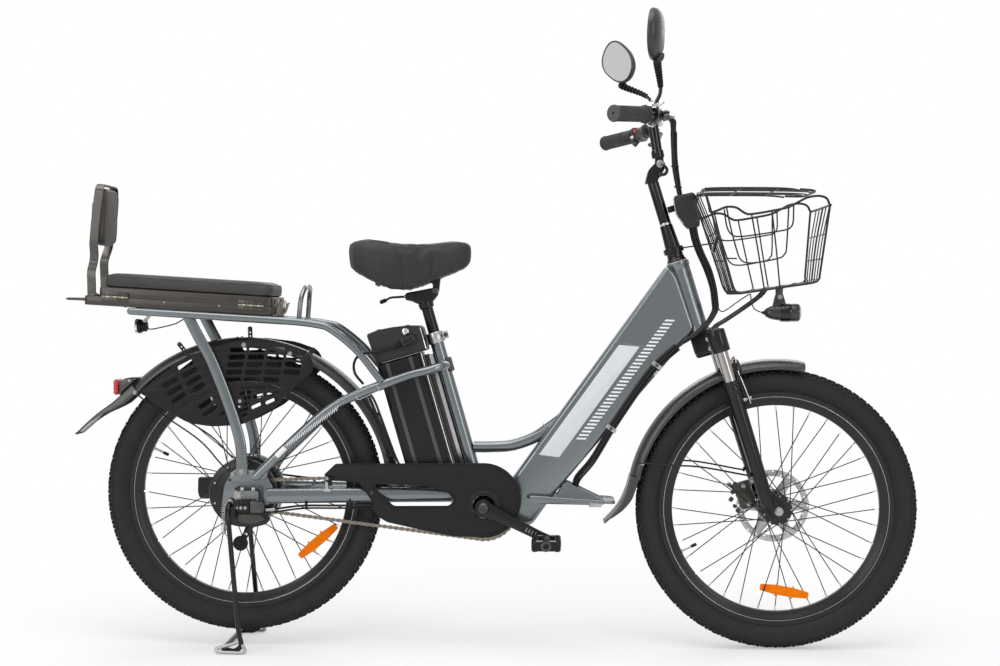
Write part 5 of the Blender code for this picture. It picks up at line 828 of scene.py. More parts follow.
def build_rack():
    rack = Piece()
    for side in (-1, 1):
        rail = smooth_path([(-0.775, side * 0.085, rack_z(-0.775)), (-0.6, side * 0.085,
            rack_z(-0.6)), (-0.44, side * 0.085, rack_z(-0.44)), (-0.372, side * 0.084, 0.7115),
            (-0.338, side * 0.083, 0.7), (-0.284, side * 0.081, 0.656), (-0.24, side * 0.08, 0.602),
            (-0.229, side * 0.08, 0.587),], 8)
        rack.add(sweep(rail, 0.0079, 24), PAINT)
        rack.add(ball(rail[0], 0.0079), PAINT)
        add_bead(rack, ring_points(rail[-2], rail[-1] - rail[-4], 0.0085, 20), 0.0014, True)
        oval = [(0.0052 * math.cos(a), 0.0122 * math.sin(a)) for a in (2 * math.pi * k / 24
            for k in range(24))]
        leg = smooth_path([(-0.652, side * 0.0768, 0.73), (-0.628, side * 0.0768, 0.683),
            (-0.6, side * 0.0768, 0.632), (-0.561, side * 0.0768, 0.532),
            (-0.539, side * 0.0768, 0.458), (-0.535, side * 0.0768, 0.408)], 7)
        rack.add(sweep(leg, 1.0, section=oval, side=(0, 1, 0)), PAINT)
        foot = rounded([(-0.547, 0.418), (-0.523, 0.418), (-0.523, 0.386), (-0.535, 0.376),
            (-0.547, 0.386)], 0.006, 4)
        rack.add(panel(foot, 0.0048, side_view(side * 0.0744), (), 0.0008), PAINT)
        add_bolt(rack, (-0.535, side * 0.0768, 0.392), (0, side, 0), 0.0042, 0.0045, STEEL)
    for x in (-0.762, -0.6, -0.412):
        rack.add(across((x, 0, rack_z(x)), -0.085, 0.085, 0.0069, 20), PAINT)
    hoop = smooth_path([(-0.412, -0.06, 0.716), (-0.4095, -0.06, 0.748), (-0.4065, -0.053, 0.773),
        (-0.4025, -0.034, 0.79), (-0.4015, 0.0, 0.7945), (-0.4025, 0.034, 0.79),
        (-0.4065, 0.053, 0.773), (-0.4095, 0.06, 0.748), (-0.412, 0.06, 0.716),], 8)
    rack.add(sweep(hoop, 0.0054, 20), PAINT)
    for side in (-1, 1):
        add_bead(rack, ring_points((-0.4118, side * 0.06, 0.7242), (0, 0, 1), 0.006, 16), 0.0011,
            True)
    rack.done("rack_smooth", "frame", ["rear_rack"], "frame_paint")

    board = Piece()
    tilt = Matrix.Translation((0.1805, 0, 0.329)) @ Matrix.Rotation(math.radians(3.7), 4, "Y")
    outline = rounded(rectangle(0.193, 0.1), 0.017, 6)
    board.add(panel(outline, 0.0046, tilt @ Matrix.Translation((0, 0, -0.0008)), (), 0.0006, 2),
        PAINT)
    edge = [tilt @ Vector((p[0] * 0.975, p[1] * 0.955, 0.0012)) for p in outline]
    board.add(sweep(edge, 0.0024, 12, True), PAINT)
    for row in range(9):
        for col in range(5):
            at = tilt @ Vector((-0.076 + row * 0.019, -0.036 + col * 0.018, 0.0017))
            if 0.15 < at.x < 0.262 and abs(at.y) < 0.034:
                continue
            board.add(brick((0.009, 0.003, 0.0012), tilt @ Matrix.Translation((-0.076 + row * 0.019,
                -0.036 + col * 0.018, 0.0018)), 0.0005, 1), ALLOY)
    for side in (-1, 1):
        skirt = rounded([(0.09, 0.334), (0.262, 0.3235), (0.245, 0.317), (0.1, 0.32)], 0.003, 3)
        board.add(panel(skirt, 0.0026, side_view(side * 0.0437), (), 0.0006), PAINT)
        gusset = rounded([(0.146, 0.33), (0.165, 0.363), (0.172, 0.3655), (0.254, 0.326)], 0.002, 3)
        board.add(panel(gusset, 0.0038, side_view(side * 0.023), (), 0.0006), PAINT)
    board.add(brick((0.028, 0.03, 0.018), (0.234, 0, 0.318), 0.0015), ALLOY)
    for x, y in ((0.102, 0.0), (0.235, -0.029), (0.196, 0.029)):
        board.add(brick((0.026, 0.012, 0.005), tilt
            @ Matrix.Translation((x - 0.1805, y * 1.4, -0.0052)), 0.0008), ALLOY)
    board.done("footboard_with_rim", "frame", ["footboard"], "black_paint")


def fender_skin(centre, radius, start, end, steps=72):
    """A moulded shell round the wheel with rolled edges, from one angle to another."""
    wall = 0.002
    outer = [(0.0, 0.0), (-0.0008, 0.01), (-0.0034, 0.02), (-0.0078, 0.0285), (-0.0125, 0.033),
        (-0.018, 0.0352), (-0.0215, 0.036)]
    curl = [(-0.0225, 0.0356), (-0.0224, 0.0342)]
    inner = [(r - (wall if k < 3 else 0.0), max(0.0, y - (wall if k >= 2 else 0.0))) for k,
        (r, y) in enumerate(outer)]
    whole = [(r, -y) for r, y in outer[::-1][:-1]] + outer + curl
    whole += inner[::-1] + [(r, -y) for r, y in inner[1:]] + [(r, -y) for r, y in curl[::-1]]
    shape = bmesh.new()
    rings = []
    for k in range(steps + 1):
        angle = math.radians(start + (end - start) * k / steps)
        near_end = min(k, steps - k) / steps
        tuck = 0.0014 * max(0.0, 1 - near_end * 60)
        rings.append([shape.verts.new(polar(centre, radius + r - tuck, angle, y * (1 - tuck * 20)))
            for r, y in whole])
    count = len(whole)
    for low, high in zip(rings, rings[1:]):
        for n in range(count):
            m = (n + 1) % count
            shape.faces.new((low[n], low[m], high[m], high[n]))
    shape.faces.new(rings[0][::-1])
    shape.faces.new(rings[-1])
    return shape


def flap_skin(centre, radius, line, half, wall=0.0022):
    """The flared tail of a mudguard: a curved plate along the line, with two cheeks."""
    points = []
    for out, angle in line:
        points.append(polar(centre, radius + out, math.radians(angle)))
    path = smooth_path(points, 8)
    shape = bmesh.new()
    rings = []
    count = len(path)
    for k, point in enumerate(path):
        t = k / (count - 1)
        along = (path[min(k + 1, count - 1)] - path[max(k - 1, 0)]).normalized()
        inwards = along.cross(Vector((0, 1, 0)))
        if inwards.dot(centre - point) < 0:
            inwards = -inwards
        wide = half * (1.0 + 0.02 * t) - 0.006 * max(0.0, t - 0.88) / 0.12
        drop = 0.02 * (1 - max(0.0, t - 0.35) / 0.65)
        section = [(-wide, drop), (-wide, 0.004), (-wide * 0.93, 0.0006), (-wide * 0.5, 0.0),
            (0, -0.0006), (wide * 0.5, 0.0), (wide * 0.93, 0.0006), (wide, 0.004), (wide, drop)]
        section += [(y * (1 - wall / half), d + (wall if abs(y) < wide * 0.97 else 0.0)) for y,
            d in section[::-1]]
        rings.append([shape.verts.new(point + Vector((0, y, 0)) + inwards * d) for y, d in section])
    size = len(rings[0])
    for low, high in zip(rings, rings[1:]):
        for n in range(size):
            m = (n + 1) % size
            shape.faces.new((low[n], low[m], high[m], high[n]))
    shape.faces.new(rings[0][::-1])
    shape.faces.new(rings[-1])
    return shape


def build_rear_fender():
    guard = Piece()
    guard.add(fender_skin(REAR_AXLE, 0.343, 10, 137), FENDER)
    guard.add(flap_skin(REAR_AXLE, 0.343, [(-0.0004, 136), (0.003, 141), (0.01, 146), (0.026, 152),
        (0.053, 160.8)], 0.035), FENDER)
    hold = polar(REAR_AXLE, 0.3245, math.radians(137))
    for side in (-1, 1):
        wire = smooth_path([(hold.x, side * 0.037, hold.z), (-0.76, side * 0.0385, 0.545),
            (-0.716, side * 0.044, 0.512), (-0.632, side * 0.056, 0.457),
            (-0.585, side * 0.0625, 0.408), (-0.56, side * 0.065, 0.386)], 6)
        guard.add(sweep(wire, 0.0018, 10), BLACK)
        add_bolt(guard, (hold.x, side * 0.0372, hold.z), (0, side, 0), 0.0036, 0.004, STEEL)
        for angle in (38, 66, 92):
            at = polar(REAR_AXLE, 0.3405, math.radians(angle), side * 0.0235)
            out = (at - REAR_AXLE)
            guard.add(rod(at, at + Vector((out.x, side * 0.25, out.z)).normalized() * 0.0035, 0.003,
                12, 0.0006), DARK_STEEL)
    strap = rounded([(-0.2062, 0.401), (-0.201, 0.399), (-0.19, 0.356), (-0.158, 0.344),
        (-0.157, 0.331), (-0.195, 0.348)], 0.003, 3)
    guard.add(panel(strap, 0.02, side_view(), (), 0.0006), DARK_STEEL)
    guard.done("rear_fender_skin", "frame", ["rear_fender"], "black_plastic")

    lamp = Piece()
    outline = [polar(REAR_AXLE, r, math.radians(a)) for r, a in ((0.3444, 132.6), (0.344, 136),
        (0.3478, 141), (0.349, 142.5))]
    top = outline[0].z - 0.001
    housing = rounded([(p.x, p.z) for p in outline] + [(-0.8195, top - 0.012), (-0.806, top)],
        0.005, 4)
    lamp.add(panel(housing, 0.05, side_view(), (), 0.005, 4), DARK_STEEL)
    lamp.add(across((-0.795, 0, 0.586), -0.0253, -0.0262, 0.0035, 16), STEEL)
    lamp.done("tail_lamp_housing", "frame", ["tail_lamp"], "black_plastic")
    lens = Piece()
    lens.add(brick((0.011, 0.043, 0.034), (-0.8265, 0, 0.5712), 0.004, 4), RED)
    for row in range(4):
        for col in range(5):
            at = (-0.8318, -0.015 + col * 0.0075, 0.5605 + row * 0.0072)
            lens.add(ball(at, 0.0028, (0.7, 1, 1), 12), RED)
    lens.done("tail_lamp_lens_cut", "frame", ["tail_lamp_lens"], "red_lens")


def build_coat_guards():
    """Leaf-shaped side nets: slots in fans, perforated straps and a small boss."""
    outline = rounded([(-0.759, 0.563), (-0.664, 0.636), (-0.563, 0.671), (-0.517, 0.678),
        (-0.441, 0.669), (-0.388, 0.65), (-0.377, 0.612), (-0.413, 0.584), (-0.465, 0.531),
        (-0.535, 0.494), (-0.603, 0.49), (-0.654, 0.498), (-0.711, 0.531), (-0.746, 0.555)], 0.016,
        4)
    flat_outline = [Vector(p) for p in outline]

    def inside(point, margin):
        hit = False
        near = 9.0
        for a, b in zip(flat_outline, flat_outline[1:] + flat_outline[:1]):
            if (a.y > point[1]) != (b.y > point[1]):
                if point[0] < a.x + (point[1] - a.y) * (b.x - a.x) / (b.y - a.y):
                    hit = not hit
            edge = b - a
            t = max(0, min(1, (Vector(point) - a).dot(edge) / max(edge.length_squared, 1e-12)))
            near = min(near, (a + edge * t - Vector(point)).length)
        return hit and near > margin

    slots = []

    def offer(x, z, length, wide, slope):
        """Keeps a slot here if it clears the edge and every slot kept before it."""
        turn = math.atan(slope)
        along = Vector((math.cos(turn), math.sin(turn)))
        line = [Vector((x, z)) + along * (length - wide) / 2 * t for t in (-1, -0.5, 0, 0.5, 1)]
        if not all(inside(p, wide / 2 + 0.0042) for p in line):
            return
        for other, other_wide in slots:
            least = min((p - q).length for p in line for q in other)
            if least < (wide + other_wide) / 2 + 0.0026:
                return
        slots.append((line, wide))
        made = []
        for u, v in rounded(rectangle(length, wide), wide / 2 - 0.0003, 4):
            made.append((x + u * along.x - v * along.y, z + u * along.y + v * along.x))
        holes.append(made)

    holes = []
    boss = Vector((-0.5395, 0.544))
    for row in range(5):
        for col in range(4):
            offer(-0.543 + col * 0.042 - row * 0.003, 0.6565 - row * 0.0165, 0.036, 0.0112,
                -0.05 * (col - 1))
    for row in range(6):
        slope = 0.05 + row * 0.1
        for col in range(4):
            x = -0.525 + col * 0.031 - row * 0.002
            offer(x, 0.5735 - row * 0.0128 + slope * (x - boss.x) * 0.72, 0.0265, 0.0078, slope)
    for row in range(8):
        slope = math.tan(math.radians(27.5 + row * 1.4))
        for col in range(-1, 5):
            x = -0.617 - col * 0.0415 + row * 0.0088
            if x + 0.019 < -0.603 + (0.668 - 0.6453 + row * 0.0165) * 0.26:
                offer(x, 0.644 - col * 0.0216 - row * 0.0166, 0.037, 0.0112, slope)
    for row in range(9):
        turn = math.radians(196 + row * 13)
        for reach in (0.05, 0.084):
            out = Vector((math.cos(turn) * 1.25, math.sin(turn) * 0.62)) * reach
            offer(boss.x + out.x, boss.y + out.y, 0.024, 0.0074, 0.62 - row * 0.04)
    for side in (-1, 1):
        net = Piece()
        net.add(panel(outline, 0.0019, side_view(side * 0.07), holes, 0.0004), PLASTIC)
        rim = [Vector((p[0], side * 0.07, p[1])) for p in outline]
        net.add(sweep(rim, 0.0018, 10, True), PLASTIC)
        net.add(across((boss.x, 0, boss.y), side * 0.07, side * 0.0732, 0.0105, 32), PLASTIC)
        net.add(across((boss.x, 0, boss.y), side * 0.0732, side * 0.0745, 0.004, 16), STEEL)
        for angle in (70, 88):
            at = polar(REAR_AXLE, 0.328, math.radians(angle))
            net.add(across(at, side * 0.0363, side * 0.07, 0.0038, 16), DARK_STEEL)
            add_bolt(net, (at.x, side * 0.0708, at.z), (0, side, 0), 0.0038, 0.004, STEEL)
        straps = (((-0.662, 0.656), 129, 0.04), ((-0.516, 0.686), 92, 0.042), ((-0.386, 0.648), 47,
            0.032)) if side < 0 else ()
        for at, turn, length in straps:
            ring = [circle((u, 0), 0.0016, 12) for u in (-0.008, 0.0, 0.008)]
            turned_frame = (side_view(side * 0.0722) @ Matrix.Translation((at[0], at[1], 0))
                @ Matrix.Rotation(math.radians(turn), 4, "Z"))
            net.add(panel(rounded(rectangle(length, 0.01), 0.0045, 4), 0.0012, turned_frame, ring,
                0.0002), BLACK)
        net.done("coat_guard_net_" + ("right" if side < 0 else "left"), "frame", ["coat_guard_right"
            if side < 0 else "coat_guard_left"], "black_plastic")


build_frame()
build_rack()
build_rear_fender()
build_coat_guards()

# Box, cushions and backrest

BOX = Matrix.Translation((-0.673, 0, rack_z(-0.673) + 0.0083)) @ Matrix.Rotation(RACK_RISE, 4, "Y")
BOX_LENGTH = 0.414
BOX_HALF = 0.082
LEDGE = 0.031


def loft(rings, close_ends=True):
    """A skin over closed rings that have the same number of points."""
    shape = bmesh.new()
    rows = [[shape.verts.new(p) for p in ring] for ring in rings]
    for low, high in zip(rows, rows[1:]):
        for k in range(len(low)):
            n = (k + 1) % len(low)
            shape.faces.new((low[k], low[n], high[n], high[k]))
    if close_ends:
        shape.faces.new(rows[0][::-1])
        shape.faces.new(rows[-1])
    return shape


def box_ring(length, width, corner, inset, height, ahead=0.0, steps=6):
    radius = max(corner - inset, 0.0012)
    outline = rounded(rectangle(length - 2 * inset, width - 2 * inset), radius, steps)
    return [Vector((p[0] + ahead, p[1], height)) for p in outline]


def soft_pad(name, start, cap, voxel, body, replaced, skin):
    """A stuffed pad: a closed skin that is remeshed, blown up a little as cloth and smoothed."""
    bmesh.ops.recalc_face_normals(start, faces=start.faces)
    mesh = bpy.data.meshes.new(name)
    start.to_mesh(mesh)
    start.free()
    pad = bpy.data.objects.new(name, mesh)
    bpy.context.scene.collection.objects.link(pad)
    remesh = pad.modifiers.new("remesh", "REMESH")
    remesh.mode = "VOXEL"
    remesh.voxel_size = voxel
    settle(pad)
    before = [v.co.copy() for v in pad.data.vertices]
    cloth = pad.modifiers.new("cloth", "CLOTH")
    cloth.settings.use_pressure = True
    cloth.settings.uniform_pressure_force = 4.0
    cloth.settings.tension_stiffness = 25
    cloth.settings.compression_stiffness = 25
    cloth.settings.bending_stiffness = 4
    cloth.settings.effector_weights.gravity = 0
    cloth.point_cache.frame_start = 1
    cloth.point_cache.frame_end = 20
    scene = bpy.context.scene
    for number in range(1, 21):
        scene.frame_set(number)
    graph = bpy.context.evaluated_depsgraph_get()
    after = [v.co.copy() for v in pad.evaluated_get(graph).data.vertices]
    pad.modifiers.remove(cloth)
    scene.frame_set(1)
    for vertex, old, new in zip(pad.data.vertices, before, after):
        move = new - old
        if move.length > cap:
            move *= cap / move.length
        vertex.co = old + move
    smooth = pad.modifiers.new("smooth", "SMOOTH")
    smooth.factor = 0.5
    smooth.iterations = 3
    divide = pad.modifiers.new("divide", "SUBSURF")
    divide.levels = 1
    divide.render_levels = 1
    settle(pad)
    pad.data.materials.clear()
    pad.data.materials.append(skin)
    pad.data.shade_smooth()
    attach(pad, body)
    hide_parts(*replaced)
    return pad


def settle(obj):
    """Keep what the modifiers of an object make, as its own mesh."""
    graph = bpy.context.evaluated_depsgraph_get()
    made = bpy.data.meshes.new_from_object(obj.evaluated_get(graph))
    obj.modifiers.clear()
    old = obj.data
    obj.data = made
    bpy.data.meshes.remove(old)


def on_skin(pad, inner, outwards):
    """Where a line from a point inside the pad comes out through its skin."""
    hit, place = pad.ray_cast(inner, outwards)[:2]
    return place if hit else None


def welt(piece, pad, directions, skin, radius=0.0013, proud=0.0002):
    points = []
    for inner, direction in directions:
        place = on_skin(pad, inner, direction)
        if place is not None:
            points.append(place + direction.normalized() * proud)
    piece.add(sweep(points, radius, 8, True), skin)


def build_box():
    tray = Piece()

    def ring(inset, height):
        return box_ring(BOX_LENGTH, 2 * BOX_HALF, 0.012, inset, height)

    tray.add(loft([ring(0.0022, 0.0), ring(0.0007, 0.0007), ring(0.0, 0.0024), ring(0.0, 0.0193),
        ring(0.0005, 0.02), ring(0.0026, 0.02), ring(0.003, 0.0194), ring(0.003, 0.003)]), SATIN,
        BOX)
    tray.add(brick((LEDGE, 0.16, 0.003), Matrix.Translation((-0.1895, 0, 0.0185)), 0.0008), SATIN,
        BOX)
    felt = rounded(rectangle(0.405, 0.155), 0.009, 4)
    tray.add(panel(felt, 0.0006, Matrix.Translation((0, 0, 0.0034)), (), 0.0001), SOFT_RUBBER, BOX)
    for side in (-1, 1):
        for x in (-0.15, -0.03, 0.09, 0.165):
            tray.add(ball((x, side * 0.0824, 0.015), 0.0019, (1, 0.5, 1), 12), STEEL, BOX)
        for x in (-0.12, 0.02, 0.14):
            tray.add(ball((x, side * 0.062, -0.0006), 0.003, (1, 1, 0.4), 12), DARK_STEEL, BOX)
        tray.add(brick((0.3, 0.012, 0.0009), Matrix.Translation((0.057, side * 0.07, -0.0004)),
            0.0003), SOFT_RUBBER, BOX)
    tray.add(brick((0.196, 0.11, 0.001), Matrix.Translation((0.027, 0, -0.0005)), 0.0003),
        DARK_STEEL, BOX)
    handle = smooth_path([(-0.878, 0.072, 0.7655), (-0.896, 0.07, 0.7665), (-0.916, 0.062, 0.767),
        (-0.9215, 0.044, 0.767), (-0.9215, 0, 0.767), (-0.9215, -0.044, 0.767),
        (-0.916, -0.062, 0.767), (-0.896, -0.07, 0.7665), (-0.878, -0.072, 0.7655)], 6)
    flat_bar = [(0.003 * math.cos(a), 0.0062 * math.sin(a)) for a in (2 * math.pi * k / 20
        for k in range(20))]
    tray.add(sweep(handle, 1.0, section=flat_bar, side=(0, 0, 1)), SATIN)
    tray.done("seat_box_tray", "frame", ["seat_box"], "black_paint")

    hinge = Piece()
    hinge_lid = Piece()
    for x in (-0.138, 0.16):
        leaf = Matrix.Translation((x, -0.0827, 0.0142))
        hinge.add(brick((0.058, 0.0013, 0.01), leaf, 0.0004), SATIN, BOX)
        leaf = Matrix.Translation((x, -0.0827, 0.0262))
        hinge_lid.add(brick((0.058, 0.0013, 0.01), leaf, 0.0004), SATIN, BOX)
        for k in range(7):
            start = x - 0.029 + k * 0.00829
            knuckle = rod((start, -0.0835, 0.0201), (start + 0.0079, -0.0835, 0.0201), 0.0019, 12,
                0.0003)
            (hinge if k % 2 else hinge_lid).add(knuckle, STEEL if k % 2 else BRASS, BOX)
        for k in (-1, 0, 1):
            hinge.add(ball((x + k * 0.019, -0.0836, 0.0135), 0.0013, (1, 0.5, 1), 8), BRASS, BOX)
            hinge_lid.add(ball((x + k * 0.019, -0.0836, 0.0268), 0.0013, (1, 0.5, 1), 8), BRASS,
                BOX)
    hinge.done("box_hinge_leaves", "frame", (), "brass")
    hinge_lid.done("lid_hinge_leaves", "box_cover", (), "brass")

    lid = Piece()
    length = BOX_LENGTH - 0.006 - LEDGE + 0.003
    ahead = (LEDGE - 0.003) / 2

    def lid_ring(inset, height):
        return box_ring(length, 2 * BOX_HALF - 0.004, 0.012, inset, height, ahead)

    lid.add(loft([lid_ring(0.0035, 0.0206), lid_ring(0.0035, 0.037), lid_ring(0.0045, 0.0375),
        lid_ring(0.06, 0.0375)] + [lid_ring(0.06, 0.041), lid_ring(0.0022, 0.041),
        lid_ring(0.0007, 0.0403), lid_ring(0.0, 0.0387), lid_ring(0.0, 0.0222),
        lid_ring(0.0003, 0.021), lid_ring(0.002, 0.0203)], False), SATIN, BOX)
    lid.add(panel([(p[0] + ahead, p[1]) for p in rounded(rectangle(length - 0.1196, 0.0404), 0.002,
        6)], 0.0034, Matrix.Translation((0, 0, 0.03925)), (), 0.0001), SATIN, BOX)
    lid.add(sweep([BOX @ p for p in lid_ring(0.0004, 0.0216)], 0.0009, 8, True), SATIN)
    for side in (-1, 1):
        lid.add(brick((0.0016, 0.022, 0.0125), Matrix.Translation((0.2048, side * 0.036, 0.031)),
            0.0004), BRASS, BOX)
        lid.add(brick((0.0052, 0.016, 0.0026), Matrix.Translation((0.2073, side * 0.036, 0.035)),
            0.0008), BRASS, BOX)
        for k in (-1, 1):
            lid.add(ball((0.2058, side * 0.036 + k * 0.0072, 0.028), 0.0013, (0.5, 1, 1), 8), STEEL,
                BOX)
    lid.done("seat_box_lid_smooth", "box_cover", ["seat_box_lid"], "black_paint")

    for side, name in ((-1, "right"), (1, "left")):
        latch = Piece()
        here = BOX @ Matrix.Translation((BOX_LENGTH / 2, side * 0.036, 0))
        latch.add(brick((0.002, 0.029, 0.0175), Matrix.Translation((0.0018, 0, 0.0118)), 0.0006),
            BRASS, here)
        latch.add(rod((0.004, -0.0135, 0.0085), (0.004, 0.0135, 0.0085), 0.0026, 14, 0.0004), BRASS,
            here)
        lever = [(0.004, 0.0052), (0.007, 0.005), (0.0096, 0.009), (0.0118, 0.018),
            (0.0138, 0.0262), (0.0155, 0.029), (0.015, 0.0304), (0.0122, 0.029), (0.01, 0.024),
            (0.0078, 0.015), (0.0058, 0.0102), (0.0034, 0.009)]
        lever = rounded(lever, 0.001, 2)
        latch.add(panel(lever, 0.017, side_view(), (), 0.0008), BRASS, here)
        loop = smooth_path([(0.007, 0.0098, 0.013), (0.0074, 0.0106, 0.024), (0.0052, 0.01, 0.033),
            (0.004, 0.0, 0.0344), (0.0052, -0.01, 0.033), (0.0074, -0.0106, 0.024),
            (0.007, -0.0098, 0.013)], 6)
        latch.add(sweep([here @ Vector(p) for p in loop], 0.0011, 10), STEEL)
        for k in (-1, 1):
            latch.add(rod((0.0068, k * 0.0086, 0.013), (0.0068, k * 0.012, 0.013), 0.0021, 10),
                STEEL, here)
            latch.add(ball((0.003, k * 0.0118, 0.017), 0.0016, (0.5, 1, 1), 8), STEEL, here)
        latch.done("draw_latch_" + name, name + "_latch", ["box_latch_" + name], "brass")


CUSHION_CORNER = 0.026
BACK_CORNER = 0.028
BACK_SIZE = (0.125, 0.1075)


def edge_rays(ring, step, middle, size, corner, inwards, height, rise):
    """Starts and directions of rays from inside a cushion to its edge, all the way round."""
    made = []
    half = (size[0] / 2 - corner, size[1] / 2 - corner)
    for point in smooth_ring(ring, step):
        out = Vector((point.x - middle, point.y, 0))
        core = Vector((max(-half[0], min(half[0], out.x)), max(-half[1], min(half[1], out.y)), 0))
        away = (out - core).normalized() if (out - core).length > 1e-6 else Vector((1, 0, 0))
        made.append((Vector((point.x, point.y, height)) - away * inwards, (away
            + Vector((0, 0, rise))).normalized()))
    return made


def build_cushions():
    back, front = -0.175, 0.2075
    middle = (back + front) / 2
    size = (front - back - 0.006, 0.162 - 0.006)
    levels = [(0.01, 0.0412), (0.004, 0.0416), (0.0012, 0.044), (0.0008, 0.05), (0.0008, 0.06),
        (0.0012, 0.064), (0.0036, 0.0664), (0.008, 0.0676), (0.02, 0.0684), (0.04, 0.069),
        (0.07, 0.0692)]

    def ring(inset, height):
        return box_ring(size[0], size[1], CUSHION_CORNER, inset, height, middle, 8)

    pad = soft_pad("seat_cushion_pad", loft([ring(inset, height) for inset, height in levels]),
        0.004, 0.004, "box_cover", ["seat_cushion"], LEATHER)
    trim = Piece()

    def around(inset, height, rise):
        return edge_rays(ring(inset, height), 0.004, middle, size, CUSHION_CORNER, 0.01, height,
            rise)

    welt(trim, pad, around(0.006, 0.06, 0.62), LEATHER, 0.0013)
    welt(trim, pad, around(0.006, 0.0455, -0.05), LEATHER, 0.0011)
    for line in (around(0.009, 0.0605, 0.95), around(0.006, 0.0595, 0.4)):
        for n in range(0, len(line) - 1, 2):
            first = on_skin(pad, *line[n])
            second = on_skin(pad, *line[n + 1])
            if first is not None and second is not None and (second - first).length < 0.012:
                trim.add(rod(first, first.lerp(second, 0.75), 0.00042, 6), THREAD)
    pad.data.transform(BOX)
    bmesh.ops.transform(trim.shape, matrix=BOX, verts=trim.shape.verts)
    trim.done("seat_cushion_piping", "box_cover", (), "vinyl")

    lean = Matrix.Translation((-0.8515, 0, 0.9475)) @ Matrix.Rotation(math.radians(3.55), 4, "Y")
    turned_pad = lean @ Matrix.Rotation(math.radians(90), 4, "Y")
    back_levels = [(0.006, -0.013), (0.0015, -0.012), (0.0004, -0.008), (0.0004, 0.004),
        (0.001, 0.008), (0.0034, 0.0102), (0.009, 0.0112), (0.022, 0.0118), (0.04, 0.0121)]

    def back_ring(inset, height):
        return box_ring(*BACK_SIZE, BACK_CORNER, inset, height, 0.0, 8)

    rest = soft_pad("backrest_cushion", loft([back_ring(inset, height) for inset,
        height in back_levels]), 0.003, 0.0032, "frame", ["backrest_pad"], LEATHER)
    line = Piece()

    def back_around(inset, height, rise):
        return edge_rays(back_ring(inset, height), 0.003, 0.0, BACK_SIZE, BACK_CORNER, 0.008,
            height, rise)

    welt(line, rest, back_around(0.004, 0.006, 0.85), LEATHER, 0.0011)
    welt(line, rest, back_around(0.004, -0.007, -0.1), LEATHER, 0.0009)
    rest.data.transform(turned_pad)
    bmesh.ops.transform(line.shape, matrix=turned_pad, verts=line.shape.verts)
    line.done("backrest_piping", "frame", (), "vinyl")


def smooth_ring(points, step):
    """The same closed ring with evenly spaced points."""
    closed = [Vector(p) for p in points] + [Vector(points[0])]
    made = []
    carry = 0.0
    for a, b in zip(closed, closed[1:]):
        length = (b - a).length
        where = carry
        while where < length:
            made.append(a.lerp(b, where / length))
            where += step
        carry = where - length
    return made


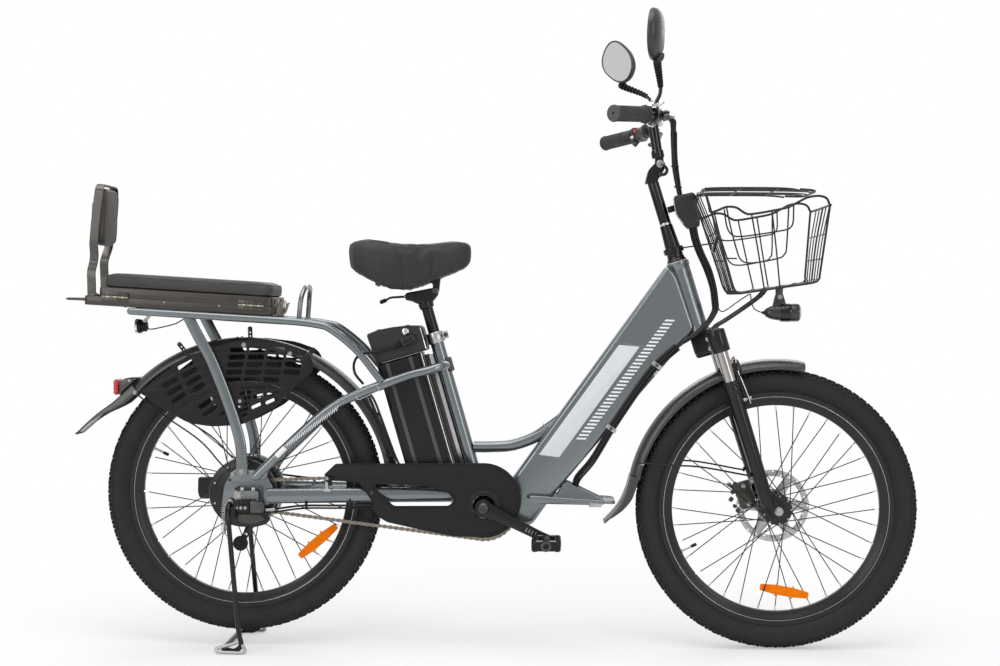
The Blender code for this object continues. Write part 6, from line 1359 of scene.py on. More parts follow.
def build_backrest():
    hoop = Piece()
    path = [(-0.8706, 0.05, 0.771), (-0.8708, 0.05, 0.8), (-0.8714, 0.049, 0.8259),
        (-0.869, 0.04, 0.848), (-0.8663, 0.044, 0.8637), (-0.864, 0.0545, 0.879),
        (-0.863, 0.0585, 0.89), (-0.8585, 0.0585, 0.94), (-0.8529, 0.0585, 0.985),
        (-0.851, 0.0585, 0.999),]
    line = smooth_path([(x, -y, z) for x, y, z in path], 6)
    bend = 0.018
    spine = list(line)
    last = line[-1]
    up = Vector((0.1, 0, 1)).normalized()
    for k in range(1, 9):
        angle = math.pi / 2 * k / 8
        spine.append(last + up * (bend * math.sin(angle)) + Vector((0,
            bend - bend * math.cos(angle), 0)))
    spine.append(Vector((last.x, 0, last.z)) + up * bend)
    whole = spine + [Vector((p.x, -p.y, p.z)) for p in spine[::-1][1:]]
    wide = 0.0095
    thick = 0.0019
    shape = bmesh.new()
    rings = []
    for k, p in enumerate(whole):
        along = (whole[min(k + 1, len(whole) - 1)] - whole[max(k - 1, 0)]).normalized()
        across_strip = Vector((up.z, 0, -up.x))
        out = along.cross(across_strip).normalized()
        across_strip = out.cross(along).normalized()
        half = wide
        corners = [(half - 0.0008, thick), (half, thick - 0.0008), (half, -thick + 0.0008),
            (half - 0.0008, -thick), (-half + 0.0008, -thick), (-half, -thick + 0.0008),
            (-half, thick - 0.0008), (-half + 0.0008, thick)]
        rings.append([shape.verts.new(p + across_strip * u + out * v) for u, v in corners])
    for low, high in zip(rings, rings[1:]):
        for n in range(8):
            m = (n + 1) % 8
            shape.faces.new((low[n], low[m], high[m], high[n]))
    shape.faces.new(rings[0][::-1])
    shape.faces.new(rings[-1])
    hoop.add(shape, STRIP)
    lean = Matrix.Rotation(math.radians(3.55), 4, "Y")
    tie = rounded(rectangle(0.06, 0.114), 0.003, 3)
    hoop.add(panel(tie, 0.0028, Matrix.Translation((-0.8668, 0, 0.948)) @ lean
        @ Matrix.Rotation(math.radians(90), 4, "Y"), [circle((-0.018, 0.034), 0.0035, 16),
        circle((-0.018, -0.034), 0.0035, 16)], 0.0006), STRIP)
    for y in (-0.034, 0.034):
        for z in (0.93, 0.966):
            at = Vector((-0.8668 - (z - 0.948) * math.tan(math.radians(-3.55)), y, z))
            add_bolt(hoop, at + Vector((-0.0014, 0, 0)), (-1, 0, -0.06), 0.0036, 0.004, STEEL)
    for side in (-1, 1):
        foot = BOX @ Matrix.Translation((-BOX_LENGTH / 2 + 0.0125, side * 0.043, 0.022))
        hoop.add(brick((0.019, 0.018, 0.0036), foot, 0.001, 3), STRIP)
        add_bolt(hoop, foot @ Vector((0.0045, side * 0.004, 0.0018)), foot.to_3x3()
            @ Vector((0, 0, 1)), 0.003, 0.0024, DARK_STEEL)
    hoop.done("backrest_hoop", "frame", ["backrest_frame"], "black_paint")

    horn = Piece()
    cup = facing((-0.793, 0.03, 0.7055), (-1, 0, 0))
    horn.add(lathe([(0.0, -0.024), (0.01, -0.024), (0.012, -0.0228), (0.0122, -0.015),
        (0.015, -0.011), (0.0158, -0.0095), (0.0158, -0.0008)], cup, 40), PLASTIC)
    horn.add(lathe([(0.0158, -0.0045), (0.0168, -0.004), (0.017, 0.0), (0.016, 0.0014),
        (0.0142, 0.0012), (0.014, -0.0008)], cup, 40), CHROME)
    horn.add(lathe([(0.0142, -0.0006), (0.011, 0.0), (0.006, -0.0012), (0.0, -0.0014)], cup, 32),
        PLASTIC)
    for k in range(6):
        turn = cup @ Matrix.Rotation(math.radians(60 * k), 4, "Z")
        horn.add(brick((0.008, 0.0012, 0.001), turn @ Matrix.Translation((0.0085, 0, 0.0002)),
            0.0003, 1), DARK_STEEL)
    strap = rounded([(-0.782, 0.7095), (-0.7745, 0.71), (-0.7595, 0.7312), (-0.76, 0.7325),
        (-0.767, 0.7325)], 0.0015, 3)
    horn.add(panel(strap, 0.0145, side_view(0.03), (), 0.0006), STEEL)
    add_bolt(horn, (-0.7725, 0.03 - 0.0075, 0.718), (0, -1, 0), 0.0032, 0.0035, STEEL)
    horn.add(brick((0.009, 0.011, 0.006), (-0.772, 0.03, 0.703), 0.001), PLASTIC)
    lead = smooth_path([(-0.77, 0.028, 0.702), (-0.758, 0.016, 0.699), (-0.738, 0.008, 0.702),
        (-0.7, 0.004, 0.711), (-0.68, 0.002, 0.721), (-0.652, 0.0, 0.726)], 6)
    horn.add(sweep(lead, 0.0014, 8), HOSE)
    horn.done("horn_with_ring", "frame", ["horn"], "black_plastic")

    wires = Piece()
    run = smooth_path([(-0.652, 0.0, 0.726), (-0.6, 0.03, 0.719), (-0.5, 0.062, 0.712),
        (-0.4, 0.072, 0.705), (-0.372, 0.0745, 0.696), (-0.33, 0.0745, 0.685),
        (-0.284, 0.0725, 0.645), (-0.24, 0.07, 0.6), (-0.19, 0.06, 0.593), (-0.13, 0.045, 0.602),
        (-0.085, 0.019, 0.606)], 7)
    wires.add(sweep(run, 0.0014, 8), HOSE)
    wires.done("lamp_wire_under_rack", "frame", (), "black_wire")


STRIP = finish("satin_steel_strip", (0.115, 0.108, 0.1), 0.28, 0.95, tint=0.15, grain=0.12,
    grain_scale=1200)
THREAD = finish("seat_thread", (0.055, 0.055, 0.056), 0.7, tint=0.2, grain=0.2, grain_scale=2500)
build_box()
build_cushions()
build_backrest()

# Drive

PITCH = 0.0127
CHAIN_Y = -0.045
JOCKEY = Vector((-0.49, 0, 0.3186))
CAGE_PIVOT = Vector((-0.515, 0, 0.284))
CAGE_FOOT = Vector((-0.543, 0, 0.2312))
CRANK_LENGTH = 0.152
CRANK_TURN = math.radians(-26)
GUARD_Y = -0.061
WHEELS = [(BB, PITCH / (2 * math.sin(math.pi / 36)), 36), (JOCKEY,
    PITCH / (2 * math.sin(math.pi / 8)), 8), (REAR_AXLE, PITCH / (2 * math.sin(math.pi / 14)), 14)]


def chain_wraps():
    """Where the chain lies on each toothed wheel: centre, radius, tooth step, middle, angle."""
    leaving = []
    for (a, radius_a, _), (b, radius_b, _) in zip(WHEELS, WHEELS[1:] + WHEELS[:1]):
        span = Vector((b.x - a.x, b.z - a.z))
        along = span.normalized()
        share = (radius_a - radius_b) / span.length
        outwards = along * share + Vector((-along.y, along.x)) * math.sqrt(1 - share**2)
        leaving.append(math.atan2(outwards.y, outwards.x))
    wraps = []
    for k, (centre, radius, teeth) in enumerate(WHEELS):
        angle = (leaving[k - 1] - leaving[k]) % (2 * math.pi)
        wraps.append((centre, radius, 2 * math.pi / teeth, leaving[k - 1] - angle / 2, angle))
    return wraps


def chain_route():
    """The pitch line, one roller per point."""
    turns = []
    for centre, radius, step, middle, angle in chain_wraps():
        half = math.ceil(angle / 2 / step - 0.35)
        turns.append([Vector((centre.x + radius * math.cos(middle - k * step), centre.z
            + radius * math.sin(middle - k * step))) for k in range(-half, half + 1)])
    line = []
    for turn, following in zip(turns, turns[1:] + turns[:1]):
        line.extend(turn)
        links = round((following[0] - turn[-1]).length / PITCH)
        line.extend(turn[-1].lerp(following[0], k / links) for k in range(1, links))
    return line


def toothed(wrap, teeth):
    """The outline of a sprocket with round roots between slim teeth."""
    centre, pitch_r, _, phase, _ = wrap
    points = []
    step = 2 * math.pi / teeth
    for k in range(teeth):
        middle = phase + (k + 0.5) * step
        for share, r in ((-0.36, -0.0044), (-0.26, -0.004), (-0.16, -0.0014), (-0.07, 0.0004),
                         (0.07, 0.0004), (0.16, -0.0014), (0.26, -0.004), (0.36, -0.0044)):
            angle = middle + share * step
            points.append((centre.x + (pitch_r + r) * math.cos(angle), centre.z
                + (pitch_r + r) * math.sin(angle)))
    return points


def link_plate(a, b, y, wide, thick):
    """One side plate of a chain link, round at both pins and drawn in at the waist."""
    along = (b - a)
    length = along.length
    along = along.normalized()
    aside = Vector((-along.y, along.x))
    outline = []
    for u, v in ((-0.78, 0.62), (-1.0, 0.0), (-0.78, -0.62), (-0.3, -1.0), (0.45, -0.92)):
        outline.append((a + along * (u * wide)) + aside * (v * wide))
    outline.append(a + along * (length / 2) - aside * (wide * 0.66))
    for u, v in ((-0.45, -0.92), (0.3, -1.0), (0.78, -0.62), (1.0, 0.0), (0.78, 0.62),
                 (0.3, 1.0), (-0.45, 0.92)):
        outline.append((b + along * (u * wide)) + aside * (v * wide))
    outline.append(a + along * (length / 2) + aside * (wide * 0.66))
    for u, v in ((0.45, 0.92), (-0.3, 1.0)):
        outline.append((a + along * (u * wide)) + aside * (v * wide))
    shape = bmesh.new()
    low = [shape.verts.new((p.x, y - thick / 2, p.y)) for p in outline]
    high = [shape.verts.new((p.x, y + thick / 2, p.y)) for p in outline]
    shape.faces.new(low)
    shape.faces.new(high[::-1])
    for k in range(len(low)):
        n = (k + 1) % len(low)
        shape.faces.new((low[n], low[k], high[k], high[n]))
    return shape


def build_chain():
    route = chain_route()
    count = len(route)
    chain = Piece()
    for k, here in enumerate(route):
        after = route[(k + 1) % count]
        gap = 0.0028 if k % 2 else 0.0015
        for side in (-1, 1):
            chain.add(link_plate(here, after, CHAIN_Y + side * gap, 0.004, 0.001), CHAIN_STEEL)
        chain.add(rod((here.x, CHAIN_Y - 0.0035, here.y), (here.x, CHAIN_Y + 0.0035, here.y),
            0.0017, 8), DARK_STEEL)
    chain.done("roller_chain", "frame", ["chain"], "brass")


def arm_end(side):
    turn = CRANK_TURN if side < 0 else CRANK_TURN + math.pi
    return BB + CRANK_LENGTH * Vector((math.cos(turn), 0, math.sin(turn)))


def build_crankset():
    wraps = chain_wraps()
    cranks = Piece()
    holes = [circle((BB.x + 0.0475 * math.cos(a), BB.z + 0.0475 * math.sin(a)), 0.0125, 18, a)
        for a in (2 * math.pi * (k + 0.5) / 5 for k in range(5))]
    cranks.add(panel(toothed(wraps[0], 36), 0.0022, side_view(CHAIN_Y), holes, 0.0003), STEEL)
    for k in range(5):
        a = 2 * math.pi * k / 5
        at = (BB.x + 0.033 * math.cos(a), CHAIN_Y - 0.0011, BB.z + 0.033 * math.sin(a))
        add_bolt(cranks, at, (0, -1, 0), 0.0032, 0.003, STEEL, 16)
    cranks.add(lathe([(0.009, CHAIN_Y + 0.004), (0.0175, CHAIN_Y + 0.004), (0.026, CHAIN_Y),
        (0.0175, CHAIN_Y - 0.006), (0.0165, -0.068), (0.009, -0.068)], wheel_frame(BB), 40,
        closed=True), BLACK)
    cranks.add(across(BB, -0.044, 0.062, 0.0085, 24), STEEL)
    for side, y in ((-1, -0.0745), (1, 0.06)):
        end = arm_end(side)
        along = (end - BB).normalized()
        turn = math.atan2(along.z, along.x)
        outline = arc((BB.x, BB.z), 0.0185, math.degrees(turn) + 62, math.degrees(turn) + 298, 20)
        waist = BB + along * 0.06
        normal = Vector((-along.z, 0, along.x))
        low = waist - normal * 0.0118
        outline += [(low.x, low.z)]
        near = end - along * 0.02 - normal * 0.0102
        outline += [(near.x, near.z)]
        outline += arc((end.x, end.z), 0.0125, math.degrees(turn) - 62, math.degrees(turn) + 62, 12)
        near = end - along * 0.02 + normal * 0.0102
        outline += [(near.x, near.z)]
        high = waist + normal * 0.0118
        outline += [(high.x, high.z)]
        cranks.add(panel(outline, 0.0115, side_view(y), (), 0.0026, 4), BLACK)
        face = y + side * 0.0057
        for k in range(4):
            at = BB + along * (0.104 + k * 0.0072)
            slot = Matrix.Translation((at.x, face, at.z)) @ Matrix.Rotation(-turn, 4, "Y")
            cranks.add(brick((0.002, 0.001, 0.0085), slot, 0.0004), STEEL)
        ridge = [BB + along * 0.026, BB + along * 0.098]
        points = [(p.x, face - side * 0.0003, p.z) for p in (ridge[0], ridge[0].lerp(ridge[1], 0.5),
            ridge[1])]
        cranks.add(sweep(points, [0.0034, 0.0028, 0.0022], 12), BLACK)
        cranks.add(lathe([(0.0, side * 0.0008), (0.006, side * 0.0008), (0.0062, side * 0.0045),
            (0.0085, side * 0.0048), (0.011, side * 0.003), (0.0128, 0.0), (0.0128, -side * 0.001),
            (0.0, -side * 0.001)], wheel_frame(BB + Vector((0, face, 0))), 36), DARK_STEEL)
        add_bolt(cranks, BB + Vector((0, face + side * 0.0006, 0)), (0, side, 0), 0.0048, 0.004,
            DARK_STEEL)
        cranks.add(lathe([(0.0, side * 0.0004), (0.0055, side * 0.0004), (0.0065, side * 0.0022),
            (0.0086, side * 0.002), (0.0092, 0.0), (0.0092, -side * 0.001), (0.0, -side * 0.001)],
            wheel_frame(Vector((end.x, face, end.z))), 28), STEEL)
        reach = (-0.136 - 0.038) if side < 0 else (0.1215 + 0.038)
        cranks.add(across(end, y, reach, 0.005, 20), STEEL)
        collar = y + side * 0.0095
        cranks.add(across(end, y, collar, 0.0078, 6), STEEL)
    cranks.done("crankset_with_arms", "cranks", ["crankset"], "black_paint")

    for side, name in ((-1, "right"), (1, "left")):
        centre = arm_end(side)
        centre.y = -0.136 if side < 0 else 0.1215
        pedal = Piece()
        here = Matrix.Translation(centre)
        pedal.add(lathe([(0.0056, -0.04), (0.0095, -0.04), (0.0105, -0.038), (0.0105, 0.038),
            (0.0095, 0.04), (0.0056, 0.04)], wheel_frame(centre), 28, closed=True), PLASTIC)
        for ahead in (-1, 1):
            pedal.add(brick((0.013, 0.084, 0.02), here @ Matrix.Translation((ahead * 0.0235, 0, 0)),
                0.003, 3), PLASTIC)
            for k in range(13):
                rib = here @ Matrix.Translation((ahead * 0.0296, -0.0372 + k * 0.0062, 0))
                pedal.add(brick((0.0024, 0.003, 0.0205), rib, 0.0006), PLASTIC)
            for top in (-1, 1):
                bar = here @ Matrix.Translation((ahead * 0.0235, 0, top * 0.0106))
                pedal.add(brick((0.01, 0.078, 0.0022), bar, 0.0008), PLASTIC)
                for k in range(9):
                    tooth = here @ Matrix.Translation((ahead * 0.024, -0.034 + k * 0.0085,
                        top * 0.012))
                    pedal.add(brick((0.0085, 0.0024, 0.0018), tooth, 0.0005), PLASTIC)
            # The amber pedal reflectors carry the painted glow of their finish.
            lens = here @ Matrix.Translation((ahead * 0.0312, 0, 0))
            pedal.add(brick((0.001, 0.03, 0.012), lens, 0.0004), AMBER)
        for k in (-1, 1):
            plate_here = here @ Matrix.Translation((0, k * 0.04, 0))
            pedal.add(brick((0.059, 0.0075, 0.0215), plate_here, 0.0034, 3), PLASTIC)
            for row in range(4):
                for ahead in (-1, 1):
                    rib = here @ Matrix.Translation((ahead * 0.0225, k * 0.0438, -0.0072
                        + row * 0.0048))
                    pedal.add(brick((0.012, 0.0012, 0.0024), rib, 0.0005), SOFT_RUBBER)
            pedal.add(lathe([(0.006, k * 0.0436), (0.0108, k * 0.0436), (0.0112, k * 0.0446),
                (0.008, k * 0.0452), (0.006, k * 0.0452)], wheel_frame(centre), 24, closed=True),
                DARK_STEEL)
            for ahead in (-1, 1):
                clip = here @ Matrix.Translation((ahead * 0.014, k * 0.04, 0.0112))
                pedal.add(brick((0.014, 0.0065, 0.0018), clip, 0.0006), ALLOY)
        pedal.done("pedal_ribbed_" + name, name + "_pedal", ["pedal_" + name], "black_plastic")

    free = Piece()
    inner = circle((REAR_AXLE.x, REAR_AXLE.z), 0.0105, 24)
    free.add(panel(toothed(wraps[2], 14), 0.0022, side_view(CHAIN_Y), [inner], 0.0003), STEEL)
    free.add(lathe([(0.0068, -0.039), (0.0195, -0.039), (0.02, -0.04), (0.02, -0.056),
        (0.0185, -0.059), (0.0068, -0.059)], wheel_frame(REAR_AXLE), 40, closed=True), DARK_STEEL)
    free.add(lathe([(0.01, -0.0588), (0.015, -0.0588), (0.0156, -0.0594), (0.015, -0.06),
        (0.01, -0.06)], wheel_frame(REAR_AXLE), 32, closed=True), STEEL)
    free.done("freewheel_toothed", "cog", ["freewheel"], "steel")

    small = Piece()
    bore = circle((JOCKEY.x, JOCKEY.z), 0.0036, 16)
    vents = [circle((JOCKEY.x + 0.0085 * math.cos(a), JOCKEY.z + 0.0085 * math.sin(a)), 0.0016, 10)
        for a in (2 * math.pi * k / 5 for k in range(5))]
    small.add(panel(toothed(wraps[1], 8), 0.0024, side_view(CHAIN_Y), [bore] + vents, 0.0003),
        PLASTIC)
    small.add(lathe([(0.0036, -0.041), (0.006, -0.041), (0.0062, -0.042), (0.0062, -0.048),
        (0.006, -0.049), (0.0036, -0.049)], wheel_frame(JOCKEY), 24, closed=True), DARK_STEEL)
    small.done("jockey_toothed", "jockey", ["jockey_wheel"], "black_plastic")


def build_derailleur():
    arm = Piece()
    jockey, foot = Vector((JOCKEY.x, JOCKEY.z)), Vector((CAGE_FOOT.x, CAGE_FOOT.z))
    along = (jockey - foot).normalized()
    aside = Vector((-along.y, along.x))
    turn = math.degrees(math.atan2(along.y, along.x))
    pivot = Vector((CAGE_PIVOT.x, CAGE_PIVOT.z))
    neck = foot + along * 0.024
    outline = arc(jockey, 0.0085, turn - 90, turn + 90, 14)
    outline += [pivot + aside * 0.0105, neck + aside * 0.007]
    outline += arc(foot, 0.0165, turn + 25, turn + 335, 36)
    outline += [neck - aside * 0.007, pivot - aside * 0.0105]
    holes = [circle((neck.x, neck.y), 0.003, 16)]
    arm.add(panel(outline, 0.0022, side_view(-0.054), holes, 0.0006), BLACK)
    arm.add(across(JOCKEY, -0.055, -0.0415, 0.0029, 16), STEEL)
    add_bolt(arm, (JOCKEY.x, -0.055, JOCKEY.z), (0, -1, 0), 0.0034, 0.0025, STEEL)
    disc = wheel_frame(CAGE_FOOT)
    arm.add(lathe([(0.0, -0.058), (0.004, -0.058), (0.0052, -0.0572), (0.006, -0.056),
        (0.013, -0.056), (0.015, -0.0566), (0.016, -0.0556), (0.0162, -0.05), (0.015, -0.049),
        (0.0, -0.049)], disc, 40), PLASTIC)
    arm.done("tensioner_arm", "cage", ["derailleur_cage"], "steel")

    mech = Piece()
    mech.add(brick((0.037, 0.0215, 0.027), (-0.5325, -0.089, 0.316), 0.004, 4), PLASTIC)
    mech.add(brick((0.03, 0.0215, 0.0275), (-0.5, -0.089, 0.316), 0.005, 4), DARK_STEEL)
    mech.add(brick((0.027, 0.002, 0.015), (-0.533, -0.1002, 0.315), 0.0007), BLACK)
    for k in range(3):
        add_bolt(mech, (-0.542 + k * 0.0095, -0.1008, 0.315), (0, -1, 0), 0.0026, 0.0024, STEEL, 12)
    fan = rounded([(-0.552, 0.306), (-0.486, 0.306), (-0.469, 0.291), (-0.478, 0.279),
        (-0.505, 0.272), (-0.538, 0.276), (-0.551, 0.292)], 0.006, 5)
    mech.add(panel(fan, 0.0138, side_view(-0.089), (), 0.0022, 3), BLACK)
    small_fan = rounded([(-0.545, 0.3), (-0.492, 0.3), (-0.48, 0.29), (-0.506, 0.279),
        (-0.536, 0.282)], 0.004, 4)
    mech.add(panel(small_fan, 0.0016, side_view(-0.0962), (), 0.0006), SATIN)
    mech.add(across((-0.5, 0, 0.3265), -0.0718, -0.08, 0.004, 18), STEEL)
    mech.add(across(CAGE_PIVOT, -0.083, -0.0515, 0.0039, 18), STEEL)
    mech.add(lathe([(0.004, -0.083), (0.009, -0.083), (0.0095, -0.082), (0.0095, -0.059),
        (0.0088, -0.058), (0.004, -0.058)], wheel_frame(CAGE_PIVOT), 28, closed=True), BLACK)
    guard = smooth_path([(-0.492, -0.095, 0.325), (-0.491, -0.103, 0.35), (-0.5, -0.1045, 0.356),
        (-0.534, -0.1045, 0.356), (-0.543, -0.098, 0.356), (-0.544, -0.08, 0.356),
        (-0.544, -0.073, 0.352)], 7)
    mech.add(sweep(guard, 0.0035, 18), BLACK)
    for x in (-0.528, -0.504):
        mech.add(rod((x - 0.004, -0.1045, 0.356), (x + 0.004, -0.1045, 0.356), 0.0044, 18, 0.0008),
            STEEL)
    loop = smooth_path([(-0.544, -0.099, 0.322), (-0.545, -0.105, 0.316), (-0.545, -0.1065, 0.306),
        (-0.5445, -0.103, 0.296), (-0.544, -0.093, 0.295)], 7)
    mech.add(sweep(loop, 0.0026, 12), HOSE)
    inner = smooth_path([(-0.469, -0.08, 0.309), (-0.44, -0.074, 0.313), (-0.4, -0.071, 0.317),
        (-0.34, -0.0665, 0.3168), (-0.28, -0.06, 0.3165), (-0.23, -0.056, 0.316)], 7)
    mech.add(sweep(inner, 0.0024, 12), HOSE)
    mech.add(sweep([p + Vector((0.004, 0.004, -0.0062)) for p in inner], 0.0021, 12), HOSE)
    mech.add(rod((-0.482, -0.083, 0.308), (-0.462, -0.079, 0.3095), 0.0034, 14, 0.0006), STEEL)
    for x in (-0.395, -0.3):
        mech.add(brick((0.005, 0.012, 0.015), (x, -0.067 - (x + 0.3) * -0.04, 0.3165), 0.0012),
            PLASTIC)
    mech.done("derailleur_block", "frame", ["derailleur"], "black_paint")


def build_chain_guard():
    guard = Piece()
    centre = (BB.x, BB.z + 0.015)
    outline = [(-0.3563, 0.3827), (-0.3312, 0.4065)] + arc(centre, 0.08, 90, -100, 40)
    outline += [(-0.0753, 0.2515), (-0.147, 0.2655), (-0.2187, 0.2815), (-0.2375, 0.2925),
        (-0.253, 0.3124), (-0.2479, 0.3201), (-0.2644, 0.3455), (-0.2818, 0.3694),
        (-0.3395, 0.3713)]
    slot = rounded([(-0.2476, 0.3652), (-0.2413, 0.35), (-0.2045, 0.3154), (-0.085, 0.316),
        (-0.0725, 0.329), (-0.09, 0.35), (-0.1317, 0.3592), (-0.2, 0.364)], 0.007, 5)
    hub_hole = circle((BB.x, BB.z), 0.027, 40)
    edge = rounded(outline, 0.0035, 4)
    guard.add(panel(edge, 0.0017, side_view(GUARD_Y), [slot, hub_hole], 0.0005), GUARD_PLASTIC)
    bead = [Vector((p[0], GUARD_Y - 0.0006, p[1])) for p in edge]
    guard.add(sweep(bead, 0.0014, 10, True), GUARD_PLASTIC)
    rim = [(BB.x + 0.0745 * math.cos(math.radians(a)), GUARD_Y - 0.0009, centre[1]
        + 0.0745 * math.sin(math.radians(a))) for a in range(86, -101, -4)]
    guard.add(sweep(rim, 0.0011, 10), GUARD_PLASTIC)
    for grow, out in ((0.0016, 0.001), (0.0078, 0.0006)):
        ring = [Vector((p[0], GUARD_Y - out, p[1])) for p in slot]
        middle = sum(ring, Vector()) / len(ring)
        ring = [p + (p - middle).normalized() * grow for p in ring]
        guard.add(sweep(ring, 0.0018 if grow < 0.002 else 0.0009, 10, True), GUARD_PLASTIC)
    strip_edge = [Vector((-0.3312, 0, 0.406))]
    strip_edge += [Vector((p[0], 0, p[1] - 0.0005)) for p in arc(centre, 0.08, 90, 35, 14)]
    lip = bmesh.new()
    rows = []
    for p in strip_edge:
        rows.append([lip.verts.new((p.x, y, p.z - drop)) for y, drop in ((GUARD_Y - 0.0008, 0.0),
            (GUARD_Y + 0.0088, 0.0004), (GUARD_Y + 0.0088, 0.002), (GUARD_Y - 0.0008, 0.0018))])
    for low, high in zip(rows, rows[1:]):
        for k in range(4):
            n = (k + 1) % 4
            lip.faces.new((low[k], low[n], high[n], high[k]))
    lip.faces.new(rows[0][::-1])
    lip.faces.new(rows[-1])
    guard.add(lip, GUARD_PLASTIC)
    guard.add(lathe([(0.0268, -0.0004), (0.0268, -0.004), (0.029, -0.0044), (0.0345, -0.0016),
        (0.036, -0.0006)], wheel_frame(Vector((BB.x, GUARD_Y, BB.z))), 56), GUARD_PLASTIC)
    guard.add(lathe([(0.0262, 0.0012), (0.0268, 0.0012), (0.0268, -0.003), (0.0262, -0.003)],
        wheel_frame(Vector((BB.x, GUARD_Y, BB.z))), 56, closed=True), DARK_STEEL)
    guard.add(across((-0.253, 0, 0.3445), GUARD_Y, GUARD_Y + 0.0048, 0.005, 18), GUARD_PLASTIC)
    add_bolt(guard, (-0.253, GUARD_Y - 0.0009, 0.3445), (0, -1, 0), 0.0026, 0.0018, DARK_STEEL, 12)
    guard.add(brick((0.014, 0.003, 0.018), (-0.346, -0.066, 0.369), 0.001), PLASTIC)
    add_bolt(guard, (-0.35, -0.0677, 0.376), (0, -1, 0), 0.0026, 0.0022, STEEL, 12)
    guard.done("chain_guard_moulded", "frame", ["chain_guard"], "black_plastic")

    clip = Piece()
    clip.add(brick((0.006, 0.005, 0.02), (-0.35, -0.069, 0.3585), 0.0012), ALLOY)
    clip.add(brick((0.021, 0.006, 0.007), (-0.35, -0.069, 0.35), 0.0022, 3), ALLOY)
    for k in (-1, 1):
        add_bolt(clip, (-0.35 + k * 0.0068, -0.072, 0.35), (0, -1, 0), 0.0022, 0.0018, STEEL, 12)
    clip.done("guard_clip_on_stay", "frame", (), "steel")


def build_stand():
    stand = Piece()
    pivot = (-0.56, 0, 0.325)
    for side in (-1, 1):
        leg = smooth_path([(-0.56, side * 0.077, 0.325), (-0.5605, side * 0.092, 0.318),
            (-0.559, side * 0.105, 0.295), (-0.556, side * 0.108, 0.265),
            (-0.546, side * 0.108, 0.15), (-0.537, side * 0.108, 0.052),
            (-0.531, side * 0.11, 0.02), (-0.545, side * 0.108, 0.0065),
            (-0.56, side * 0.103, 0.0065), (-0.572, side * 0.095, 0.0065),
            (-0.574, side * 0.05, 0.0065), (-0.574, 0, 0.0065)], 7)
        stand.add(sweep(leg, STAND_R, 20), BLACK)
        stand.add(across(pivot, side * 0.0668, side * 0.08, 0.0056, 18), STEEL)
        stand.add(brick((0.012, 0.0035, 0.019), (-0.56, side * 0.08, 0.322), 0.003, 3), BLACK)
        add_bolt(stand, (-0.56, side * 0.0815, 0.325), (0, side, 0), 0.005, 0.0045, STEEL)
        foot = smooth_path([(-0.531, side * 0.111, 0.023), (-0.522, side * 0.114, 0.01),
            (-0.525, side * 0.116, 0.0045), (-0.55, side * 0.1165, 0.0045),
            (-0.58, side * 0.115, 0.006), (-0.583, side * 0.113, 0.012),
            (-0.56, side * 0.111, 0.019), (-0.536, side * 0.11, 0.026)], 6)
        stand.add(sweep(foot, 0.0036, 14), ALLOY)
    stand.done("centre_stand_legs", "stand", ["center_stand"], "black_paint")

    spring = Piece()
    turns, steps = 15, 12
    low, high = 0.257, 0.317
    line = [Vector((-0.5702 + 0.0048 * math.cos(2 * math.pi * k / steps), -0.1005
        + 0.0048 * math.sin(2 * math.pi * k / steps), low + (high - low) * k / (turns * steps)))
        for k in range(turns * steps + 1)]
    spring.add(sweep(line, 0.001, 8), STEEL)
    top = smooth_path([(-0.5654, -0.1005, 0.317), (-0.567, -0.1, 0.32), (-0.564, -0.095, 0.3235),
        (-0.56, -0.09, 0.324)], 5)
    spring.add(sweep(top, 0.001, 8), STEEL)
    low_hook = smooth_path([(-0.5654, -0.1005, 0.257), (-0.562, -0.101, 0.253),
        (-0.557, -0.102, 0.25)], 5)
    spring.add(sweep(low_hook, 0.001, 8), STEEL)
    spring.done("stand_spring_coil", "stand", ["stand_spring"], "steel")


def build_rear_caliper():
    brake = Piece()
    body = rounded([(-0.659, 0.364), (-0.612, 0.364), (-0.61, 0.33), (-0.618, 0.316),
        (-0.655, 0.316), (-0.66, 0.33)], 0.006, 4)
    for y, thick in ((0.048, 0.007), (0.0606, 0.0095)):
        brake.add(panel(body, thick, side_view(y), (), 0.0018, 3), BLACK)
    brake.add(panel(rounded([(-0.659, 0.364), (-0.64, 0.364), (-0.645, 0.318), (-0.66, 0.33)],
        0.003, 3), 0.019, side_view(0.0548), (), 0.0012), BLACK)
    brake.add(lathe([(0.0, 0.0), (0.0105, 0.0), (0.011, 0.001), (0.011, 0.0045), (0.0095, 0.006),
        (0.0, 0.006)], wheel_frame(Vector((-0.6345, 0.0648, 0.341))), 32), ALLOY)
    brake.add(brick((0.056, 0.0058, 0.017), (-0.594, 0.063, 0.351), 0.002, 3), BLACK)
    for x in (-0.612, -0.58):
        add_bolt(brake, (x, 0.066, 0.351), (0, 1, 0), 0.0036, 0.0045, STEEL)
    arm = rounded([(-0.638, 0.345), (-0.63, 0.345), (-0.606, 0.373), (-0.612, 0.377)], 0.002, 3)
    brake.add(panel(arm, 0.003, side_view(0.0722), (), 0.0006), STEEL)
    cable = smooth_path([(-0.609, 0.0735, 0.374), (-0.59, 0.077, 0.379), (-0.54, 0.086, 0.376),
        (-0.47, 0.09, 0.366), (-0.4, 0.085, 0.359), (-0.3, 0.069, 0.357), (-0.2, 0.056, 0.357),
        (-0.09, 0.048, 0.355), (-0.03, 0.042, 0.344), (0.002, 0.036, 0.33)], 7)
    brake.add(sweep(cable, 0.0024, 12), HOSE)
    for x, y, z in ((-0.4, 0.0775, 0.356), (-0.2, 0.052, 0.353)):
        brake.add(brick((0.005, 0.014, 0.01), (x, y, z), 0.0014), PLASTIC)
    brake.done("rear_brake_caliper", "frame", ["rear_caliper"], "steel")


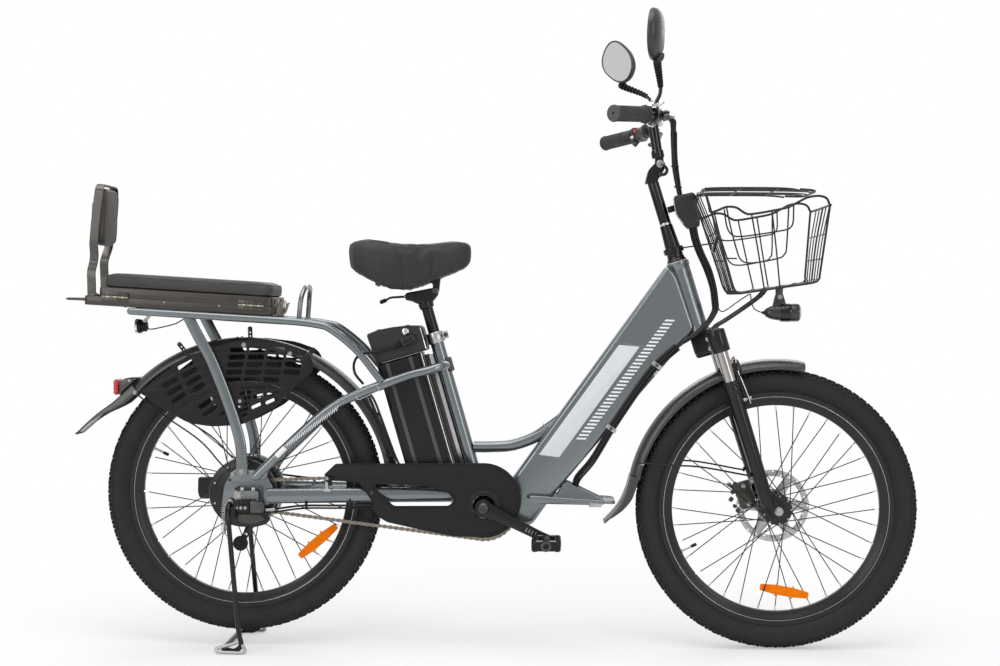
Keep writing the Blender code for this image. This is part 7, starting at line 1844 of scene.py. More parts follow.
STAND_R = 0.0055
CHAIN_STEEL = finish("chain_steel", (0.27, 0.24, 0.2), 0.34, 1.0, tint=0.3, tint_scale=160,
    grain=0.1, grain_scale=900)
GUARD_PLASTIC = finish("guard_plastic", (0.008, 0.0075, 0.0075), 0.48, tint=0.2, shine=0.28,
    grain=0.3, grain_scale=1500)
build_chain()
build_crankset()
build_derailleur()
build_chain_guard()
build_stand()
build_rear_caliper()

# Seat and battery

def build_saddle():
    sections = [(-0.306, 0.038, 0.88, 0.882, 0.843, 0.852),
        (-0.301, 0.074, 0.888, 0.888, 0.83, 0.842), (-0.288, 0.102, 0.892, 0.89, 0.82, 0.832),
        (-0.262, 0.115, 0.893, 0.888, 0.806, 0.82), (-0.232, 0.115, 0.891, 0.884, 0.791, 0.81),
        (-0.206, 0.104, 0.888, 0.882, 0.781, 0.804), (-0.18, 0.086, 0.886, 0.881, 0.779, 0.802),
        (-0.15, 0.064, 0.885, 0.882, 0.786, 0.802), (-0.12, 0.047, 0.888, 0.886, 0.797, 0.807),
        (-0.09, 0.037, 0.891, 0.89, 0.811, 0.818), (-0.066, 0.032, 0.893, 0.894, 0.822, 0.829),
        (-0.049, 0.026, 0.891, 0.893, 0.831, 0.838), (-0.0405, 0.017, 0.886, 0.888, 0.842, 0.848),
        (-0.0375, 0.007, 0.878, 0.879, 0.856, 0.859),]

    def half_ring(edge, middle, skirt, under):
        tall = edge - skirt
        return [(0.0, under), (0.45, under), (0.7, skirt + 0.1 * tall), (0.84, skirt + 0.004),
            (0.93, skirt + 0.01), (0.985, skirt + 0.3 * tall), (1.0, skirt + 0.56 * tall),
            (0.975, skirt + 0.8 * tall), (0.9, edge - 0.003), (0.78, edge), (0.55,
            (edge + 2 * middle) / 3), (0.28, middle), (0.0, middle)]

    rings = []
    for x, half, edge, middle, skirt, under in sections:
        side = half_ring(edge, middle, skirt, under)
        ring = [Vector((x, -half * y, z)) for y, z in side]
        ring += [Vector((x, half * y, z)) for y, z in side[::-1][1:-1]]
        rings.append(ring)
    start = loft(rings)
    saddle = soft_pad("saddle_cover", start, 0.0028, 0.004, "seat", ["saddle"], SADDLE_SKIN)
    trim = Piece()
    for side in (-1, 1):
        seam = [(-0.304, 0.03, 0.9), (-0.29, 0.06, 0.905), (-0.27, 0.085, 0.905),
            (-0.245, 0.098, 0.9), (-0.22, 0.098, 0.893), (-0.202, 0.0985, 0.88),
            (-0.19, 0.093, 0.86), (-0.184, 0.089, 0.838), (-0.182, 0.086, 0.815),
            (-0.1825, 0.082, 0.792)]
        line = []
        for point in smooth_path([(x, side * y, z) for x, y, z in seam], 8):
            core = Vector((point.x + 0.004, side * 0.35 * abs(point.y), 0.845))
            place = on_skin(saddle, core, (point - core).normalized())
            if place is not None:
                line.append(place)
        trim.add(sweep(line, 0.0009, 8), SADDLE_SKIN)
        edge = []
        for k in range(42):
            x = -0.255 + k * 0.005
            half = 0.078
            for (a, b) in zip(sections, sections[1:]):
                if a[0] <= x <= b[0]:
                    t = (x - a[0]) / (b[0] - a[0])
                    half = (a[1] + (b[1] - a[1]) * t) * 0.83
            core = Vector((x, side * half * 0.45, 0.84))
            place = on_skin(saddle, core, (Vector((x, side * half, 0.889)) - core).normalized())
            if place is not None:
                edge.append(place)
        trim.add(sweep(edge, 0.0007, 8), SADDLE_SKIN)
    trim.done("saddle_seams", "seat", (), "vinyl")

    base = Piece()
    tongue = rounded([(-0.124, 0.782), (-0.1105, 0.782), (-0.107, 0.812), (-0.15, 0.812),
        (-0.124, 0.7995)], 0.002, 3)
    base.add(panel(tongue, 0.0165, side_view(), (), 0.001), BLACK)
    for y in (-0.055, 0.055):
        base.add(rod((-0.238, y, 0.806), (-0.238, y, 0.796), 0.0075, 24, 0.0015), SOFT_RUBBER)
        add_bolt(base, (-0.238, y, 0.796), (0, 0, -1), 0.0036, 0.003, STEEL)
    for y in (-0.03, 0.03):
        base.add(rod((-0.165, y, 0.806), (-0.165, y, 0.7985), 0.006, 24, 0.0012), SOFT_RUBBER)
    base.done("saddle_mounts", "seat", (), "black_paint")


def build_post():
    post = Piece()
    low, high = at_seat(0.235), at_seat(0.468)
    post.add(rod(low, high, 0.01265, 48, 0.0008), BLACK)
    for k in range(12):
        mark = at_seat(0.3 + k * 0.01)
        post.add(sweep(ring_points(mark, SEAT_UP, 0.0127, 28), 0.00025, 5, True), DARK_STEEL)
    head = at_seat(0.47)
    clamp = rounded([(head.x - 0.02, head.z - 0.006), (head.x + 0.014, head.z - 0.01),
        (-0.1125, 0.7755), (-0.1125, 0.7905), (-0.124, 0.791), (-0.15, 0.786), (-0.184, 0.7795),
        (-0.184, 0.764)], 0.005, 4)
    for y in (-0.012, 0.012):
        post.add(panel(clamp, 0.0058, side_view(y), (), 0.0014, 2), BLACK)
    core = rounded([(head.x - 0.016, head.z - 0.01), (head.x + 0.011, head.z - 0.012),
        (-0.131, 0.7755), (-0.131, 0.787), (-0.18, 0.7775), (-0.18, 0.766)], 0.003, 3)
    post.add(panel(core, 0.02, side_view(), (), 0.0012), BLACK)
    post.add(lathe([(0.0127, 0.448), (0.016, 0.451), (0.017, 0.458), (0.016, 0.466),
        (0.0127, 0.469)], leaning(SEAT_BASE, SEAT_TILT), 40, closed=True), BLACK)
    post.add(across((-0.1175, 0, 0.7845), -0.019, -0.01, 0.0062, 24), STEEL)
    post.add(across((-0.1175, 0, 0.7845), 0.01, 0.019, 0.0062, 24), STEEL)
    for y in (-0.019, 0.019):
        side = math.copysign(1, y)
        add_bolt(post, (-0.1175, y, 0.7845), (0, side, 0), 0.004, 0.003, DARK_STEEL)
        post.add(lathe([(0.0, 0.0), (0.0095, 0.0), (0.0105, side * 0.0016), (0.0095, side * 0.004),
            (0.005, side * 0.0044), (0.0, side * 0.0044)],
            wheel_frame(Vector((-0.17, side * 0.0148, 0.772))), 32), BLACK)
    post.done("seat_post_with_head", "post", ["seat_post"], "black_paint")

    lever = Piece()
    path = smooth_path([(-0.1852, 0.01, 0.7715), (-0.205, 0.014, 0.7705), (-0.22, 0.018, 0.769),
        (-0.232, 0.021, 0.763), (-0.242, 0.024, 0.759)], 6)
    lever.add(sweep(path, 0.0026, 16), BLACK)
    lever.add(rod((-0.23, 0.0205, 0.764), (-0.2435, 0.0244, 0.7585), 0.0046, 20, 0.0012),
        SOFT_RUBBER)
    lever.add(ball((-0.186, 0.0102, 0.7715), 0.004, (1, 1, 1), 16), STEEL)
    lever.done("saddle_release_lever", "release", ["saddle_lever"], "black_plastic")


def seat_panel(piece, outline, wide, metal, edge=0.002, steps=3, y=0.0, holes=()):
    """A block drawn in side view in the seat tube's frame: how far up and how far ahead."""
    made = [(at_seat(up, ahead).x, at_seat(up, ahead).z) for ahead, up in outline]
    piece.add(panel(made, wide, side_view(y), holes, edge, steps), metal)


def build_battery():
    case = Piece()
    outline = rounded([(-0.0365, 0.0885), (-0.0365, 0.36), (-0.1385, 0.36), (-0.1385, 0.098),
        (-0.129, 0.0885)], 0.003, 3)
    seat_panel(case, outline, 0.0765, SHELL, 0.0075, 5)
    for side in (-1, 1):
        for ahead in (-0.062, -0.115):
            groove = [(ahead - 0.0042, 0.1), (ahead - 0.0042, 0.357), (ahead + 0.0042, 0.357),
                (ahead + 0.0042, 0.1)]
            seat_panel(case, groove, 0.0006, GROOVE, 0.0001, 1, side * 0.0384)
            for k in (-1, 1):
                line = [at_seat(up, ahead + k * 0.0046, side * 0.0386)
                    for up in (0.099, 0.23, 0.3575)]
                case.add(sweep(line, 0.0007, 8), SHELL)
    for side in (-1, 1):
        lining = [at_seat(up, -0.0372, side * 0.0365) for up in (0.094, 0.23, 0.359)]
        case.add(sweep(lining, 0.0013, 10), CHROME)
    case.add(brick((0.083, 0.06, 0.01), leaning(at_seat(0.087, -0.085), SEAT_TILT), 0.0025),
        PLASTIC)
    case.done("battery_shell_with_grooves", "battery", ["battery_case"], "battery_shell")

    cap = Piece()
    top = [(-0.0225, 0.3608), (-0.1375, 0.3608), (-0.1412, 0.4255), (-0.139, 0.4305),
        (-0.115, 0.433), (-0.085, 0.4305), (-0.05, 0.4245), (-0.024, 0.4165), (-0.02, 0.41),
        (-0.02, 0.39)]
    seat_panel(cap, rounded(top, 0.0016, 2), 0.0788, CAP_PLASTIC, 0.0028, 4)
    for side in (-1, 1):
        line = [at_seat(up, ahead, side * 0.0392) for ahead, up in ((-0.136, 0.428), (-0.115, 0.43),
            (-0.085, 0.4276), (-0.05, 0.4216), (-0.026, 0.414))]
        cap.add(sweep(smooth_path(line, 5), 0.0008, 8), CAP_PLASTIC)
        low = [at_seat(0.364, ahead, side * 0.0395) for ahead in (-0.136, -0.08, -0.024)]
        cap.add(sweep(low, 0.0009, 8), CAP_PLASTIC)
        edge = [at_seat(up, -0.0235, side * 0.0385) for up in (0.364, 0.39, 0.412)]
        cap.add(sweep(edge, 0.0011, 8), CHROME)
    lock = at_seat(0.413, -0.056)
    cap.add(lathe([(0.0, -0.0448), (0.0022, -0.045), (0.0046, -0.0448), (0.0058, -0.044),
        (0.0072, -0.0436), (0.008, -0.0425), (0.008, -0.038)],
        wheel_frame(Vector((lock.x, 0, lock.z))), 36), CHROME)
    cap.add(brick((0.001, 0.0008, 0.0062), leaning(lock + Vector((0, -0.0451, 0)), SEAT_TILT),
        0.0003, 1), DARK_STEEL)
    cap.add(rod(at_seat(0.419, -0.056, -0.01), at_seat(0.4262, -0.056, -0.01), 0.0085, 28, 0.0012),
        CAP_PLASTIC)
    socket = [(-0.0345, 0.3975), (-0.042, 0.4055), (-0.064, 0.4055), (-0.0715, 0.3985),
        (-0.0715, 0.386), (-0.064, 0.379), (-0.042, 0.379), (-0.0345, 0.386)]
    ring = [at_seat(up, ahead, -0.0397) for ahead, up in rounded(socket, 0.002, 3)]
    cap.add(sweep(ring, 0.0011, 8, True), DARK_STEEL)
    handle = smooth_path([at_seat(0.427, -0.118, y * 0.02) + Vector((0, 0, lift)) for y,
        lift in ((-1.3, -0.002), (-1.1, 0.004), (0, 0.0055), (1.1, 0.004), (1.3, -0.002))], 6)
    cap.add(sweep(handle, 0.0028, 12), CAP_PLASTIC)
    cap.done("battery_cap_with_lock", "battery", ["battery_cap"], "black_plastic")

    lead = Piece()
    turn = math.radians(-28)
    here = Matrix.Translation((-0.182, -0.049, 0.6725)) @ Matrix.Rotation(turn, 4, "Y")
    lead.add(brick((0.033, 0.015, 0.0175), here @ Matrix.Translation((0.008, 0, 0)), 0.004, 4),
        CAP_PLASTIC)
    lead.add(brick((0.022, 0.002, 0.009), here @ Matrix.Translation((0.008, -0.0072, 0)), 0.0008),
        SOFT_RUBBER)
    for k in range(5):
        bead = here @ Matrix.Translation((-0.0115 - k * 0.0034, 0, 0))
        lead.add(lathe([(0.0, -0.001), (0.0062 - k * 0.0004, -0.001), (0.0066 - k * 0.0004, 0.0),
            (0.0062 - k * 0.0004, 0.001), (0.0, 0.001)], bead @ Matrix.Rotation(math.radians(90), 4,
            "Y"), 24), SOFT_RUBBER)
    lead.add(rod(here @ Vector((-0.006, 0, 0)), here @ Vector((-0.0285, 0, 0)), 0.0042, 20, 0.0006),
        SOFT_RUBBER)
    cord = smooth_path([here @ Vector((-0.027, 0, 0)), (-0.216, -0.0525, 0.657),
        (-0.245, -0.054, 0.651), (-0.277, -0.056, 0.646), (-0.291, -0.058, 0.629),
        (-0.2895, -0.06, 0.605), (-0.271, -0.06, 0.581)], 8)
    lead.add(sweep(cord, 0.0029, 14), HOSE)
    lead.done("battery_plug_and_lead", "battery", ["battery_lead"], "rubber")


def build_frame_cables():
    cables = Piece()
    for shift, radius in ((0.0, 0.003), (0.0075, 0.0026)):
        run = smooth_path([(-0.271 + shift * 0.4, -0.064, 0.576), (-0.256 + shift, -0.06, 0.548),
            (-0.242 + shift, -0.05, 0.51), (-0.225 + shift, -0.042, 0.46),
            (-0.208 + shift, -0.04, 0.415), (-0.19 + shift, -0.038, 0.382),
            (-0.175, -0.037, 0.364)], 7)
        cables.add(sweep(run, radius, 12), HOSE)
    for x, z, turn in ((-0.243, 0.516, 20), (-0.21, 0.424, 18)):
        cables.add(brick((0.016, 0.008, 0.0045), Matrix.Translation((x, -0.0465, z))
            @ Matrix.Rotation(math.radians(turn), 4, "Y"), 0.0012), PLASTIC)
    collar = at_seat(0.317)
    cables.add(brick((0.0105, 0.033, 0.032), leaning(collar + SEAT_FRONT * 0.0155, SEAT_TILT),
        0.003, 3), DARK_STEEL)
    cables.done("frame_cables", "frame", (), "black_wire")


CAP_PLASTIC = finish("cap_plastic", (0.012, 0.012, 0.012), 0.42, tint=0.25, grain=0.3,
    grain_scale=1600)
GROOVE = finish("groove_plastic", (0.06, 0.06, 0.062), 0.3, tint=0.15, grain=0.06, grain_scale=1200)
build_saddle()
build_post()
build_battery()
build_frame_cables()

# Front fork

FORK_OFFSET = 0.03
FORK_HALF = 0.06
CROWN_TOP = -0.165
CROWN_BOTTOM = -0.213
LOWERS_TOP = -0.2822
AXLE_UP = (FRONT_AXLE - HEAD_TOP).dot(STEER_UP)
AXLE_AHEAD = (FRONT_AXLE - HEAD_TOP).dot(STEER_FRONT)


def steering(up, ahead=0.0, side=0.0):
    return leaning(at_steering(up, ahead, side), STEER_TILT)


def build_crown():
    crown = Piece()
    middle = (CROWN_TOP + CROWN_BOTTOM) / 2
    turn = steering(middle)
    waist = [(-0.0215, -0.01), (-0.014, -0.02), (0.006, -0.044), (0.012, -0.06), (0.046, -0.06),
        (0.046, -0.044), (0.03, -0.026), (0.0265, 0.0), (0.03, 0.026), (0.046, 0.044),
        (0.046, 0.06), (0.012, 0.06), (0.006, 0.044), (-0.014, 0.02), (-0.0215, 0.01)]
    crown.add(panel(rounded(waist, 0.004, 3), 0.04, turn, (), 0.006, 4), PLASTIC)
    crown.add(lathe([(0.013, 0.0), (0.0208, 0.0), (0.0215, -0.003), (0.0205, -0.01),
        (0.0205, -0.05), (0.018, -0.054), (0.013, -0.054)], steering(-0.162), 40, closed=True),
        PLASTIC)
    for side in (-1, 1):
        place = steering(0.0, FORK_OFFSET, side * FORK_HALF)
        crown.add(lathe([(0.0136, CROWN_BOTTOM - 0.001), (0.019, CROWN_BOTTOM - 0.001),
            (0.0205, CROWN_BOTTOM + 0.002), (0.0205, CROWN_TOP - 0.003), (0.019, CROWN_TOP),
            (0.0136, CROWN_TOP + 0.0005)], place, 44, closed=True), BLACK)
        crown.add(lathe([(0.0, CROWN_TOP - 0.002), (0.0, CROWN_TOP + 0.0034),
            (0.01, CROWN_TOP + 0.0034), (0.0132, CROWN_TOP + 0.001), (0.0134, CROWN_TOP - 0.002)],
            place, 32, closed=True), DARK_STEEL)
        low = LOWERS_TOP - 0.083
        crown.add(lathe([(0.0, CROWN_BOTTOM + 0.004), (0.01345, CROWN_BOTTOM + 0.004),
            (0.01345, low + 0.001), (0.0125, low), (0.0, low)], place, 44, closed=True),
            HARD_CHROME)
        for up in (CROWN_TOP - 0.014, CROWN_BOTTOM + 0.013):
            start = at_steering(up, FORK_OFFSET - 0.0185, side * (FORK_HALF - 0.006))
            crown.add(ball(start, 0.006, (1.2, 1.2, 0.7), 16), BLACK)
            head = at_steering(up, FORK_OFFSET - 0.0205, side * (FORK_HALF + 0.001))
            add_bolt(crown, head, (0, side, 0), 0.0036, 0.004, STEEL)
    crown.done("fork_crown_with_legs", "steerer", ["fork_crown"], "black_paint")


def build_lowers():
    lowers = Piece()
    for side in (-1, 1):
        place = steering(LOWERS_TOP, FORK_OFFSET, side * FORK_HALF)
        bottom = AXLE_UP + 0.016 - LOWERS_TOP
        deep = -0.0985
        lowers.add(lathe([(0.0139, 0.0), (0.0174, 0.0), (0.018, -0.0015), (0.018, -0.006),
            (0.0172, -0.0075), (0.0172, -0.015), (0.018, -0.0165), (0.018, -0.0185),
            (0.0166, -0.0205), (0.0163, -0.03), (0.015, bottom + 0.03), (0.014, bottom + 0.01),
            (0.0105, bottom + 0.0015), (0.0, bottom), (0.0, deep), (0.0139, deep)], place, 48,
            closed=True), BLACK)
        lowers.add(sweep(ring_points(place @ Vector((0, 0, 0.0004)), STEER_UP, 0.0156, 40), 0.0014,
            8, True), SOFT_RUBBER)
        ends = [at_steering(AXLE_UP + 0.058, FORK_OFFSET - 0.009),
            at_steering(AXLE_UP + 0.058, FORK_OFFSET + 0.01),
            at_steering(AXLE_UP + 0.016, AXLE_AHEAD + 0.0165),
            at_steering(AXLE_UP - 0.004, AXLE_AHEAD + 0.0165),
            at_steering(AXLE_UP - 0.0165, AXLE_AHEAD + 0.003),
            at_steering(AXLE_UP - 0.0125, AXLE_AHEAD - 0.0145)]
        outline = rounded([(p.x, p.z) for p in ends], 0.005, 4)
        hole = circle((FRONT_AXLE.x, FRONT_AXLE.z), 0.0054, 24)
        lowers.add(panel(outline, 0.0062, side_view(side * (FORK_HALF - 0.003)), [hole], 0.0014, 3),
            BLACK)
    arch_up = AXLE_UP + 0.328 + 0.0068
    arch = [at_steering(LOWERS_TOP - 0.012, FORK_OFFSET + 0.01, -FORK_HALF), at_steering(LOWERS_TOP
        + 0.014, FORK_OFFSET + 0.024, -FORK_HALF + 0.006), at_steering(arch_up - 0.003, AXLE_AHEAD
        + 0.008, -0.036), at_steering(arch_up, AXLE_AHEAD + 0.008, -0.014)]
    arch += [Vector((p.x, -p.y, p.z)) for p in reversed(arch)]
    lowers.add(sweep(smooth_path(arch, 8), 0.0062, 20), BLACK)
    for side in (-1, 1):
        foot = at_steering(LOWERS_TOP - 0.045, FORK_OFFSET + 0.0175, side * (FORK_HALF - 0.004))
        lowers.add(rod(foot - STEER_FRONT * 0.006, foot + STEER_FRONT * 0.015, 0.0042, 20, 0.0008),
            STEEL)
        reach = [foot + STEER_FRONT * 0.008 + STEER_UP * rise
            for rise in (-0.012, 0.0, 0.03, 0.064, 0.086)]
        shift = (0.0, 0.0, -0.0025, -0.006, -0.012)
        bend = [p + STEER_FRONT * s for p, s in zip(reach, shift)]
        lowers.add(sweep(smooth_path(bend, 6), 0.0058, 16, False, [(0.75, 0.0), (0.5, 0.9),
            (-0.5, 0.9), (-0.75, 0.0), (-0.5, -0.9), (0.5, -0.9)]), BLACK)
        edge = [p + Vector((0, side * 0.0052, 0)) + STEER_FRONT * 0.0024 for p in bend[:4]]
        lowers.add(sweep(smooth_path(edge, 6), 0.0009, 8), CHROME)
        add_bolt(lowers, foot + STEER_FRONT * 0.013, STEER_FRONT, 0.004, 0.003, STEEL)
        top = bend[-1]
        add_bolt(lowers, top + STEER_FRONT * 0.001, (0, side, 0), 0.0036, 0.0066, STEEL)
    link = [at_steering(LOWERS_TOP + 0.036, FORK_OFFSET + 0.024, y) for y in (-0.052, -0.026, 0.0)]
    bow = [link[0], link[1] + STEER_UP * 0.008 + STEER_FRONT * 0.004, link[2] + STEER_UP * 0.01
        + STEER_FRONT * 0.005]
    bow += [Vector((p.x, -p.y, p.z)) for p in reversed(bow[:2])]
    lowers.add(sweep(smooth_path(bow, 8), 0.0016, 10), STEEL)
    lowers.done("fork_lowers_with_brake_arms", "lowers", ["fork_lowers"], "black_paint")


def build_front_caliper():
    caliper = Piece()
    y = 0.0415
    slot = 0.0024
    lean = Matrix.Rotation(-STEER_TILT, 4, "Y")
    for side, deep in ((-1, 0.0072), (1, 0.0092)):
        centre = y + side * (slot + deep / 2)
        caliper.add(brick((0.033, deep, 0.06), Matrix.Translation((0.569, centre, 0.332)) @ lean,
            0.0035, 4), SATIN)
        for up in (-0.021, 0.021):
            place = Vector((0.569, y + side * (slot + deep), 0.332)) + STEER_UP * up
            add_bolt(caliper, place, (0, side, 0), 0.0038, 0.0032, STEEL)
    caliper.add(brick((0.015, 0.0205, 0.052),
        Matrix.Translation(Vector((0.569, y + 0.001, 0.332)) - STEER_FRONT * 0.0118) @ lean, 0.003,
        3), SATIN)
    caliper.add(brick((0.01, 0.0058, 0.04), Matrix.Translation(Vector((0.569, y + 0.009, 0.332))
        + STEER_FRONT * 0.0131) @ lean, 0.001), ALLOY)
    caliper.add(across((0.56, 0, 0.33), y + 0.0098, y + 0.015, 0.0115, 36, 0.001), SATIN)
    caliper.add(across((0.56, 0, 0.33), y + 0.015, y + 0.0168, 0.0062, 24, 0.0006), STEEL)
    for size, k in ((0.0062, 0), (0.0054, 1), (0.0054, 2)):
        start = Vector((0.548 - 0.004 * k, y - 0.004, 0.352 - 0.0165 * k))
        caliper.add(rod(start, start + Vector((-0.007, 0, 0.005)), size, 20, 0.001), SATIN)
    arm = [(0.556, y + 0.0155, 0.33), (0.545, y + 0.0165, 0.342), (0.534, y + 0.0165, 0.352)]
    caliper.add(sweep(smooth_path(arm, 5), 0.0034, 12), SATIN)
    add_bolt(caliper, (0.534, y + 0.015, 0.352), (0, 1, 0), 0.004, 0.005, STEEL)
    for size, x, z in ((0.005, 0.552, 0.296), (0.0042, 0.545, 0.306)):
        caliper.add(across((x, 0, z), y - 0.006, y + 0.006, size, 18, 0.001), SATIN)
    caliper.done("front_brake_caliper", "lowers", ["front_caliper"], "steel")


def build_front_fender():
    fender = Piece()
    fender.add(fender_skin(FRONT_AXLE, 0.328, 79, 168), FENDER)
    fender.add(flap_skin(FRONT_AXLE, 0.328, [(-0.0004, 167), (0.003, 172.6), (0.014, 178.0),
        (0.03, 181.6), (0.05, 184.5)], 0.035), FENDER)
    reach = at_steering(AXLE_UP + 0.093, FORK_OFFSET - 0.0165)
    hold = polar(FRONT_AXLE, 0.3095, math.radians(161))
    for side in (-1, 1):
        wire = smooth_path([(hold.x, side * 0.0368, hold.z), (0.33, side * 0.042, 0.4105),
            (0.39, side * 0.053, 0.406), (0.46, side * 0.06, 0.4035),
            (reach.x - 0.01, side * 0.06, reach.z), (reach.x, side * 0.06, reach.z)], 6)
        fender.add(sweep(wire, 0.002, 10), BLACK)
        add_bolt(fender, (hold.x, side * 0.037, hold.z), (0, side, 0), 0.0036, 0.004, STEEL)
        fender.add(rod((reach.x - 0.003, side * 0.06, reach.z),
            (reach.x + 0.0005, side * 0.06, reach.z), 0.0056, 20, 0.001), SOFT_RUBBER)
    hanger = [at_steering(CROWN_BOTTOM - 0.004, -0.01), at_steering(CROWN_BOTTOM - 0.034, 0.006),
        at_steering(CROWN_BOTTOM - 0.058, 0.03)]
    top = hanger[2]
    crest = FRONT_AXLE + (top - FRONT_AXLE).normalized() * 0.33
    fender.add(brick((0.03, 0.018, 0.0022), Matrix.Translation(crest)
        @ (crest - FRONT_AXLE).to_track_quat("Z", "X").to_matrix().to_4x4(), 0.0008), DARK_STEEL)
    fender.done("front_fender_skin", "lowers", ["front_fender"], "black_plastic")


# Cockpit

BAR = Vector((0.358, 0, 1.158))
BAR_HALF = 0.302
GRIP_LENGTH = 0.115


def bar_point(side, share):
    """A point on the handlebar: share 0 is its middle and 1 the grip's end."""
    route = [(0.0, 0.0, 0.0), (0.3, 0.004, -0.002), (0.52, -0.002, -0.006), (0.68, -0.021, -0.011),
        (1.0, -0.093, -0.02)]
    for (a, xa, za), (b, xb, zb) in zip(route, route[1:]):
        if share <= b:
            t = (share - a) / (b - a)
            break
    return Vector((BAR.x + xa + (xb - xa) * t, side * BAR_HALF * share, BAR.z + za + (zb - za) * t))


def grip_axis(side):
    return (bar_point(side, 1.0) - bar_point(side, 0.9)).normalized()


def grip_start(side):
    return bar_point(side, 1.0) - grip_axis(side) * (GRIP_LENGTH - 0.003)


def build_stem():
    stem = Piece()
    top = 0.197
    stem.add(lathe([(0.0, 0.0006), (0.0215, 0.0006), (0.0218, 0.004), (0.0192, 0.007),
        (0.0186, 0.011), (0.018, 0.0115), (0.0141, 0.08), (0.0138, 0.083), (0.0126, 0.0836),
        (0.0125, top - 0.004), (0.0118, top), (0.0, top)], steering(0.0), 56, closed=True),
        DARK_CHROME)
    stem.add(lathe([(0.0133, 0.0842), (0.0136, 0.0865), (0.0133, 0.089), (0.0126, 0.0892),
        (0.0126, 0.0842)], steering(0.0), 40, closed=True), CHROME)
    head = at_steering(top)
    cheek = rounded([(head.x - 0.0133, head.z - 0.018), (head.x + 0.012, head.z - 0.014),
        (0.3838, 1.0485), (0.3858, 1.064), (0.372, 1.0718), (head.x - 0.006, head.z + 0.012)],
        0.0045, 4)
    for y in (-0.0143, 0.0143):
        stem.add(panel(cheek, 0.0112, side_view(y), (), 0.0016, 3), BLACK)
    shut = [(head.x - 0.012, head.z - 0.016), (head.x + 0.011, head.z - 0.013),
        (head.x + 0.009, head.z + 0.001), (head.x - 0.008, head.z + 0.002)]
    stem.add(panel(rounded(shut, 0.002, 2), 0.024, side_view(), (), 0.0008), BLACK)
    stem.add(across((0.374, 0, 1.06), -0.0285, -0.02, 0.0085, 32, 0.0012), STEEL)
    stem.add(across((0.374, 0, 1.06), 0.02, 0.024, 0.008, 6, 0.0008), STEEL)
    hook = smooth_path([(0.374, -0.025, 1.06), (0.383, -0.0262, 1.056), (0.389, -0.0262, 1.047),
        (0.384, -0.0262, 1.038), (0.374, -0.0262, 1.037)], 6)
    stem.add(sweep(hook, 0.0036, 14), DARK_CHROME)
    stem.add(ball((0.374, -0.0262, 1.037), 0.0052, (1, 1, 1), 18), DARK_CHROME)
    stem.done("stem_with_cone", "steerer", ["stem"], "black_paint")


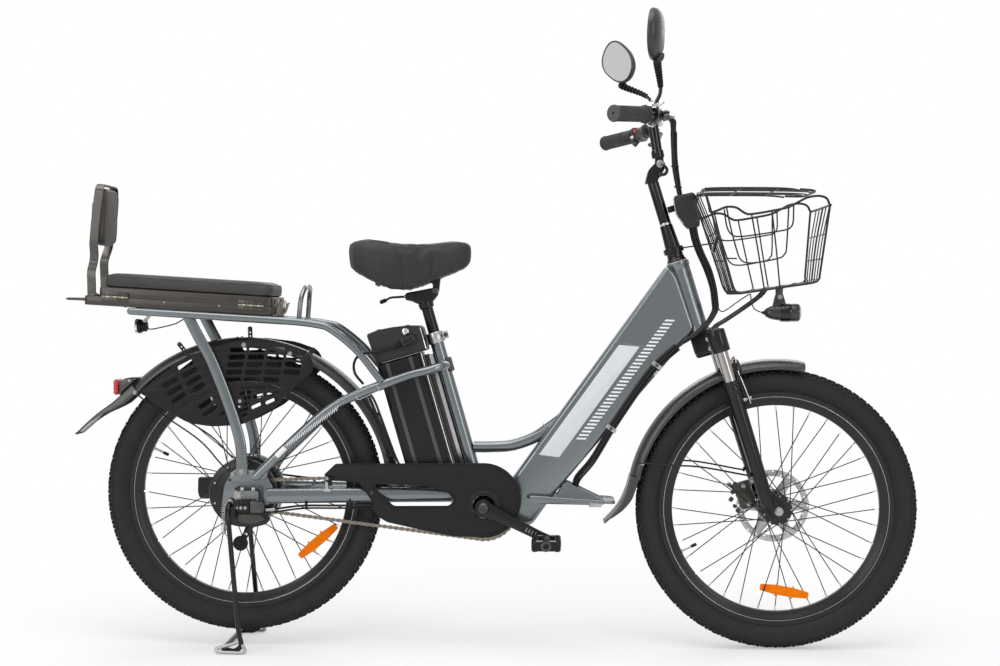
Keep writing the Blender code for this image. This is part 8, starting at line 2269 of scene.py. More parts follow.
def build_bar():
    bar = Piece()
    path = []
    for side in (-1, 1):
        half = [bar_point(side, share) for share in (0.965, 0.9, 0.8, 0.7, 0.62, 0.52, 0.3)]
        if side > 0:
            half = half[::-1]
        path += half
    path[0] = bar_point(-1, 1.0) - grip_axis(-1) * 0.005
    bar.add(sweep(smooth_path(path, 6), 0.011, 28), DARK_CHROME)
    bar.add(rod((0.358, -0.0205, BAR.z), (0.358, 0.0205, BAR.z), 0.0172, 40, 0.0025), CHROME)
    bar.add(rod((0.358, -0.0022, BAR.z), (0.358, 0.0022, BAR.z), 0.018, 40, 0.0006), DARK_STEEL)
    for y in (-0.014, 0.014):
        bar.add(brick((0.013, 0.01, 0.024), (0.3745, y, BAR.z), 0.0025, 3), CHROME)
        add_bolt(bar, (0.3745, y, BAR.z + 0.012), (0, 0, 1), 0.0036, 0.0034, DARK_STEEL)
    tilt = Vector((0.374, 0, 1.06))
    foot = tilt.lerp(BAR, 0.16)
    bar.add(rod(foot, BAR, 0.0112, 36, 0.001), DARK_CHROME)
    bar.add(lathe([(0.0, 0.0), (0.0132, 0.0), (0.014, 0.003), (0.0132, 0.016), (0.0113, 0.018),
        (0.0, 0.018)], facing(foot, BAR - foot), 40, closed=True), DARK_CHROME)
    tongue = rounded([(0.364, 1.056), (0.372, 1.05), (0.38, 1.052), (0.383, 1.06), (0.382, 1.088),
        (0.364, 1.088)], 0.004, 4)
    bar.add(panel(tongue, 0.0156, side_view(), (), 0.001), BLACK)
    add_grip(bar, 1, 0.0)
    switch = grip_start(1) - grip_axis(1) * 0.0125
    turn = Matrix.Translation(switch) @ grip_turn(1)
    bar.add(brick((0.034, 0.03, 0.03), turn, 0.006, 5), SWITCH_GREY)
    bar.add(brick((0.0344, 0.0012, 0.0304), turn @ Matrix.Translation((0, -0.001, 0)), 0.004, 3),
        PLASTIC)
    for x, z in ((-0.011, 0.01), (0.0105, -0.01)):
        at = turn @ Vector((x, -0.0142, z))
        bar.add(rod(at, at + (turn.to_3x3() @ Vector((0, -0.0012, 0))), 0.0022, 14, 0.0003),
            DARK_STEEL)
    key = turn @ Vector((-0.0172, -0.007, 0.006))
    bar.add(ball(key, 0.0052, (0.7, 1, 1), 18), RED)
    bar.add(brick((0.003, 0.011, 0.007), turn @ Matrix.Translation((-0.0172, 0.0045, -0.006)),
        0.0012, 2), PALE)
    under = turn @ Vector((-0.006, 0.0, -0.016))
    bar.add(rod(under, under + Vector((-0.008, 0, -0.01)), 0.0058, 24, 0.0012), SWITCH_GREY)
    for side in (-1, 1):
        on_bar = bar_point(side, 0.56)
        along = (bar_point(side, 0.6) - bar_point(side, 0.52)).normalized()
        bar.add(rod(on_bar - along * 0.0112, on_bar + along * 0.0112, 0.0166, 32, 0.0022), SATIN)
        hinge = on_bar + Vector((0.026, 0, -0.002))
        for z in (-0.0064, 0.0064):
            ear = hinge + Vector((-0.004, 0, z))
            bar.add(brick((0.0225, 0.0162, 0.0044), ear, 0.0018, 3), SATIN)
            add_bolt(bar, hinge + Vector((0, 0, z * 1.32)), (0, 0, math.copysign(1, z)), 0.0036,
                0.0026, STEEL)
        barrel = hinge + Vector((-0.004, -side * 0.009, 0.0))
        bar.add(rod(barrel, barrel + Vector((0.006, -side * 0.015, 0.0)), 0.0046, 24, 0.001), STEEL)
        start = bar_point(side, 0.47)
        centre = MIRRORS[side]
        joint = centre + Vector((0.01, side * 0.002, -0.055))
        knee = Vector((start.x + 0.006, start.y + side * 0.06, joint.z - 0.045))
        rise = start + Vector((0, 0, 0.024))
        bar.add(rod(start - Vector((0, 0.0092, 0)), start + Vector((0, 0.0092, 0)), 0.0155, 32,
            0.002), SATIN)
        stop = joint - (joint - knee).normalized() * 0.0083
        arm = smooth_path([start, rise, knee, stop], 10)
        bar.add(sweep(arm, 0.0042, 16), DARK_CHROME)
        bar.add(rod(start + Vector((0, 0, 0.01)), rise + Vector((0, 0, 0.004)), 0.0068, 6, 0.001),
            STEEL)
        sleeve = arm[-9:]
        for k, point in enumerate(sleeve):
            t = k / (len(sleeve) - 1)
            after = sleeve[min(k + 1, len(sleeve) - 1)]
            before = sleeve[max(k - 1, 0)]
            bar.add(lathe([(0.0, -0.0022), (0.0052 + 0.0022 * t, -0.0022),
                (0.0062 + 0.0024 * t, 0.0), (0.0052 + 0.0022 * t, 0.0022), (0.0, 0.0022)],
                facing(point, after - before), 24, closed=True), SOFT_RUBBER)
    bell = bar_point(-1, 0.6) + Vector((0.0, 0, 0.012))
    bar.add(lathe([(0.0, 0.0), (0.015, 0.0), (0.0165, 0.003), (0.015, 0.009), (0.0095, 0.0135),
        (0.0, 0.015)], Matrix.Translation(bell), 44, closed=True), CHROME)
    bar.add(rod(bell + Vector((0, 0, 0.0145)), bell + Vector((0, 0, 0.0175)), 0.003, 16, 0.0006),
        STEEL)
    paddle = smooth_path([bell + Vector((0.013, 0, 0.006)), bell + Vector((0.02, -0.006, 0.009)),
        bell + Vector((0.025, -0.014, 0.012))], 6)
    bar.add(sweep(paddle, 0.0016, 10), CHROME)
    bar.done("handlebar_with_controls", "bars", ["handlebar"], "black_paint")


def grip_turn(side):
    return grip_axis(side).to_track_quat("Y", "Z").to_matrix().to_4x4()


def add_grip(piece, side, bore):
    """A ribbed rubber grip with a collar; bore is the radius it is hollow to."""
    length = GRIP_LENGTH
    profile = [(0.019, 0.0), (0.0192, 0.002), (0.0188, 0.0042), (0.0158, 0.0052)]
    for k in range(7):
        z = 0.008 + k * 0.0034
        profile += [(0.0152, z), (0.0163, z + 0.001), (0.0163, z + 0.0022), (0.0152, z + 0.0032)]
    profile += [(0.0155, 0.04), (0.0158, 0.06), (0.0153, 0.086), (0.0156, length - 0.006),
        (0.0172, length - 0.005), (0.0174, length - 0.0015), (0.016, length)]
    tip = length - 0.0025
    if bore:
        profile += [(0.0, length), (0.0, tip), (bore, tip), (bore, 0.0)]
    else:
        profile += [(0.0, length), (0.0, 0.0)]
    frame = facing(grip_start(side), grip_axis(side))
    piece.add(lathe(profile, frame, 48, closed=True), GRIP)
    for k in range(20):
        a = 2 * math.pi * k / 20
        line = [frame @ Vector((0.0154 * math.cos(a), 0.0154 * math.sin(a), z))
            for z in (0.036, 0.07, length - 0.008)]
        piece.add(sweep(line, 0.001, 6), GRIP)
    cap = frame @ Vector((0, 0, length - 0.0004))
    out = grip_axis(side)
    piece.add(lathe([(0.0026, 0.0), (0.015, 0.0), (0.0155, 0.0008), (0.0148, 0.0018),
        (0.003, 0.0018), (0.0026, 0.0012)], facing(cap, out), 40, closed=True), CAP_GREY)
    piece.add(rod(cap + out * 0.0001, cap + out * 0.0008, 0.0027, 20), SOFT_RUBBER)


def build_controls():
    throttle = Piece()
    add_grip(throttle, -1, 0.0117)
    throttle.done("throttle_grip_ribbed", "throttle", ["throttle_grip"], "rubber")
    for side, word, body in ((-1, "right", "right_brake"), (1, "left", "left_brake")):
        lever = Piece()
        hinge = bar_point(side, 0.56) + Vector((0.026, 0, -0.002))
        spots = [(0.0, 0.0, 0.0), (0.01, 0.022, -0.0006), (0.0088, 0.038, -0.004),
            (0.008, 0.056, -0.0075), (0.002, 0.092, -0.0136), (-0.006, 0.116, -0.0161)]
        path = smooth_path([hinge + Vector((x, side * y, z)) for x, y, z in spots], 8)
        section = [(0.95, 0.3), (0.8, 0.5), (-0.8, 0.5), (-0.95, 0.3), (-0.95, -0.3), (-0.8, -0.5),
            (0.8, -0.5), (0.95, -0.3)]
        lever.add(sweep(path, 0.0062, 8, False, section), LEVER)
        lever.add(ball(path[-1], 0.0072, (1, 1, 0.8), 22), LEVER)
        lever.add(rod(hinge - Vector((0, 0, 0.0037)), hinge + Vector((0, 0, 0.0037)), 0.0076, 28,
            0.0008), LEVER)
        lever.done("brake_lever_blade_" + word, body, ["brake_lever_" + word], "black_paint")
        build_mirror(side, word)


MIRRORS = {-1: Vector((0.34, -0.3, 1.297)), 1: Vector((0.292, 0.3, 1.33))}


def build_mirror(side, word):
    """A domed oval shell with a rim and a flat glass towards the rider."""
    centre = MIRRORS[side]
    look = Vector((-1.0, -side * (0.2 if side < 0 else 0.75), 0.05)).normalized()
    turn = Matrix.Translation(centre) @ look.to_track_quat("Z", "Y").to_matrix().to_4x4()
    roll = math.radians(0 if side < 0 else -34)
    turn = turn @ Matrix.Rotation(roll, 4, "Z")
    wide, tall = (0.062, 0.0515) if side < 0 else (0.0625, 0.043)

    def oval(share, height):
        ring = []
        for k in range(48):
            a = 2 * math.pi * k / 48
            c, s = math.cos(a), math.sin(a)
            x = math.copysign(abs(c) ** 0.82, c) * wide * share
            y = math.copysign(abs(s) ** 0.86, s) * tall * share * (1 - 0.1 * c)
            ring.append(turn @ Vector((x, y, height)))
        return ring

    mirror = Piece()
    levels = [(0.02, -0.0006), (0.925, -0.0006), (0.935, 0.0006), (0.975, 0.0012), (1.0, -0.001),
        (1.0, -0.005), (0.965, -0.011), (0.86, -0.0165), (0.66, -0.0205), (0.4, -0.0225),
        (0.03, -0.0232)]
    mirror.add(loft([oval(share, height) for share, height in levels]), MIRROR_SHELL)
    mirror.add(loft([oval(0.02, 0.0002), oval(0.915, 0.0002), oval(0.918, -0.0008),
        oval(0.02, -0.0008)]), MIRROR)
    joint = centre + Vector((0.01, side * 0.002, -0.055))
    mirror.add(ball(joint, 0.0079, (1, 1, 1), 24), SOFT_RUBBER)
    inner = centre + (joint - centre) * 0.72 - look * 0.01
    mirror.add(sweep(smooth_path([joint, joint.lerp(inner, 0.5) - look * 0.003, inner], 5), 0.0075,
        18), MIRROR_SHELL)
    mirror.done("mirror_shell_" + word, word + "_mirror", ["mirror_" + word], "black_plastic")


# Cables

def add_bridge(name, points, radius):
    """A curved length of cable between two bodies that turn against each other; it is built in
    place and attached to neither.
    """
    piece = Piece()
    piece.add(sweep(smooth_path(points, 10), radius, 14), HOSE)
    made = piece.done(name, None, (), "black_wire")
    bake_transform(made)


def build_cables():
    bundle = Piece()
    turn = Matrix.Translation((0.433, -0.02, 0.957)) @ Matrix.Rotation(math.radians(-12), 4, "Y")
    case = rounded([(-0.0235, 0.034), (-0.019, 0.0385), (0.019, 0.0385), (0.024, 0.033),
        (0.0235, -0.02), (0.019, -0.038), (-0.006, -0.0385), (-0.012, -0.03), (-0.0245, -0.002)],
        0.004, 4)
    bundle.add(panel(case, 0.034, turn @ side_view(), (), 0.005, 5), CASE_GREY)
    bundle.add(panel(rounded([(x * 0.86 + 0.002, z * 0.86 + 0.001) for x, z in case[::4]], 0.003,
        2), 0.0356, turn @ side_view(), (), 0.0012), CASE_GREY)
    edge = [turn @ Vector((x, -0.0165, z)) for x, z in ((-0.019, 0.038), (-0.024, 0.031),
        (-0.025, 0.0), (-0.015, -0.025))]
    bundle.add(sweep(smooth_path(edge, 6), 0.0014, 10), STEEL)
    for x, z in ((-0.015, 0.03), (0.015, -0.025)):
        at = turn @ Vector((x, -0.0178, z))
        bundle.add(rod(at, at + Vector((0, -0.0009, 0)), 0.0026, 14, 0.0003), DARK_STEEL)
    add_run(bundle, [(0.403, -0.016, 1.13), (0.406, -0.018, 1.071), (0.415, -0.018, 1.0),
        (0.42, -0.018, 0.982)], 0.0034)
    add_run(bundle, [(0.3995, -0.024, 1.13), (0.401, -0.025, 1.09), (0.4035, -0.025, 1.05),
        (0.412, -0.025, 1.004), (0.418, -0.024, 0.982)], 0.0034)
    add_run(bundle, [(0.4085, -0.02, 1.13), (0.41, -0.02, 1.071), (0.419, -0.02, 1.0),
        (0.423, -0.018, 0.982)], 0.0026)
    for spot in ((0.4065, -0.02, 1.055), (0.413, -0.0205, 1.01)):
        place = Matrix.Translation(spot) @ Matrix.Rotation(math.radians(8), 4, "Y")
        bundle.add(brick((0.017, 0.0135, 0.003), place, 0.0012, 2), SOFT_RUBBER)
    for k, (dx, dy, r) in enumerate(((0.0, 0.0, 0.0036), (-0.0062, 0.003, 0.0028),
                                     (0.006, -0.004, 0.0028))):
        run = [(0.445 + dx, -0.022 + dy, 0.925), (0.451 + dx, -0.023 + dy, 0.896),
            (0.461 + dx, -0.024 + dy, 0.868), (0.478 + dx, -0.023 + dy, 0.83),
            (0.49 + dx * 0.8, -0.022 + dy, 0.79), (0.495 + dx * 0.8, -0.02 + dy, 0.752)]
        add_run(bundle, run, r)
    bundle.add(brick((0.02, 0.012, 0.014), steering(0.114, 0.0232, -0.004), 0.002), PLASTIC)
    bundle.done("cable_bundle_runs", "steerer", ["cable_bundle"], "rubber")
    for k, (dx, dy, r) in enumerate(((0.0, 0.0, 0.0036), (-0.0062, 0.003, 0.0028),
                                     (0.006, -0.004, 0.0028))):
        add_bridge("steering_cable_%d" % (k + 1), [(0.4949 + dx * 0.8, -0.02 + dy, 0.756),
            (0.4935 + dx * 0.7, -0.022 + dy, 0.74), (0.476 + dx * 0.6, -0.033 + dy, 0.713),
            (0.45 + dx * 0.6, -0.038 + dy * 0.7, 0.69), (0.43 + dx * 0.5, -0.0365 + dy * 0.3,
            0.676), (0.411 + dx * 0.4, -0.0345, 0.662 + dx * 0.4)], r)
    for k, (dx, dy, r) in enumerate(((0.0, 0.0, 0.0034), (0.007, 0.004, 0.0026),
                                     (-0.006, -0.003, 0.0026))):
        add_bridge("bar_cable_%d" % (k + 1), [(0.3745 + dx, -0.016 + dy, 1.156),
            (0.39 + dx, -0.018 + dy, 1.162), (0.401 + dx * 0.8, -0.019 + dy, 1.154),
            (0.4025 + dx * 0.6, -0.019 + dy, 1.14), (0.403 + dx * 0.6, -0.018 + dy, 1.1285)], r)


def add_run(piece, points, radius):
    piece.add(sweep(smooth_path(points, 8), radius, 14), HOSE)


def build_down_cable():
    run = Piece()
    spine = [(0.412, 0.662), (0.367, 0.622), (0.33, 0.575), (0.271, 0.487), (0.228, 0.415),
        (0.196, 0.374), (0.19, 0.352)]
    depth = [-0.0345, -0.0338, -0.0338, -0.0338, -0.028, -0.012, -0.008]
    for shift, radius, out in ((0.0, 0.0034, 0.0), (0.0062, 0.0026, 0.0005),
                               (-0.0058, 0.0026, -0.0008)):
        points = [(x + shift * 0.7, y + (out if k < 4 else 0.0), z - shift * 0.7) for k, ((x, z),
            y) in enumerate(zip(spine, depth))]
        run.add(sweep(smooth_path(points, 8), radius, 12), HOSE)
    for x, z in ((0.367, 0.622), (0.268, 0.484)):
        place = Matrix.Translation((x, -0.0362, z)) @ Matrix.Rotation(math.radians(35), 4, "Y")
        run.add(brick((0.025, 0.004, 0.01), place, 0.0016, 3), STEEL)
        add_bolt(run, (x - 0.0002, -0.038, z), (0, -1, 0), 0.0028, 0.0018, DARK_STEEL)
    run.done("down_tube_cables", "frame", ["down_tube_cable"], "rubber")


# Basket and lamp

def basket_spot(u, side, share):
    """A point on a side of the basket: u 0 is its back and 1 its front, share 0 its floor."""
    low = Vector((0.53 + 0.176 * u, side * 0.098, 0.777 + 0.026 * u))
    high = Vector((0.464 + 0.26 * u, side * 0.132, 0.987 - 0.021 * u))
    return low.lerp(high, share)


def wire(piece, points, radius, cyclic=False, steps=8):
    piece.add(sweep(smooth_path([Vector(p) for p in points], steps) if not cyclic
        else smooth_ring([Vector(p) for p in points], steps), radius, 12, cyclic), WIRE)


def build_basket():
    basket = Piece()
    for side in (-1, 1):
        rim = [(0.464, 0.985), (0.47, 0.964), (0.474, 0.95), (0.488, 0.953), (0.5072, 0.9605),
            (0.5277, 0.959), (0.5454, 0.948), (0.5601, 0.9455), (0.604, 0.9525), (0.6362, 0.9595),
            (0.6567, 0.97), (0.6771, 0.98), (0.7, 0.983), (0.716, 0.978), (0.723, 0.965)]
        wire(basket, [(x, side * (0.098 + 0.034 * (z - 0.78) / 0.2), z) for x, z in rim], 0.0026,
            steps=5)
        wire(basket, [basket_spot(0.0, side, s) for s in (1.0, 0.75, 0.5, 0.25, 0.06)]
            + [(0.538, side * 0.093, 0.779), (0.552, side * 0.093, 0.78)]
            + [(0.62, side * 0.093, 0.79), (0.69, side * 0.093, 0.8003)]
            + [(0.706, side * 0.096, 0.808)] + [basket_spot(1.0, side, s)
            for s in (0.12, 0.5, 0.97)], 0.0024, steps=5)
        deep = 0.0008
        nest = [(0.507, 0.96), (0.5174, 0.9148), (0.5323, 0.8645), (0.5397, 0.85), (0.552, 0.8432),
            (0.5795, 0.8446), (0.6207, 0.8532), (0.631, 0.861), (0.6353, 0.876), (0.6375, 0.959)]
        wire(basket, [(x, side * (0.098 + 0.034 * (z - 0.78) / 0.2 + deep), z) for x, z in nest],
            0.0017, steps=6)
        small = [(0.5026, 0.956), (0.5085, 0.9208), (0.5174, 0.9045), (0.5322, 0.8985),
            (0.5705, 0.9023), (0.6293, 0.9117), (0.6425, 0.9176), (0.6478, 0.9294), (0.648, 0.964)]
        wire(basket, [(x, side * (0.098 + 0.034 * (z - 0.78) / 0.2 - deep), z) for x, z in small],
            0.0017, steps=6)
        for low_x, low_z, high_x, high_z in ((0.5915, 0.7865, 0.56, 0.9455),
                                             (0.6245, 0.7912, 0.6027, 0.9525)):
            low = (low_x, side * 0.0935, low_z)
            middle = ((low_x + high_x) / 2, side * 0.1155, (low_z + high_z) / 2)
            wire(basket, [low, middle, (high_x, side * (0.098 + 0.034 * (high_z - 0.78) / 0.2),
                high_z)], 0.0017, steps=4)
        wire(basket, [basket_spot(0.0, side, 0.36), basket_spot(0.08, side, 0.355),
            basket_spot(0.12, side, 0.352)], 0.0016, steps=3)
    for u, radius in ((0.0, 0.0026), (1.0, 0.0026)):
        ends = [basket_spot(u, side, 1.0 if u == 0.0 else 0.985) for side in (-1, 1)]
        bow = (-0.01 if u == 0.0 else 0.006)
        wire(basket, [ends[0], ends[0].lerp(ends[1], 0.12) + Vector((bow, 0, 0.002)),
            ends[0].lerp(ends[1], 0.5) + Vector((bow, 0, 0.002)), ends[0].lerp(ends[1], 0.88)
            + Vector((bow, 0, 0.002)), ends[1]], radius)
        for share in (0.3, 0.62):
            a = basket_spot(u, -1, share)
            b = basket_spot(u, 1, share)
            wire(basket, [a, a.lerp(b, 0.5), b], 0.0016, steps=3)
        for k in range(1, 6):
            t = k / 6
            low = basket_spot(u, -1, 0.03).lerp(basket_spot(u, 1, 0.03), t)
            top = 1.0 if u == 0 else 0.985
            high = basket_spot(u, -1, top).lerp(basket_spot(u, 1, top), t)
            wire(basket, [low, low.lerp(high, 0.5), high + Vector((bow, 0, 0.001))], 0.002 if k == 3
                else 0.0014, steps=3)
    for k in range(7):
        t = (k + 0.5) / 7
        y = -0.093 + 0.186 * t
        wire(basket, [(0.531, y, 0.785), (0.538, y, 0.7775), (0.62, y, 0.7895), (0.698, y, 0.8005),
            (0.7055, y, 0.809)], 0.0016, steps=4)
    for k in range(5):
        x = 0.556 + 0.031 * k
        z = 0.777 + 0.026 * (x - 0.53) / 0.176 + 0.002
        wire(basket, [(x, -0.0935, z), (x, 0.0, z - 0.001), (x, 0.0935, z)], 0.002, steps=3)
    for y in (-0.03, 0.03):
        wire(basket, [(0.4965, y * 0.85, 0.683), (0.4935, y * 0.9, 0.696), (0.4985, y, 0.7075),
            (0.52, y, 0.713 + 0.008), (0.56, y, 0.748), (0.592, y, 0.772), (0.606, y, 0.788)],
            0.003, steps=8)
    strap = Matrix.Translation((0.46, 0, 0.8838)) @ Matrix.Rotation(math.radians(-8.2), 4, "Y")
    basket.add(brick((0.073, 0.0235, 0.003), strap, 0.001, 2), BLACK)
    basket.add(lathe([(0.0188, 0.02), (0.022, 0.02), (0.0222, 0.022), (0.0222, 0.0305),
        (0.0218, 0.0322), (0.0186, 0.0322)], steering(0.0), 44, closed=True), BLACK)
    add_bolt(basket, (0.496, -0.006, 0.8895), (-0.15, 0, 1), 0.0036, 0.003, STEEL)
    basket.add(brick((0.006, 0.03, 0.04), Matrix.Translation((0.497, 0, 0.888))
        @ Matrix.Rotation(math.radians(17), 4, "Y"), 0.0014), BLACK)
    pivot = Vector((0.636, 0, 0.771))
    basket.add(brick((0.02, 0.024, 0.0026), (pivot.x, 0, 0.7906), 0.0008), DARK_STEEL)
    for side in (-1, 1):
        lug = rounded([(-0.007, 0.021), (0.007, 0.021), (0.0066, -0.006), (0.0, -0.0075),
            (-0.0066, -0.006)], 0.002, 3)
        made = [(pivot.x + x, pivot.z + z) for x, z in lug]
        basket.add(panel(made, 0.0026, side_view(side * 0.0099), (), 0.0006), DARK_STEEL)
        add_bolt(basket, (pivot.x, side * 0.0112, pivot.z), (0, side, 0), 0.0036, 0.0024, STEEL)
        eye = Vector((0.464, side * 0.06, 1.0))
        basket.add(lathe([(0.0027, -0.0028), (0.0044, -0.0028), (0.0044, 0.0028), (0.0027, 0.0028)],
            wheel_frame(eye), 28, closed=True), STEEL)
        basket.add(brick((0.005, 0.0046, 0.01), (eye.x, eye.y, eye.z - 0.0088), 0.001), STEEL)
    basket.add(across(pivot, -0.011, 0.011, 0.0019, 16), STEEL)
    basket.done("basket_wires", "steerer", ["basket"], "black_wire")

    lid = Piece()
    hinge = 0.464
    rows = [(0.119, 0.0022), (0.074, 0.0015), (0.033, 0.0015)]
    for y, radius in rows:
        for side in (-1, 1):
            front = 0.702 - 0.04 * (y / 0.119) ** 6
            wire(lid, [(hinge, side * y, 1.0), (0.5, side * y, 1.0012), (0.6, side * y, 1.0008),
                (front - 0.02, side * y * 0.995, 0.999), (front, side * y * 0.95, 0.996)], radius,
                steps=5)
    edge = [(0.664, -0.115, 0.9985), (0.69, -0.104, 0.997), (0.701, -0.075, 0.996),
        (0.702, 0.0, 0.9958), (0.701, 0.075, 0.996), (0.69, 0.104, 0.997), (0.664, 0.115, 0.9985)]
    wire(lid, edge, 0.0024, steps=8)
    for x in (0.54, 0.62):
        wire(lid, [(x, -0.118, 1.0005), (x, 0, 1.0012), (x, 0.118, 1.0005)], 0.0017, steps=4)
    lid.add(sweep([(hinge, -0.119, 1.0), (hinge, 0.0, 1.0), (hinge, 0.119, 1.0)], 0.0023, 16), WIRE)
    lid.done("basket_lid_wires", "basket_cover", ["basket_lid"], "black_wire")


def build_headlamp():
    lamp = Piece()
    frame = facing((0.602, 0, 0.7365), (1, 0, 0))
    lamp.add(lathe([(0.0, 0.0), (0.004, 0.0008), (0.009, 0.005), (0.0138, 0.014), (0.0166, 0.027),
        (0.0182, 0.042), (0.019, 0.056), (0.0192, 0.06), (0.0196, 0.061), (0.0196, 0.074),
        (0.0188, 0.0765), (0.0176, 0.0768), (0.0168, 0.074), (0.0, 0.074)], frame, 64, closed=True),
        LAMP_SHELL)
    lamp.add(lathe([(0.0, 0.0742), (0.0166, 0.0742), (0.0172, 0.0775), (0.014, 0.0795),
        (0.008, 0.0806), (0.0, 0.081)], frame, 56, closed=True), LENS_GREY)
    for k in range(7):
        shift = -0.012 + k * 0.004
        reach = math.sqrt(max(0.0, 0.015 ** 2 - shift ** 2))
        line = [(0.6816, shift, 0.7365 - reach), (0.6824, shift, 0.7365),
            (0.6816, shift, 0.7365 + reach)]
        lamp.add(sweep(line, 0.0005, 6), LENS_GREY)
    lamp.add(lathe([(0.0192, 0.036), (0.02, 0.0385), (0.0202, 0.056), (0.0194, 0.059),
        (0.0184, 0.059), (0.018, 0.036)], frame, 56, closed=True), DARK_CHROME)
    strap = rounded([(0.621, 0.75), (0.651, 0.753), (0.644, 0.777), (0.628, 0.777)], 0.003, 3)
    hole = circle((0.636, 0.771), 0.0022, 16)
    lamp.add(panel(strap, 0.015, side_view(), [hole], 0.001), LAMP_SHELL)
    lamp.add(rod((0.6042, 0, 0.7365), (0.5985, 0, 0.7368), 0.0034, 18, 0.0008), SOFT_RUBBER)
    lamp.done("headlamp_shell_and_lens", "lamp", ["headlamp"], "black_plastic")
    line = [(0.605, 0, 0.7366), (0.599, 0, 0.7369), (0.59, 0, 0.74), (0.583, 0, 0.744),
        (0.579, 0.001, 0.75), (0.576, 0.003, 0.762), (0.574, 0.004, 0.776)]
    add_bridge("headlamp_wire", line, 0.0013)
    rest = Piece()
    rest.add(sweep(smooth_path([(0.5745, 0.004, 0.773), (0.57, 0.004, 0.776), (0.54, 0.004, 0.756),
        (0.52, 0.002, 0.742), (0.508, -0.004, 0.74), (0.496, -0.014, 0.756)], 8), 0.0013, 8), HOSE)
    rest.done("headlamp_wire_end", "steerer", (), "black_wire")


WIRE = finish("basket_wire_coat", (0.022, 0.022, 0.022), 0.28, 0.45, tint=0.2, grain=0.06,
    grain_scale=900)
DARK_CHROME = finish("dark_chrome", (0.05, 0.048, 0.047), 0.14, 1.0, tint=0.15, grain=0.03,
    grain_scale=1200)
GRIP = finish("grip_rubber", (0.03, 0.029, 0.029), 0.55, tint=0.2, grain=0.35, grain_scale=1800)
CAP_GREY = finish("grip_cap_rubber", (0.07, 0.068, 0.066), 0.55, tint=0.15, grain=0.2,
    grain_scale=1500)
SWITCH_GREY = finish("switch_plastic", (0.03, 0.029, 0.028), 0.4, tint=0.15, grain=0.18,
    grain_scale=1500)
LEVER = finish("lever_paint", (0.03, 0.03, 0.031), 0.28, tint=0.2, coat=0.4, grain=0.03,
    grain_scale=900)
MIRROR_SHELL = finish("mirror_shell_plastic", (0.03, 0.029, 0.028), 0.32, tint=0.2, grain=0.1,
    grain_scale=1600)
CASE_GREY = finish("cable_case_plastic", (0.012, 0.012, 0.012), 0.36, tint=0.2, grain=0.18,
    grain_scale=1400)
LAMP_SHELL = finish("lamp_shell_plastic", (0.022, 0.021, 0.02), 0.26, tint=0.2, coat=0.3,
    grain=0.06, grain_scale=1400)
LENS_GREY = finish("frosted_lens", (0.62, 0.61, 0.58), 0.22, tint=0.1, tint_scale=120, coat=0.6,
    grain=0.3, grain_scale=900)
build_crown()
build_lowers()
build_front_caliper()
build_front_fender()
build_stem()
build_bar()
build_controls()
build_cables()
build_down_cable()
build_basket()
build_headlamp()



# Floor, light and camera

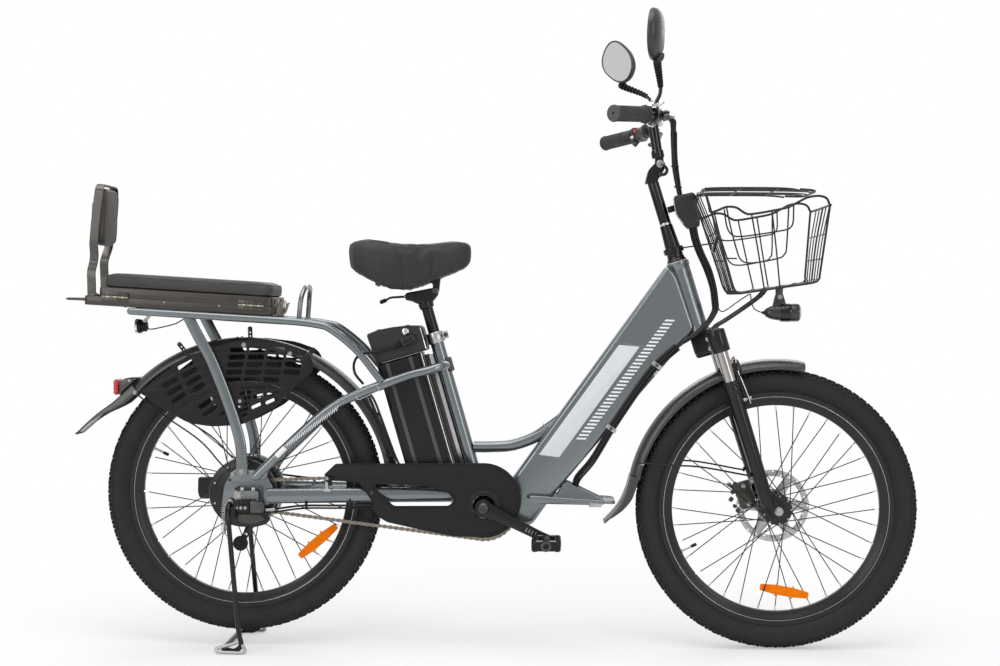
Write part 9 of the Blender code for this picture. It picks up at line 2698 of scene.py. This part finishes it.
def build_stage():
    floor = Piece()
    slab = bmesh.new()
    corners = [slab.verts.new(c) for c in ((-40, -8, 0), (40, -8, 0), (40, 60, 0), (-40, 60, 0))]
    slab.faces.new(corners)
    ground = bpy.data.materials.new("pale_floor")
    ground.use_nodes = True
    tree = ground.node_tree
    shader = tree.nodes["Principled BSDF"]
    shader.inputs["Base Color"].default_value = (0.86, 0.86, 0.86, 1)
    shader.inputs["Roughness"].default_value = 0.9
    shader.inputs["Specular IOR Level"].default_value = 0.0
    glow = tree.nodes.new("ShaderNodeEmission")
    mix = tree.nodes.new("ShaderNodeMixShader")
    path = tree.nodes.new("ShaderNodeLightPath")
    share = tree.nodes.new("ShaderNodeMath")
    share.operation = "MULTIPLY"
    where = tree.nodes.new("ShaderNodeTexCoord")
    reach = tree.nodes.new("ShaderNodeVectorMath")
    reach.operation = "LENGTH"
    tree.links.new(where.outputs["Object"], reach.inputs[0])
    near = tree.nodes.new("ShaderNodeMapRange")
    near.interpolation_type = "SMOOTHSTEP"
    near.inputs["From Min"].default_value = 0.8
    near.inputs["From Max"].default_value = 1.6
    near.inputs["To Min"].default_value = 0.42
    near.inputs["To Max"].default_value = 1.0
    tree.links.new(reach.outputs["Value"], near.inputs["Value"])
    tree.links.new(near.outputs["Result"], share.inputs[1])
    tree.links.new(path.outputs["Is Camera Ray"], share.inputs[0])
    tree.links.new(share.outputs[0], mix.inputs["Fac"])
    tree.links.new(shader.outputs[0], mix.inputs[1])
    tree.links.new(glow.outputs[0], mix.inputs[2])
    tree.links.new(mix.outputs[0], tree.nodes["Material Output"].inputs["Surface"])
    floor.add(slab, ground)
    floor.done("floor")


def build_world():
    world = bpy.data.worlds.new("studio")
    bpy.context.scene.world = world
    world.use_nodes = True
    tree = world.node_tree
    background = tree.nodes["Background"]
    background.inputs["Color"].default_value = (1, 1, 1, 1)
    path = tree.nodes.new("ShaderNodeLightPath")
    seen = tree.nodes.new("ShaderNodeMath")
    seen.operation = "MAXIMUM"
    tree.links.new(path.outputs["Is Camera Ray"], seen.inputs[0])
    tree.links.new(path.outputs["Is Transmission Ray"], seen.inputs[1])
    strength = tree.nodes.new("ShaderNodeMapRange")
    strength.inputs["To Min"].default_value = 0.62
    strength.inputs["To Max"].default_value = 1.0
    tree.links.new(seen.outputs[0], strength.inputs["Value"])
    tree.links.new(strength.outputs["Result"], background.inputs["Strength"])


def build_lamp(name, place, target, size, power):
    light = bpy.data.lights.new(name, "AREA")
    light.shape = "RECTANGLE"
    light.size, light.size_y = size
    light.energy = power
    lamp = bpy.data.objects.new(name, light)
    lamp.location = place
    lamp.rotation_mode = "QUATERNION"
    lamp.rotation_quaternion = (Vector(target) - Vector(place)).to_track_quat("-Z", "Y")
    bpy.context.scene.collection.objects.link(lamp)


def build_camera():
    lens = bpy.data.cameras.new("camera")
    lens.lens = 56.7
    lens.sensor_width = 36
    camera = bpy.data.objects.new("camera", lens)
    camera.location = (0.1575, -3.4709, 0.7642)
    camera.rotation_euler = (math.radians(90 - 1.2), 0, math.radians(2.2))
    bpy.context.scene.collection.objects.link(camera)
    bpy.context.scene.camera = camera


build_stage()
build_world()
build_lamp("overhead", (-0.3, -0.6, 3.2), (0.0, 0.0, 0.4), (3.6, 2.4), 62)
build_lamp("front_left", (-2.6, -3.2, 1.9), (-0.1, 0, 0.5), (1.6, 2.2), 30)
build_lamp("front_right", (2.8, -2.8, 1.6), (0.2, 0, 0.5), (1.2, 2.2), 22)
build_lamp("back", (0.4, 3.0, 2.4), (0.0, 0.0, 0.5), (3.0, 1.4), 26)
build_camera()
bpy.context.scene.view_settings.view_transform = "Standard"
